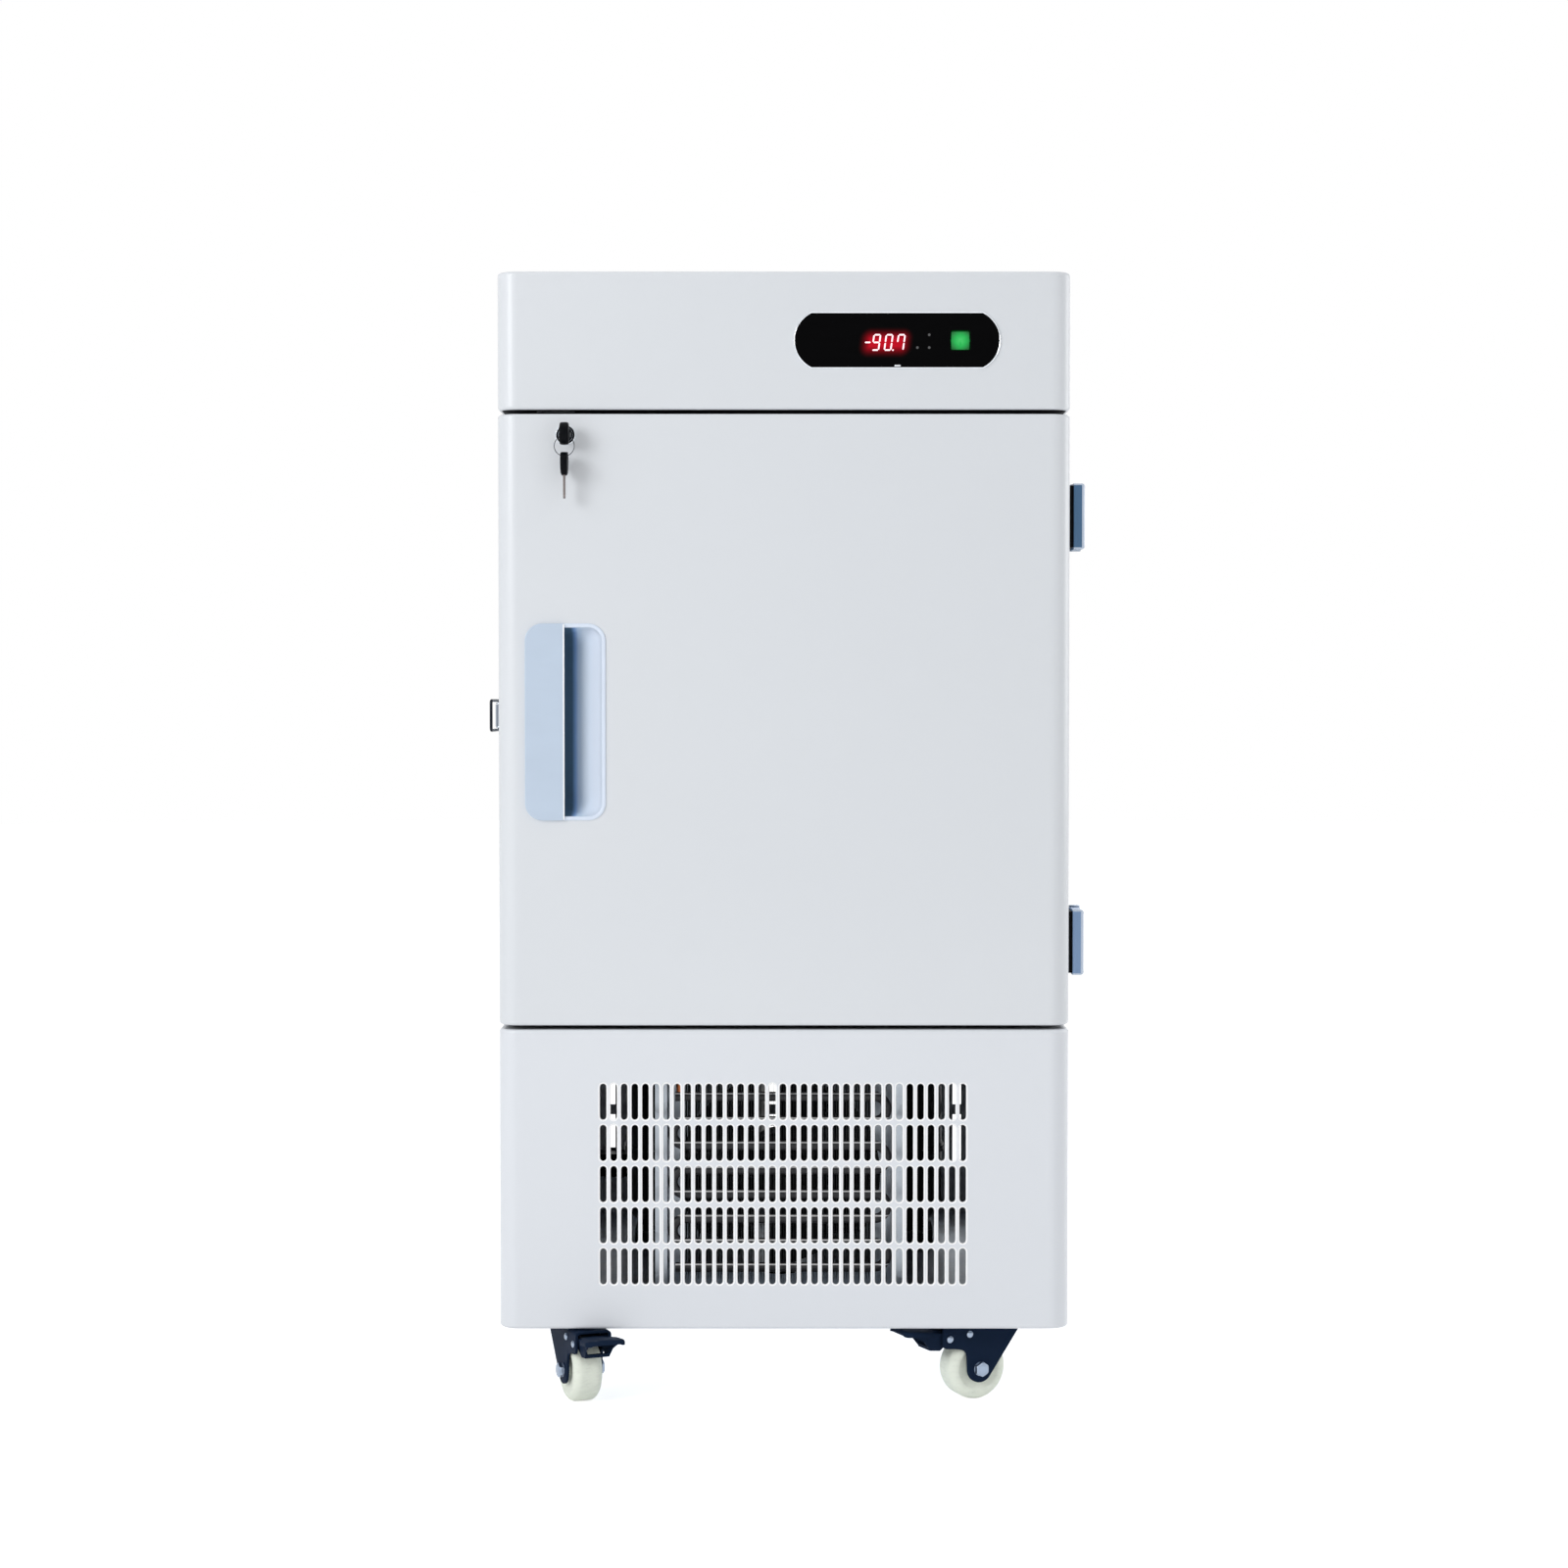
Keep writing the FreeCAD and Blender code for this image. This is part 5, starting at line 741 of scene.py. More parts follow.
def maker_of(finish):
    """The function that makes a finish, and what it is given."""
    dark_red, dark_green = (0.2, 0.01, 0.01, 1), (0.01, 0.03, 0.015, 1)
    dark, even = (0.03, 0.03, 0.03, 1), ((0, 0, 0), 50.0)
    pins_low, pins_high = corners("hinge_pins")
    return {
        "panel_paint": (lacquer, colour("panel")),
        # Painted light: a lighter copy of the panel enamel for the base panel.
        "base_paint": (lacquer, colour("base")),
        # Painted highlight on the punched rims and the grip's edge.
        "lip_paint": (lacquer, colour("lip"), 0.26),
        "galvanised": (spangled, (0.55, 0.60, 0.66)),
        "stainless": (brushed, (0.60, 0.61, 0.62)),
        "insulation_foam": (foam, colour("foam")),
        "white_plastic": (moulded, colour("liner"), 0.4),
        "handle_plastic": (moulded, colour("grip"), 0.36),
        # Painted shade: the cup's colour darkens towards the grip plate, where the plate shades the
        # cup.
        "cup_plastic": (
            painted_shade_plastic, (corners("handle_grip")[1][0] - 2) * MM,
            (corners("handle_cup")[1][0] - 12) * MM, "x",
            (0.25, (0.076, 0.152, 0.245)), (0.37, (0.26, 0.45, 0.80)), (0.47, (0.61, 0.78, 1.0)),
            (0.65, (0.73, 0.85, 1.0)), (1.0, colour("cup"))),
        "rim_plastic": (moulded, tone(colour("cup"), 0.98), 0.34),
        "gasket_rubber": (rubber, colour("seal"), 0.6),
        "bright_chrome": (plated, colour("chrome"), 0.12),
        "zinc_steel": (plated, colour("zinc"), 0.3, 0.08, 0.12),
        # Painted shade: the hinge colour darkens from the lower hinge up to the upper one.
        "hinge_paint": (
            painted_shade_plastic, pins_low[2] * MM, pins_high[2] * MM, "z",
            (0.25, colour("hinge")), (0.62, (0.054, 0.136, 0.254)), (1.0, (0.063, 0.158, 0.295))),
        # Painted highlight: a lighter paint on the hinge leaves' bevels.
        "hinge_edge": (lacquer, (0.58, 0.67, 0.80), 0.3),
        "shim_paint": (lacquer, colour("shim"), 0.6, 0.1, 0.02, 0.0, 0.05),
        "black_plastic": (moulded, colour("black"), 0.36, 420.0, 0.05, 0.1, 0.05),
        "display_glass": (smoked_window, colour("window"), (0.52, 0.004, 0.016), digits_middle(),
                          (0.0152, 0.0036), 0.0125),
        "green_lamp": (glowing, colour("lamp"), 0.8, dark_green, rocker_middle(), 0.0087),
        "red_digits": (glowing, (1.0, 0.58, 0.62), 1.5, dark_red, *even),
        "dim_lamp": (glowing, (0.0075, 0.008, 0.010), 1.0, dark, *even),
        "circuit_board": (circuit, (0.02, 0.16, 0.07)),
        "black_paint": (lacquer, (0.008, 0.009, 0.011), 0.34, 0.2, 0.03, 0.1, 0.3),
        "tube_paint": (tube_with_painted_highlight,),
        # Painted shade: near-black enamel on the lower faces in the gaps under the head and the
        # door.
        "shadow_paint": (lacquer, (0.02, 0.021, 0.024), 0.6, 0.1, 0.02, 0.0, 0.2),
        "dark_chrome": (plated, (0.03, 0.034, 0.042), 0.25, 0.05, 0.15),
        "rim_chrome": (plated, (0.36, 0.40, 0.46), 0.16, 0.03, 0.05),
        "key_steel": (plated, (0.20, 0.175, 0.17), 0.3, 0.08, 0.3),
        "copper": (aged_copper, colour("copper")),
        "condenser_aluminium": (plated, (0.05, 0.055, 0.06), 0.42, 0.1, 0.25),
        "fork_paint": (lacquer, colour("fork"), 0.5, 0.12, 0.05, 0.0, 0.02),
        "wheel_rubber": (nylon, colour("wheel")),
        "mount_rubber": (rubber, (0.015, 0.015, 0.016)),
        "fan_plastic": (moulded, (0.015, 0.015, 0.017), 0.5),
    }[finish]


def material(name):
    """The finish of that name, made the first time that it is asked for."""
    made = bpy.data.materials.get("freezer_" + name)
    if made:
        return made
    maker, *given = maker_of(name)
    return maker(Paint("freezer_" + name), *given)


class FREEZER_OT_stage(bpy.types.Operator):
    """Floor, white surroundings, soft lamps and the camera at the photograph's angle"""

    bl_idname = "freezer.stage"
    bl_label = "Stage"

    def execute(self, context):
        floor_paint = Paint("stage_floor")
        glow = floor_paint.blend(floor_paint.seen(), (0.0, 0.0, 0.0), (0.62, 0.62, 0.62))
        dust = floor_paint.blend(floor_paint.noise(3.0), (0.90, 0.90, 0.90), (0.93, 0.93, 0.93))
        floor_paint.done(Base_Color=dust, Roughness=0.9, Specular_IOR_Level=0.0,
                         Emission_Color=glow, Emission_Strength=1.0)
        mesh = bpy.data.meshes.new("stage_floor")
        disc = lathe([(0.0, 0.0), (2.0, 0.0), (14.0, 0.0)], 48)
        mesh.from_pydata(disc.points.tolist(), [], disc.faces[0].tolist())
        mesh.materials.append(floor_paint.block)
        placed("stage_floor", mesh)

        sky = Paint("studio", "worlds")
        bpy.context.scene.world = sky.block
        white = sky.node("ShaderNodeBackground", None, {
            "Color": (1.0, 1.0, 1.0, 1.0), "Strength": sky.seen() * 0.48 + 0.52})
        sky.node("ShaderNodeOutputWorld", None, {"Surface": white.outputs[0]})

        for name, place, aim, power, width, height in (
            ("lamp_left", (-2.45, -2.6, 1.8), (0, 0, 0.6), 52, 1.5, 1.5),
            ("lamp_right", (2.3, -2.9, 1.5), (0, 0, 0.6), 6.5, 1.8, 1.8),
            ("lamp_low", (0.3, -2.3, 0.1), (0, 0, 0.15), 2.6, 1.4, 0.4),
            ("lamp_side", (2.9, 0.75, 1.2), (0, 0.1, 0.6), 22, 1.5, 1.5),
            ("lamp_over", (0.2, -0.4, 3.4), (0, 0, 0.5), 10, 2.0, 2.0),
            ("lamp_behind", (0.9, 2.9, 1.7), (0, 0, 0.5), 11, 1.8, 1.8),
        ):
            light = bpy.data.lights.new(name, "AREA")
            light.shape = "RECTANGLE"
            light.energy, light.size, light.size_y = power, width, height
            lamp = placed(name, light)
            lamp.location = place
            lamp.rotation_euler = (Vector(aim) - Vector(place)).to_track_quat("-Z", "Y").to_euler()

        low, _ = corners("door_panel")
        camera = placed("camera", bpy.data.cameras.new("camera"))
        camera.data.lens = 70.6
        camera.data.sensor_width = 36.0
        camera.location = (0.0, low[1] * MM - 3.0, 0.70)
        camera.rotation_euler = (math.radians(90 - 1.65), 0.0, 0.0)
        bpy.context.scene.camera = camera
        bpy.context.scene.view_settings.view_transform = "Standard"
        return {"FINISHED"}


def obround(width, height, steps=6, centre=(0.0, 0.0)):
    """Upright slot: a half circle above and its mirror image below."""
    turn = np.linspace(0, math.pi, steps + 1)
    top = np.stack([np.cos(turn), np.sin(turn)], axis=1) * width / 2
    top[:, 1] += (height - width) / 2
    return np.vstack([top, -top]) + np.array(centre)


def rim_of(hole, lip, depth):
    """Rim of a punched hole: a narrow flat, a quarter circle turned inwards and a straight wall."""
    turn = np.linspace(0, math.pi / 2, 3)
    curve = zip(lip * (1 - np.sin(turn)), -lip * (1 - np.cos(turn)))
    return walls(hole, (lip * 1.3, 0.0), *curve, (0.0, -depth))


def folded_panel(low, high, size, holes=(), lip=0.0, above=(), below=(), open_below=False):
    """A folded front panel, open to the rear. Outer and inner face are functions of the way along
    the U of the plan and of the height: at the upper and lower edge the plan draws in along a
    quarter circle. The front's flat is filled round its holes."""
    radius, edge, sheet = size.corner / MM, size.edge / MM, size.sheet / MM
    step = 1.0
    turn = np.linspace(0, math.pi / 2, 10)
    left = np.stack([-np.cos(turn), -np.sin(turn)], axis=1)
    right = left[::-1] * (-1, 1)
    centres = np.array([(low[0] + radius, low[1] + radius), (high[0] - radius, low[1] + radius)])
    plan = np.vstack([
        (low[0], high[1]), (low[0], low[1] + radius + step), centres[0] + left * radius,
        (low[0] + radius + step, low[1]), (high[0] - radius - step, low[1]),
        centres[1] + right * radius, (high[0], low[1] + radius + step), (high[0], high[1])])
    out = np.vstack([(-1, 0), (-1, 0), left, (0, -1), (0, -1), right, (1, 0), (1, 0)])
    rise = np.linspace(0, math.pi / 2, 6)
    sine, cosine = np.sin(rise), np.cos(rise)
    lower = np.stack([edge * (1 - sine), low[2] + edge * (1 - cosine), sine, cosine], axis=1)
    upper = np.stack([edge * (1 - cosine), high[2] - edge * (1 - sine), cosine, -sine], axis=1)
    rows = np.vstack([
        *([] if open_below else [(edge + step, low[2], 0, 1)]), lower,
        (0, low[2] + edge + step, 1, 0), (0, high[2] - edge - step, 1, 0),
        upper, (edge + step, high[2], 0, -1)])

    def face(depth):
        inset = rows[:, 0] + rows[:, 2] * depth
        return lifted(plan[None] - out[None] * inset[:, None, None],
                      rows[:, 1] + rows[:, 3] * depth)

    outer, inner = face(0.0), face(sheet)
    row = len(lower) + (0 if open_below else 1)
    column = len(left) + 2
    columns = len(plan) - 1

    def skin(points):
        surface = grid(points)
        surface.faces[0] = np.delete(surface.faces[0], row * columns + column, axis=0)
        return surface

    shape = skin(outer) + skin(inner).flipped()
    corner_low, corner_high = outer[row, column], outer[row + 1, column + 1]
    outline = rectangle(corner_low[0], corner_high[0], corner_low[2], corner_high[2])
    mouths = [offset(hole, lip * 1.3) for hole in holes]
    flat = sheet_with_holes(outline, mouths, 0.0)
    flat += sheet_with_holes(outline, list(holes), -sheet).flipped()
    for hole in holes:
        # The punched rims take finish 1, the painted highlight.
        flat += rim_of(hole, lip, sheet).finish(1) if lip else walls(hole, (0, 0), (0, -sheet))
    shape += flat.facing("front", (0, low[1], 0))
    for rank, level, inward, cuts in ((-1, high[2], -sheet, above), (0, low[2], sheet, below)):
        if rank == 0 and open_below:
            continue
        # The outer lower face takes finish 2: painted shade, for the dark gap below the piece.
        shape += sheet_with_holes(outer[rank, :, :2], list(cuts), level).finish(0 if rank else 2)
        shape += sheet_with_holes(inner[rank, :, :2], list(cuts), level + inward)
        for cut in cuts:
            shape += walls(cut, (0, level), (0, level + inward))

    def border(points):
        loop = [points[:, 0], points[::-1, -1]]
        if open_below:
            loop.append(points[0, ::-1][1:-1])
        return np.vstack(loop)

    return shape + grid(np.stack([border(outer), border(inner)]), close_columns=True)


def rectangle(x0, x1, y0, y1):
    """Four corners, anticlockwise."""
    return np.array([(x0, y0), (x1, y0), (x1, y1), (x0, y1)], float)


def display_outline():
    """Outline of the display: flats above and below, and an arc at each end that meets them."""
    low, high = corners("display_bezel")
    rim, bulge = 2.2, 28.2 / 25.2
    half_width = (high[0] - low[0]) / 2 - rim
    half_height = (high[2] - low[2]) / 2 - rim
    radius = half_height * bulge
    reach = math.asin(half_height / radius)
    turn = np.linspace(-reach, reach, 17)
    end = np.stack([half_width - radius + radius * np.cos(turn), radius * np.sin(turn)], axis=1)
    middle = (low + high) / 2
    return np.vstack([end, -end]) + (middle[0], middle[2])


def cam_slot():
    """Slot that the lock's cam swings through, seen from above."""
    low, high = corners("lock_cam")
    gap = 2.0
    return rectangle(low[0], high[0] + gap / 2, low[1] - gap, high[1] + gap)


# Finishes of the hoods: enamel, the painted rim highlight, and painted shade for the lower face in
# the gaps.
HOOD = ("panel_paint", "lip_paint", "shadow_paint")


class FREEZER_OT_control_head(bpy.types.Operator):
    """Hood of the control head, round at its corners, with the display's window"""

    bl_idname = "freezer.control_head"
    bl_label = "Control head"

    def execute(self, context):
        size = sizes()
        low, high = corners("control_head")
        shape = folded_panel(low, high, size, [display_outline()], below=[cam_slot()])
        make("head_hood", shape, "cabinet", HOOD, "control_head")
        return {"FINISHED"}


class FREEZER_OT_door_panel(bpy.types.Operator):
    """Outer skin of the door with the openings for the handle cup and the lock"""

    bl_idname = "freezer.door_panel"
    bl_label = "Door panel"

    def execute(self, context):
        size = sizes()
        low, high = corners("door_panel")
        cup_low, cup_high = corners("handle_cup")
        lock = axis_of("lock_turn")
        middle = (cup_low + cup_high) / 2
        inset = 3.4
        opening = rounded(cup_high[0] - cup_low[0] - inset, cup_high[2] - cup_low[2] - inset,
                          15.3, 6, (middle[0], middle[2]))
        bore = circle(8.1, 24, (lock[0], lock[2]))
        shape = folded_panel(low, high, size, [opening, bore], above=[cam_slot()])
        make("door_skin", shape, "door", HOOD, "door_panel")
        return {"FINISHED"}


class FREEZER_OT_base_panel(bpy.types.Operator):
    """Base panel with its punched grille: a rim is turned inwards round every slot"""

    bl_idname = "freezer.base_panel"
    bl_label = "Base panel"

    def execute(self, context):
        size = sizes()
        low, high = corners("lower_front_panel")
        pitch, middle = np.array([10.36, 40.5]), np.array([-1.0, high[2] - 151.7])
        slot_width, slot_height = 6.2, 35.3
        across, up = np.meshgrid(np.arange(35) - 17, np.arange(5) - 2)
        centres = np.stack([across.ravel(), up.ravel()], axis=1) * pitch + middle
        holes = [obround(slot_width, slot_height, 6, centre) for centre in centres]
        shape = folded_panel(low, high, size, holes, lip=size.rim / MM, open_below=True)
        make("base_skin", shape, "cabinet", ("base_paint", "lip_paint"), "lower_front_panel")
        return {"FINISHED"}


SEGMENTS = {
    "a": (0, 1, 0), "b": (1, 0.5, 1), "c": (1, -0.5, 1), "d": (0, -1, 0),
    "e": (-1, -0.5, 1), "f": (-1, 0.5, 1), "g": (0, 0, 0),
}
GLYPHS = {"0": "abcdef", "7": "abcf", "9": "abcdfg", "-": "g", "1": "bc", "2": "abged",
          "3": "abgcd", "4": "fgbc", "5": "afgcd", "6": "afgedc", "8": "abcdefg"}


def segment(length, thickness):
    """One bar of a digit: a long hexagon."""
    half, tip = length / 2, thickness / 2
    return np.array([(-half, 0), (-half + tip, -tip), (half - tip, -tip), (half, 0),
                     (half - tip, tip), (-half + tip, tip)])


def reading(text, height, slant, pitch, low, high):
    """A row of seven-bar digits, leaning to the right in proportion to their height."""
    width, thickness = height * 0.42, height * 0.1
    shape, x = 0, 0.0
    for character in text:
        if character == ".":
            shape += slab(circle(thickness * 0.55, 12, (x - pitch * 0.56, -height / 2)), low, high)
            continue
        if character == "-":
            x += pitch * 0.08
        for name in GLYPHS[character]:
            side, level, upright = SEGMENTS[name]
            bar = segment((height / 2 if upright else width) * 0.93, thickness)
            bar = bar[:, ::-1] * (-1, 1) if upright else bar
            shape += slab(bar + (x + side * width / 2, level * height / 2), low, high)
        x += pitch if character != "-" else pitch * 0.70
    shape.points[:, 0] += shape.points[:, 1] * slant
    return shape


class FREEZER_OT_display(bpy.types.Operator):
    """Bright rim, smoked window, glowing digits, small lamps and the lit rocker"""

    bl_idname = "freezer.display"
    bl_label = "Display"

    def execute(self, context):
        size = sizes()
        low, high = corners("display_bezel")
        middle, front = (low + high) / 2, high[1]
        at = (0, front, 0)
        profile = np.array([(-0.55, 0), (-0.55, 0.5), (0.95, 0.5), (0.95, 1.3), (1.12, 1.65),
                            (1.45, 1.8), (1.8, 1.65), (2.1, 1.15), (2.2, 0.5), (2.2, 0)])
        rim = loft(carry(display_outline(), profile), closed=True)
        tab = slab(rounded(5.8, 1.6, 0.4, 3, (middle[0] + 0.4, low[2] + 2.7)), 0.4, 1.7, 0.25)
        make("display_rim", (rim + tab).facing("front", at), "cabinet", "bright_chrome",
             "display_bezel")
        pivot = axis_of("power_rocker_tip")
        hole = rounded(19.0, 19.0, 1.2, 3, (pivot[0], pivot[2]))
        profile = np.array([(-0.7, -1.8), (-0.7, 0.55), (0.9, 0.55), (0.9, 0.95), (0.78, 1.2),
                            (0.45, 1.36), (-0.3, 1.42), (-2.0, 1.5), (-4.5, 1.55)])
        rows = carry(display_outline(), profile)
        window = grid(rows, close_columns=True)
        for row in (0, -1):
            window += sheet_with_holes(rows[row, :, :2], [hole], profile[row, 1])
        window += walls(hole, (0, profile[0, 1]), (0, profile[-1, 1]))
        make("display_window", window.facing("front", at), "cabinet", "display_glass",
             "display_lens")
        digits = reading(size.reading, size.digit / MM, size.slant, 11.9, 1.4, 1.6)
        first_digit = (middle[0] - 29.6, front, middle[2] - 2.2)
        make("display_digits", digits.facing("front", first_digit), "cabinet", "red_digits")
        lamps = sum(slab(circle(1.3, 16, (x, middle[2] + z)), 1.4, 1.58, 0.03)
                    for x, z in ((141.1, 5.2), (129.6, -7.2), (141.1, -7.2)))
        make("display_lamps", lamps.facing("front", at), "cabinet", "dim_lamp")

        half, tilt = 8.7, 7
        slope = math.tan(math.radians(tilt))
        shell = np.array([(-0.9, -6.5), (-0.2, -4.0), (0.0, -2.0), (0.0, 3.6), (-0.12, 4.1),
                          (-0.45, 4.4), (-0.9, 4.5), (-2.5, 4.5), (-4.5, 4.5), (-6.5, 4.5),
                          (-8.2, 4.5)])
        rows = carry(rounded(half * 2, half * 2, 1.4, 4), shell)
        # The face falls away from its middle to both ends
        rows[3:, :, 2] += np.abs(rows[3:, :, 1]) * slope
        rod = slab(circle(1.0, 16), -11.5, 11.5, 0.2).facing("right", pivot)
        rocker = loft(rows).facing("front", pivot).turned("x", tilt, pivot)
        make("lit_rocker", rocker + rod, "power_rocker", "green_lamp", "power_rocker")
        return {"FINISHED"}


class FREEZER_OT_handle(bpy.types.Operator):
    """Recessed cup with a raised rim, and the grip plate over its left half"""

    bl_idname = "freezer.handle"
    bl_label = "Handle"

    def execute(self, context):
        low, high = corners("handle_cup")
        front = corners("door_panel")[0][1]
        middle = ((low[0] + high[0]) / 2, (low[2] + high[2]) / 2)
        width, height = high[0] - low[0], high[2] - low[2]
        rim, radius, steps = 4.0, 17.0, 8
        floor_width, draft, wall, depth = 37.0, 8.0, 2.0, 30.0
        flange = rounded(width, height, radius, steps, middle)
        mouth = rounded(width - rim * 2, height - rim * 2, radius - rim, steps, middle)
        floor_middle = (low[0] + rim + floor_width / 2, middle[1])
        floor = rounded(floor_width, height - rim * 2 - draft * 2, radius - rim, steps,
                        floor_middle)

        def row(outline, out, level):
            points = outline + outward(outline) * out
            return np.column_stack([points, np.full(len(points), level)])

        def between(share, out, level):
            return row(mouth * (1 - share) + floor * share, out, level)

        share = np.linspace(0, 1, 9)
        ease = share ** 1.15
        rows = [row(floor, -6, -depth), row(floor, -2.5, -depth + 0.1)]
        rows += [between(e, 0, -depth * s - 0.2) for s, e in zip(share[::-1], ease[::-1])]
        # The last loop of the wall stands off from the floor, so that the fold is round
        rows[2] = between(0.985, 0, -depth + 2.2)
        rows += [row(mouth, *spot) for spot in ((0.05, 0.6), (0.25, 1.1), (0.7, 1.42), (1.3, 1.5))]
        rows += [row(flange, *spot) for spot in ((-1.1, 1.5), (-0.55, 1.4), (-0.15, 1.0), (0, 0.5),
                                                 (0, 0.0))]
        rows += [row(mouth, wall, 0.0)]
        rows += [between(e, wall, -depth * s - 0.4) for s, e in zip(share[1:], ease[1:])]
        rows += [row(floor, wall, -depth - wall), row(floor, -6, -depth - wall)]
        cup = loft(rows).dressed(len(mouth), lambda row, _: (row > 9) & (row < 20), 1)
        make("cup", cup.facing("front", (0, front, 0)), "door", ("cup_plastic", "rim_plastic"),
             "handle_cup")

        low, high = corners("handle_grip")
        width, height = high[0] - low[0], high[2] - low[2]
        turn = np.linspace(0, math.pi / 2, steps + 1)
        arc = np.stack([-np.sin(turn), np.cos(turn)], axis=1) * radius
        centre = np.array([low[0] + radius, high[2] - radius])
        outline = np.vstack([(high[0], low[2]), (high[0], high[2]), arc + centre,
                             arc[::-1] * (1, -1) + (centre[0], low[2] + radius)])
        outline = outline - (outline[:, :1] > high[0] - 1) * (0.6, 0)
        plate = slab(outline, 0.0, high[1] - low[1], 0.7, 4)
        # Painted highlight: a light strip along the grip plate's right edge.
        edge = rectangle(high[0] - 1.3, high[0], low[2] + 0.6, high[2] - 0.6)
        plate += slab(edge, 0.2, high[1] - low[1] + 0.1, 0.35).finish(1)
        make("grip", plate.facing("front", (0, high[1], 0)), "door",
             ("handle_plastic", "lip_paint"), "handle_grip")
        return {"FINISHED"}


def key_blade(length, width, thickness):
    """Flat key blade: one edge straight, the other cut to a zigzag of unequal depths, with a
    rounded tip."""
    along = np.linspace(0, 1, 40)
    cuts = (np.abs((along * 5.2) % 1 - 0.5) * 2) * (0.55 + 0.45 * np.sin(along * 17.0)) * 0.30
    cuts = cuts * (along > 0.16) * (along < 0.93)
    edge = width / 2 * np.minimum(1, np.sqrt(np.maximum((1 - along) * 9, 0)) + 0.12)
    along = along * length
    outline = np.vstack([np.stack([along, -edge], axis=1),
                         np.stack([along, edge * (1 - cuts)], axis=1)[::-1]])
    return slab(outline, -thickness / 2, thickness / 2, 0.15, 1)


def key_head(radius, thickness, hole, hole_up):
    """Round key head: loops run from the hole's rim to the disc's edge and back on the other face,
    thick in the middle and thin towards the edge."""
    outer, inner = circle(radius, 48), circle(hole, 48, (0, hole_up))
    way = np.array([(1.0, 0.0), (1.0, 0.84), (0.94, 0.97), (0.6, 1.0), (0.35, 1.0), (0.14, 0.94),
                    (0.05, 0.80), (0.015, 0.56), (0.0, 0.25)])
    way = np.vstack([way, way[:0:-1] * (1, -1)])
    flat = outer[None] + (inner - outer)[None] * way[:, None, :1]
    return grid(lifted(flat, way[:, 1] * thickness / 2), True, True)


class FREEZER_OT_lock(bpy.types.Operator):
    """Lock with its bright flange, the key in it, the wire ring and the spare key"""

    bl_idname = "freezer.lock"
    bl_label = "Lock and keys"

    def execute(self, context):
        lock = axis_of("lock_turn")
        front = corners("door_panel")[0][1]
        at = (lock[0], front, lock[2])
        outer = np.array([(8.4, 0.9), (9.0, 1.3), (9.2, 1.85), (9.5, 1.7), (9.85, 1.1), (10, 0.4),
                          (10, 0), (8, 0), (8, -24), (5.6, -24), (5.6, 0.6)])
        dish = np.array([(5.6, 0.6), (6.9, 0.75), (7.0, 1.1), (7.2, 1.25), (7.4, 1.1), (7.5, 0.75),
                         (8.4, 0.9)])
        # Painted shade: the flange's groove floors and inner slope take the dark chrome.
        rings = sum(lathe(run, 40).finish(dark) for run, dark in (
            (outer[:2], 1), (outer[1:], 0), (dish[:2], 1), (dish[1:6], 0), (dish[5:], 1)))
        make("lock_flange", rings.facing("front", at), "door", ("bright_chrome", "dark_chrome"),
             "lock_barrel")

        bow_low, bow_high = corners("key_bow")
        middle = (bow_low + bow_high) / 2
        radius = (bow_high[2] - bow_low[2]) / 2
        thickness = bow_high[0] - bow_low[0]
        head = key_head(radius, thickness * 1.4, 3.0, -1.0)
        make("key_head", head.facing("right", middle), "key", "black_plastic", "key_bow")
        low, high = corners("key_blade")
        blade = key_blade(high[1] - low[1], high[2] - low[2], high[0] - low[0])
        place = (middle[0], low[1], middle[2])
        make("key_shank", blade.facing("right", place), "key", "key_steel", "key_blade")

        low, high = corners("key_ring")
        centre = (low + high) / 2
        turn = np.linspace(0, 4 * math.pi, 97)
        wire = 0.36
        radius = (high[0] - low[0]) / 2 - wire
        path = np.stack([radius * np.sin(turn), np.linspace(-wire, wire, 97) * 1.1,
                         radius * np.cos(turn)], axis=1) + centre
        make("split_ring", tube(path, wire, (0, 1, 0), 8), "key_ring", "dark_chrome", "key_ring")

        low, high = corners("spare_key_bow")
        middle = (low + high) / 2
        radius = (high[2] - low[2]) / 2
        head = key_head(radius, (high[0] - low[0]) * 1.1, 2.4, radius - 4.6)
        make("spare_head", head.facing("right", middle), "spare_key", "black_plastic",
             "spare_key_bow")
        low, high = corners("spare_key_blade")
        blade = key_blade(high[2] - low[2], high[1] - low[1], high[0] - low[0])
        blade = blade.facing("right").turned("x", -90).moved(middle[0], middle[1], high[2])
        make("spare_shank", blade, "spare_key", "key_steel", "spare_key_blade")
        return {"FINISHED"}


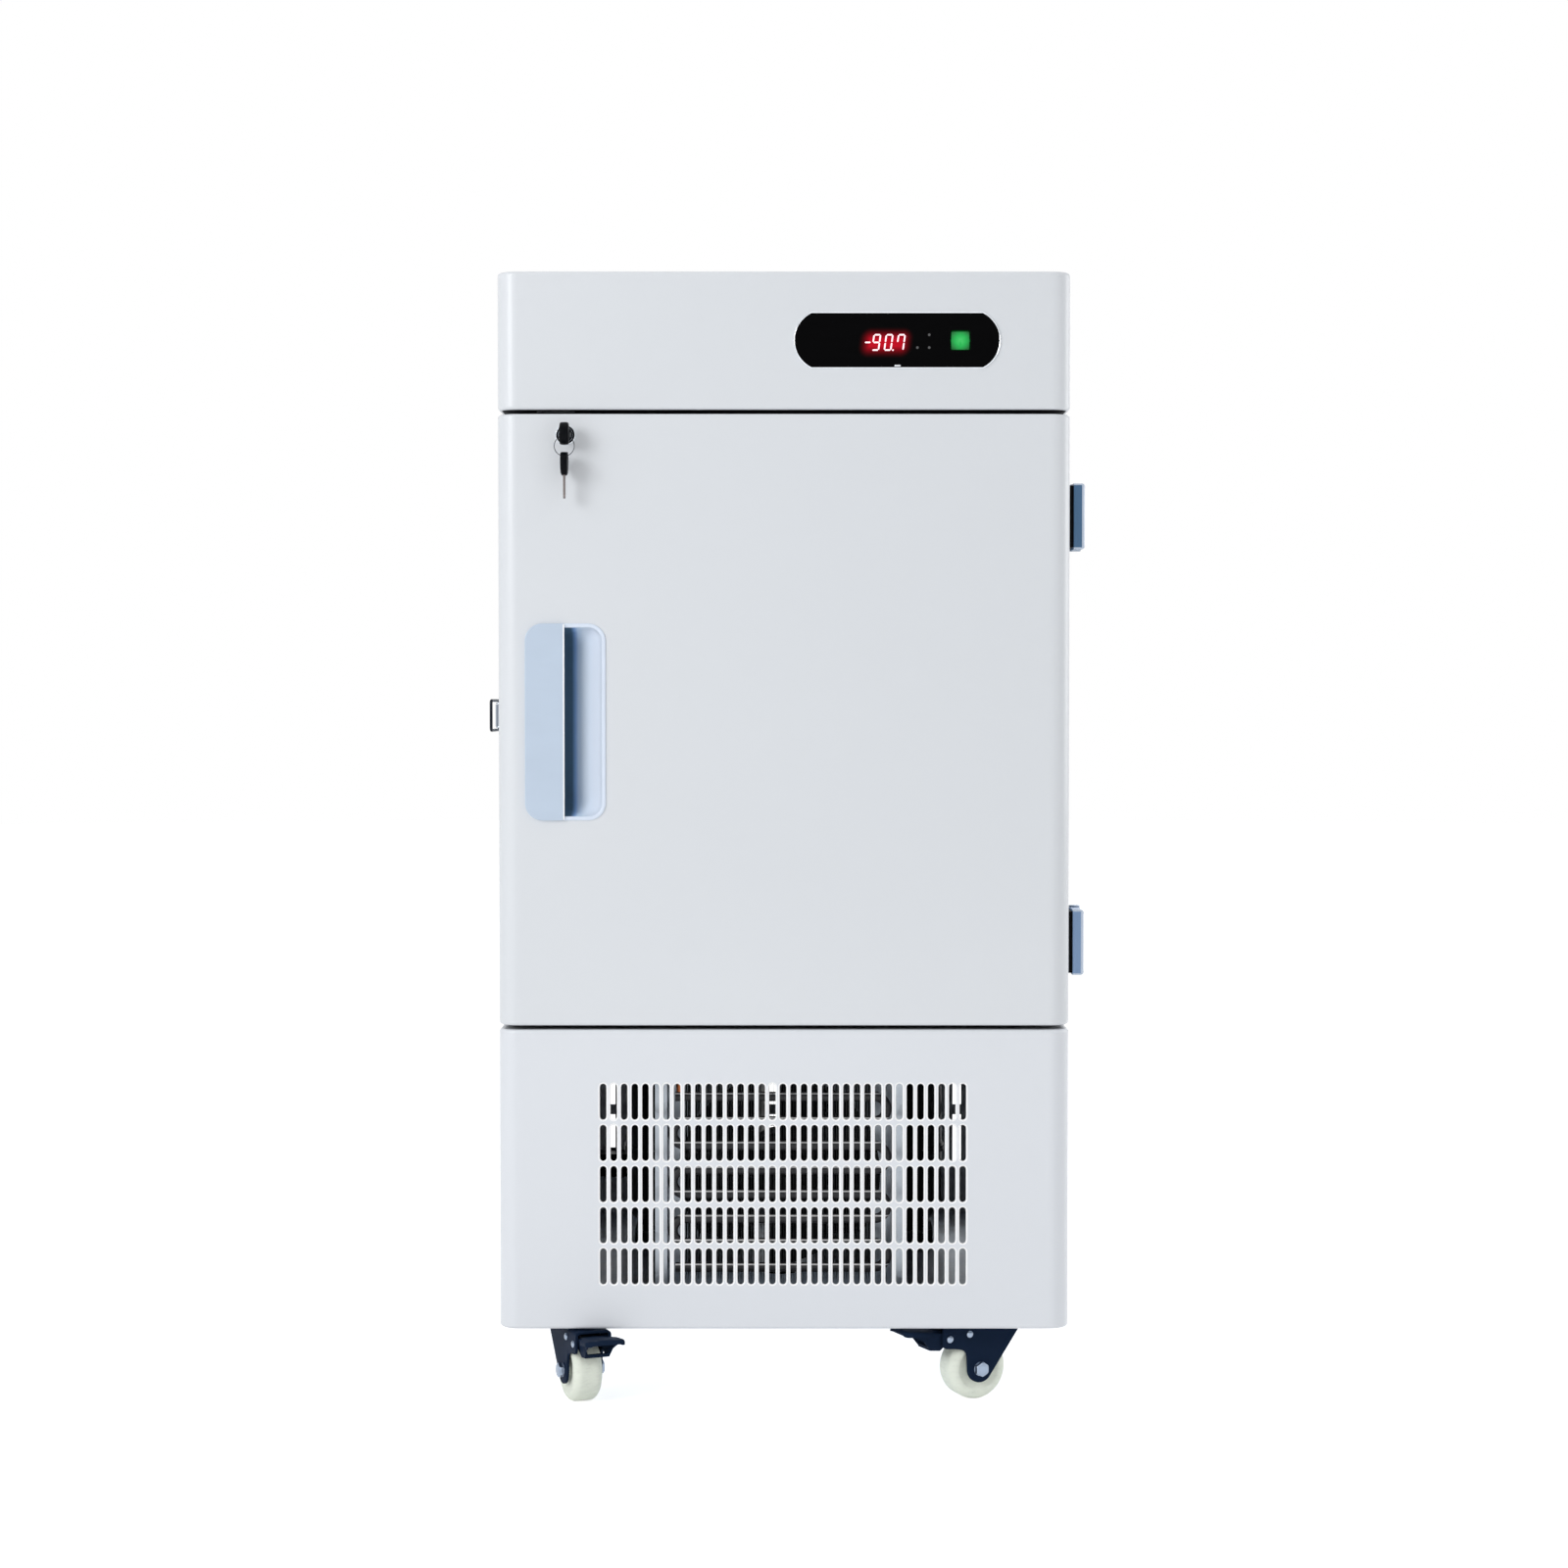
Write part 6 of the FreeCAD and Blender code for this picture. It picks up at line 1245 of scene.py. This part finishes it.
class FREEZER_OT_hinges(bpy.types.Operator):
    """Two hinges: bevelled leaves, knuckles that meet halfway and capped pins"""

    bl_idname = "freezer.hinges"
    bl_label = "Hinges"

    def execute(self, context):
        axis = axis_of("door_swing")
        knuckle, bore, gap = 5.5, 3.15, 0.3
        half, leaf_width = 32.5, 36
        door_low, door_high = corners("door_panel")
        leaf_low, leaf_high = corners("hinge_door_leaves")
        fixed_low, fixed_high = corners("hinge_cabinet_leaves")
        shim_low, shim_high = corners("hinge_shims")
        thick = leaf_high[0] - leaf_low[0]
        y0, y1 = leaf_low[1], axis[1] - knuckle - 1.0
        plate_low = fixed_high[1] - leaf_width

        def bevelled(row, column):
            return (row > 0) & (row < 5) | (row == 0) & (column % 4 < 3)

        def on_side(shape, box_low):
            return shape.facing("right", (box_low[0], 0, 0))

        moving = fixed = pins = shims = 0
        for z in (door_high[2] - 97, door_low[2] + 78):
            top = z + half
            block = rounded(y1 - y0, half * 2, 1.8, 3, ((y0 + y1) / 2, z))
            # The leaf's bevel faces take the painted highlight finish.
            moving += on_side(slab(block, 0.0, thick, 3.0, 4, lower=False).dressed(
                len(block), bevelled, 1), leaf_low)
            bridge = rectangle(y1 - 1, axis[1] - 3.6, z + gap, top - 0.6)
            moving += on_side(slab(bridge, 0.4, thick - 0.4, 0.3), leaf_low)
            barrel = np.array([(bore, z + gap / 2), (knuckle - 0.5, z + gap / 2),
                               (knuckle, z + gap / 2 + 0.5), (knuckle, top - 0.5),
                               (knuckle - 0.5, top), (bore, top)])
            moving += lathe(barrel, 32, axis[:2], True)
            barrel[:, 1] = 2 * z - barrel[:, 1]
            fixed += lathe(barrel, 32, axis[:2], True)
            plate = rounded(leaf_width, half * 2, 1.5, 3, (plate_low + leaf_width / 2, z))
            fixed += on_side(slab(plate, 0.0, 6, 1.6, 4, lower=False), fixed_low)
            arm = rectangle(fixed_low[0] + 1, axis[0], plate_low + 0.2, plate_low + 5.8)
            web = rectangle(leaf_low[0], axis[0], axis[1], plate_low + 5.8)
            for outline in (arm, web):
                fixed += slab(outline, z - half + 0.4, z - gap, 0.4)
            cap = top + gap
            pins += lathe([(0, z - half), (3, z - half), (3, cap), (knuckle, cap),
                           (knuckle, cap + 0.9), (knuckle - 0.8, cap + 1.5), (0, cap + 1.5)],
                          32, axis[:2])
            pad = rounded(shim_high[1] - shim_low[1], half * 2 - 4, 0.8, 3,
                          ((shim_low[1] + shim_high[1]) / 2, z))
            shims += on_side(slab(pad, 0.0, shim_high[0] - shim_low[0], 0.3), shim_low)
        make("door_leaves", moving, "door", ("hinge_paint", "hinge_edge"), "hinge_door_leaves")
        make("fixed_leaves", fixed, "cabinet", "hinge_paint", "hinge_cabinet_leaves")
        make("pins", pins, "cabinet", "zinc_steel", "hinge_pins")
        make("spacers", shims, "door", "shim_paint", "hinge_shims")
        return {"FINISHED"}


class FREEZER_OT_latch(bpy.types.Operator):
    """Toggle latch: plate with ears, pressed lever, wire bail and the keeper on the door"""

    bl_idname = "freezer.latch"
    bl_label = "Toggle latch"

    def execute(self, context):
        pivot = axis_of("latch_lever_swing")
        hook = axis_of("latch_bail_swing")
        low, high = corners("latch_base")
        level, side, thick = pivot[2], high[0], 1.5
        screws = [(5 - high[1], level + way * 17) for way in (-1, 1)]
        outline = rounded(high[1] - low[1], high[2] - low[2], 4, 5,
                          (-(low[1] + high[1]) / 2, level))
        plate = pierced(outline, [circle(1.9, 16, screw) for screw in screws], 0.0, thick, 0.35)
        base = plate.facing("left", (side, 0, 0))
        turn = np.linspace(2 * math.pi, math.pi, 15)
        nose = np.stack([np.sin(turn), np.cos(turn)], axis=1) * 4 + pivot[:2]
        ear = np.vstack([[(side, pivot[1] - 4), (side, pivot[1] + 4)], nose])
        dome = np.array([(3.2, 0.0), (3.1, 0.3), (2.4, 0.9), (1.2, 1.25), (0, 1.3)])
        for way, screw in zip((-1, 1), screws):
            inner, outer, end = (level + way * reach for reach in (11.3, 12.8, 13.6))
            base += slab(ear, *sorted((inner, outer)), 0.2, 2)
            base += slab(circle(2.4, 20, pivot[:2]), *sorted((outer, end)), 0.35)
            base += lathe(dome, 20, screw).facing("left", (side - thick, 0, 0))
        base += slab(circle(1.45, 16, pivot[:2]), level - 12.8, level + 12.8)
        make("latch_plate", base, "cabinet", "rim_chrome", "latch_base")

        low, high = corners("latch_lever")
        outer, inner = low[0], high[0]
        flange_end = hook[1] + 4
        along = low[1] + (high[1] - low[1]) * np.linspace(0, 1, 33) ** 1.6
        wing = np.array([(1, 1.0), (1, 0.5), (1, 0.14), (0.93, 0.03), (0.8, 0.0), (0.4, 0.0)])
        section = np.vstack([wing * (-1, 1), [(0, 0)], wing[::-1]])
        past = np.clip((along - flange_end) / (high[1] - flange_end), 0, 1)
        wall = np.where(along <= flange_end, 1.0, 0.16 * (1 - past) + 0.05)
        nose = np.clip((along - low[1]) / 7, 0, 1)
        bend = 0.8 - 0.8 * np.sqrt(1 - (1 - nose) ** 2)
        half = 11 - 5.0 * past ** 1.6
        depth = inner - outer - 1.0
        reach = bend[:, None] + section[None, :, 1] * (wall * (1 - bend))[:, None]
        points = np.stack([outer + 0.7 + depth * reach, np.broadcast_to(along[:, None], (33, 13)),
                           level + section[None, :, 0] * (half[:, None] - 0.7)], axis=2)
        lever = make("latch_handle", grid(points), "latch_lever", "rim_chrome", "latch_lever")
        thicken(lever, 1.3)

        low, high = corners("latch_bail")
        arm = (high[2] - low[2]) / 2 - 1.5
        reach = 54
        path = route([(0, 0, -9.5), (0, 0, -arm), (0, -reach, -arm), (0, -reach, arm),
                      (0, 0, arm), (0, 0, 9.5)], 3)
        bail = tube(path, 1.5, (1, 0, 0), 12).turned("z", -4).moved(hook[0], hook[1], level)
        make("latch_wire", bail, "latch_bail", "dark_chrome", "latch_bail")

        low, high = corners("latch_keeper")
        bend_y = hook[1] - 49.75
        x_plate, x_hook = high[0] - 0.75, low[0] + 0.75
        path = route([(x_plate, high[1] - 0.5, 0), (x_plate, bend_y, 0), (x_hook, bend_y, 0),
                      (x_hook, bend_y - 2.25, 0)], 1.1, 5)
        beside = np.cross(directions(path), (0, 0, 1)) * 0.75
        strip = np.vstack([path + beside, (path - beside)[::-1]])[:, :2]
        keeper = slab(strip, level - 11, level + 11)
        pad = rounded(20, 22, 2, 4, (10.75 - bend_y, level))
        keeper += slab(pad, 0.0, 1.5, 0.3).facing("left", (high[0], 0, 0))
        make("latch_catch", keeper, "door", "rim_chrome", "latch_keeper")
        return {"FINISHED"}


CASTERS = ("front_left", "front_right", "rear_left", "rear_right")
# Of one caster: along its heading from the swivel axis, and up from the floor
WHEEL_AXLE = (28, 31.5)
BRAKE_PIN = (40, 67)
STOP_PIN = (62, 63.6)
FORK_HALF = 18.5
PLATE_LOW, PLATE_HIGH = 85.5, 88
SCREWS = [(x, y) for x in (-23, 23) for y in (-23, 23)]


def heading(name):
    """Which way a caster trails, in degrees, from its swivel axis to its wheel's."""
    swivel, wheel = axis_of(name + "_caster_swivel"), axis_of(name + "_wheel_spin")
    return math.degrees(math.atan2(wheel[1] - swivel[1], wheel[0] - swivel[0]))


def fork_shape(braked):
    """Pressed fork about its swivel axis: the section is a bridge with bent shoulders and two legs.
    A leg's lower end runs down a straight heel to the round foot and up to the toe. Where there is
    a brake the fork reaches out over it as a lower hood."""
    crown, foot_radius = 80.25, 13.6
    foot_x, axle = 28.6, WHEEL_AXLE[1]
    heel = np.array([-22, 78.5])
    from_foot = heel - (foot_x, axle)
    tangent = math.atan2(*from_foot[::-1]) + math.acos(foot_radius / np.linalg.norm(from_foot))
    turn = np.linspace(tangent, 2 * math.pi, 18)
    foot = np.stack([np.cos(turn), np.sin(turn)], axis=1) * foot_radius + (foot_x, axle)
    slope = heel + (foot[0] - heel) * np.linspace(0, 1, 9)[:-1, None]
    if braked:
        toe = np.array([(42.6, 44), (43.4, 47.4), (45.4, 50.2), (48.6, 51.9), (53, 53), (60, 53.8),
                        (66, 54.2), (68.4, 55.4), (69.6, 58)])
    else:
        toe = np.array([(43, 40), (44.2, 50), (45.4, 60), (46.4, 66), (48, 70)])
    lower = np.vstack([slope, foot, toe])
    along = lower[:, 0]
    fall = np.clip((along - 30) / 20, 0, 1)
    roof = crown - (4.9 if braked else 0.0) * fall * fall * (3 - 2 * fall)
    width, bend = 17.25, 3.5
    turn = np.linspace(0, math.pi / 2, 5)
    over = np.concatenate([[0.0, width * 0.4], width - bend + bend * np.sin(turn),
                           np.full(5, width)])
    share = np.linspace(0, 1, 6)[1:]
    bottom = np.minimum(lower[:, 1], roof - bend - 0.2)
    height = np.concatenate([
        np.repeat(roof[:, None], 2, axis=1), roof[:, None] - bend + bend * np.cos(turn),
        (roof - bend)[:, None] + (bottom - roof + bend)[:, None] * share], axis=1)
    half = np.stack([np.repeat(along[:, None], 12, axis=1), np.tile(over, (len(along), 1)),
                     height], axis=2)
    other = half[:, ::-1] * (1, -1, 1)
    return grid(np.concatenate([other[:, :-1], half], axis=1))


def fork_fittings(braked):
    """Ball race, and the axle bolt with its nut and washers and the brake's pin and rivets, about
    the swivel axis."""
    race = lathe([(10.3, 78.4), (22.5, 78.4), (23.0, 79.5), (22.6, 81.9), (19.5, 82.3),
                  (18.0, 84.8), (16.6, 85.2), (14.2, 84.9), (12.0, 83.2), (10.3, 82.6)], 40,
                 closed=True)
    rivet = lathe([(3.6, 0), (3.5, 0.6), (2.6, 1.3), (0.0, 1.6)], 20)

    def across(shape, place, side=0.0, facing="front"):
        return shape.facing(facing, (place[0], side * FORK_HALF, place[1]))

    def rod(radius, count):
        return slab(circle(radius, count), -FORK_HALF, FORK_HALF)

    bolts = across(rod(3.95, 20), WHEEL_AXLE)
    for side, facing in ((-1, "front"), (1, "back")):
        bolt = hexagon_bolt(13, 4.2, 0.9)
        if side > 0:
            bolt += slab(circle(3.9, 20), 4.9, 5.25, 0.15)
        bolts += across(bolt, WHEEL_AXLE, side, facing)
        if braked:
            bolts += across(rivet, BRAKE_PIN, side, facing) + across(rivet, STOP_PIN, side, facing)
    if braked:
        bolts += across(rod(2.5, 16), BRAKE_PIN)
    return race, bolts


def wheel_shape():
    """Wheel about its own axis: a hub, a web set back and a tread with round shoulders."""
    hub = np.array([(4.15, -15.6), (8.4, -15.6), (9.0, -15.0), (9.0, -13.2), (11.0, -12.6),
                    (18.5, -12.6), (20.6, -13.9), (21.6, -14.6), (23.0, -14.8)])
    bend = np.linspace(0, math.pi / 2, 9)[1:]
    tread = np.stack([23.0 + 8.5 * np.sin(bend), -7.3 - 7.5 * np.cos(bend)], axis=1)
    half = np.vstack([hub, tread])
    profile = np.vstack([half, [(31.5, 0.0)], half[::-1] * (1, -1)])
    return lathe(profile, 56, closed=True).facing("front")


def pedal_shape():
    """Tread of the brake pedal about the swivel axis: it stays narrow under the fork's hood, widens
    in a smooth step and rises to a rounded tip; both edges turn down a little."""
    share = 1 - np.linspace(1, 0, 49) ** 1.5
    along = 40 + 70.8 * share
    rise = share * share * (3 - 2 * share)
    flare = np.clip((share - 0.42) / 0.30, 0, 1)
    half = 11.6 + 1.6 * share + 6.4 * flare * flare * (3 - 2 * flare)
    half = half * np.sqrt(1 - np.clip((share - 0.88) / 0.12, 0, 1) ** 3 * 0.45)
    curl = 3.4 * (1 - np.sqrt(1 - np.clip((share - 0.955) / 0.0451, 0, 1) ** 2))
    level = 67.6 + 6.0 * rise - curl
    side = np.array([(-1.0, 4.4), (-1.0, 3.2), (-1.0, 1.8), (-0.97, 0.6), (-0.9, 0.08), (-0.5, 0),
                     (-0.2, -0.5)])
    section = np.vstack([side, [(0, -0.7)], side[::-1] * (-1, 1)])
    lip = np.clip((share - 0.35) / 0.2, 0.45, 1) * (1 - curl / 3.4)
    drop = section[None, :, 1] * lip[:, None]
    points = np.stack([np.repeat(along[:, None], 15, axis=1), half[:, None] * section[None, :, 0],
                       level[:, None] - drop], axis=2)
    return grid(points)


def pedal_box():
    """Under the tread: its hub, two cheeks that lean inwards, a sloping wall with an opening
    between them, and the arm of the brake's shoe."""
    def frame_of(top, bottom, rise):
        return np.array([(-bottom, -rise), (bottom, -rise), (top, rise), (-top, rise)])

    wall = pierced(frame_of(16.2, 12.4, 8.5), [frame_of(13.2, 10.2, 5.0)], -0.9, 0.9)
    shape = wall.facing("right").turned("y", 16).moved(83, 0, 61.2)
    outline = np.array([(61, 60), (70, 51.5), (81, 52.6), (88, 62), (102, 69.4), (102, 72),
                        (61, 69)])
    for side in (-1, 1):
        cheek = slab(outline, -0.8, 0.8, 0.3, 2).facing("front")
        shape += cheek.turned("x", -side * 10, (0, 0, 70)).moved(y=side * 14.9)
    arm = slab(rounded(32, 8, 2, 3), -1.4, 1.4, 0.4, 2)
    hub = lathe([(2.7, -15.4), (3.8, -15.4), (4.0, -15.0), (4.0, 15.0), (3.8, 15.4),
                 (2.7, 15.4)], 20, closed=True)
    hub = hub.facing("front", (BRAKE_PIN[0], 0, BRAKE_PIN[1]))
    return shape + arm.turned("y", -5).moved(63, 0, 65.6) + hub


class FREEZER_OT_casters(bpy.types.Operator):
    """Four swivel casters: plates, bolts, pressed forks, wheels and the front two's pedals"""

    bl_idname = "freezer.casters"
    bl_label = "Casters"

    def execute(self, context):
        holes = [circle(3.2, 16, screw) for screw in SCREWS]
        outline = rounded(60, 60, 5, 5)
        plate = pierced(outline, holes, PLATE_LOW, PLATE_HIGH, 0.6) + lathe(
            [(0, 86), (10, 86), (10, 78.2), (14, 78.2), (13.6, 76.6), (11.5, 75.5), (5.0, 75.2),
             (4.6, 76.2), (0, 76.2)])
        screw = hexagon_bolt(9.4, 2.7, 0.7)
        screws = sum(screw.facing("bottom", (*place, PLATE_LOW))
                     + slab(circle(2.95, 16, place), PLATE_LOW, PLATE_HIGH)
                     for place in SCREWS)
        plates = bolts = 0
        for name in CASTERS:
            x, y, _ = axis_of(name + "_caster_swivel")
            plates += plate.moved(x, y)
            bolts += screws.moved(x, y)
            braked = name.startswith("front")
            turn = heading(name)

            def fitted(shape):
                return shape.turned("z", turn).moved(x, y)

            race, fittings = fork_fittings(braked)
            body = name + "_fork"
            fork = make(body, fitted(fork_shape(braked)), body, "fork_paint",
                        name + "_caster_fork")
            thicken(fork, 2.5, 0.45)
            make(name + "_race", fitted(race), body, "fork_paint")
            make(name + "_axle", fitted(fittings), body, "zinc_steel")
            body = name + "_wheel"
            wheel = wheel_shape().turned("z", turn).moved(*axis_of(body + "_spin"))
            make(body, wheel, body, "wheel_rubber", name + "_caster_wheel")
            if braked:
                body = name + "_pedal"
                pedal = make(body, fitted(pedal_shape()), body, "fork_paint",
                             name + "_brake_pedal")
                thicken(pedal, 1.9, 0.4)
                make(body + "_hub", fitted(pedal_box()), body, "fork_paint")
        make("caster_top_plates", plates, "cabinet", "zinc_steel", "caster_plates")
        make("caster_screws", bolts, "cabinet", "zinc_steel", "caster_bolts")
        return {"FINISHED"}


class FREEZER_OT_finishes(bpy.types.Operator):
    """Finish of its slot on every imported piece"""

    bl_idname = "freezer.finishes"
    bl_label = "Finishes"

    def execute(self, context):
        for node in NODES.values():
            for slot in node.material_slots:
                slot.material = material(slot.material.name.split(".")[0])
        return {"FINISHED"}


class FREEZER_OT_condenser(bpy.types.Operator):
    """Condenser behind the grille: thin fins in place of the imported block, and a finish for the
    bent tube through them
    """

    bl_idname = "freezer.condenser"
    bl_label = "Condenser"

    def execute(self, context):
        size = sizes()
        low, high = corners("condenser_fins")
        gap = 0.3
        middle = np.linspace(low[0] + gap, high[0] - gap, size.fins)
        x = middle[:, None] + np.array([-1, 1]) * 0.12
        ripple = 0.35 * np.sin(np.arange(size.fins) * 2.4)
        right, back, top = np.array([(0, 0, 0), (1, 0, 0), (1, 1, 0), (0, 1, 0),
                                     (0, 0, 1), (1, 0, 1), (1, 1, 1), (0, 1, 1)]).T
        faces = np.array([(0, 3, 2, 1), (4, 5, 6, 7), (0, 1, 5, 4), (1, 2, 6, 5), (2, 3, 7, 6),
                          (3, 0, 4, 7)])
        points = np.empty((size.fins, 8, 3))
        points[..., 0] = x[:, right]
        points[..., 1] = np.where(back, high[1], low[1] + 0.4 + ripple[:, None])
        points[..., 2] = np.where(top, high[2], low[2])
        numbers = faces[None] + np.arange(size.fins)[:, None, None] * 8
        make("fins", Shape(points, [numbers.reshape(-1, 4)]), "cabinet", "condenser_aluminium",
             "condenser_fins")
        # The tube gets the dark finish with its painted highlight lines.
        NODES["condenser_tube"].data.materials[0] = material("tube_paint")
        return {"FINISHED"}


STEPS = (
    FREEZER_OT_finishes, FREEZER_OT_control_head, FREEZER_OT_door_panel, FREEZER_OT_base_panel,
    FREEZER_OT_display, FREEZER_OT_handle, FREEZER_OT_lock, FREEZER_OT_hinges, FREEZER_OT_latch,
    FREEZER_OT_casters, FREEZER_OT_condenser, FREEZER_OT_stage,
)


class FREEZER_PT_build(bpy.types.Panel):
    """Steps of the build"""

    bl_label = "Freezer"
    bl_idname = "FREEZER_PT_build"
    bl_space_type = "VIEW_3D"
    bl_region_type = "UI"
    bl_category = "Freezer"

    def draw(self, context):
        for step in STEPS:
            self.layout.operator(step.bl_idname)


CLASSES = (FREEZER_PG_colours, FREEZER_PG_sizes, *STEPS, FREEZER_PT_build)


def register():
    """Makes the classes and the scene's colours and sizes known to Blender."""
    for kind in CLASSES:
        bpy.utils.register_class(kind)
    bpy.types.Scene.freezer_colours = PointerProperty(type=FREEZER_PG_colours)
    bpy.types.Scene.freezer_sizes = PointerProperty(type=FREEZER_PG_sizes)


def unregister():
    """Takes them away again."""
    del bpy.types.Scene.freezer_sizes
    del bpy.types.Scene.freezer_colours
    for kind in reversed(CLASSES):
        bpy.utils.unregister_class(kind)


def main():
    """Builds every piece in order."""
    register()
    for step in STEPS:
        getattr(bpy.ops.freezer, step.bl_idname.split(".")[1])()


if __name__ == "__main__":
    main()
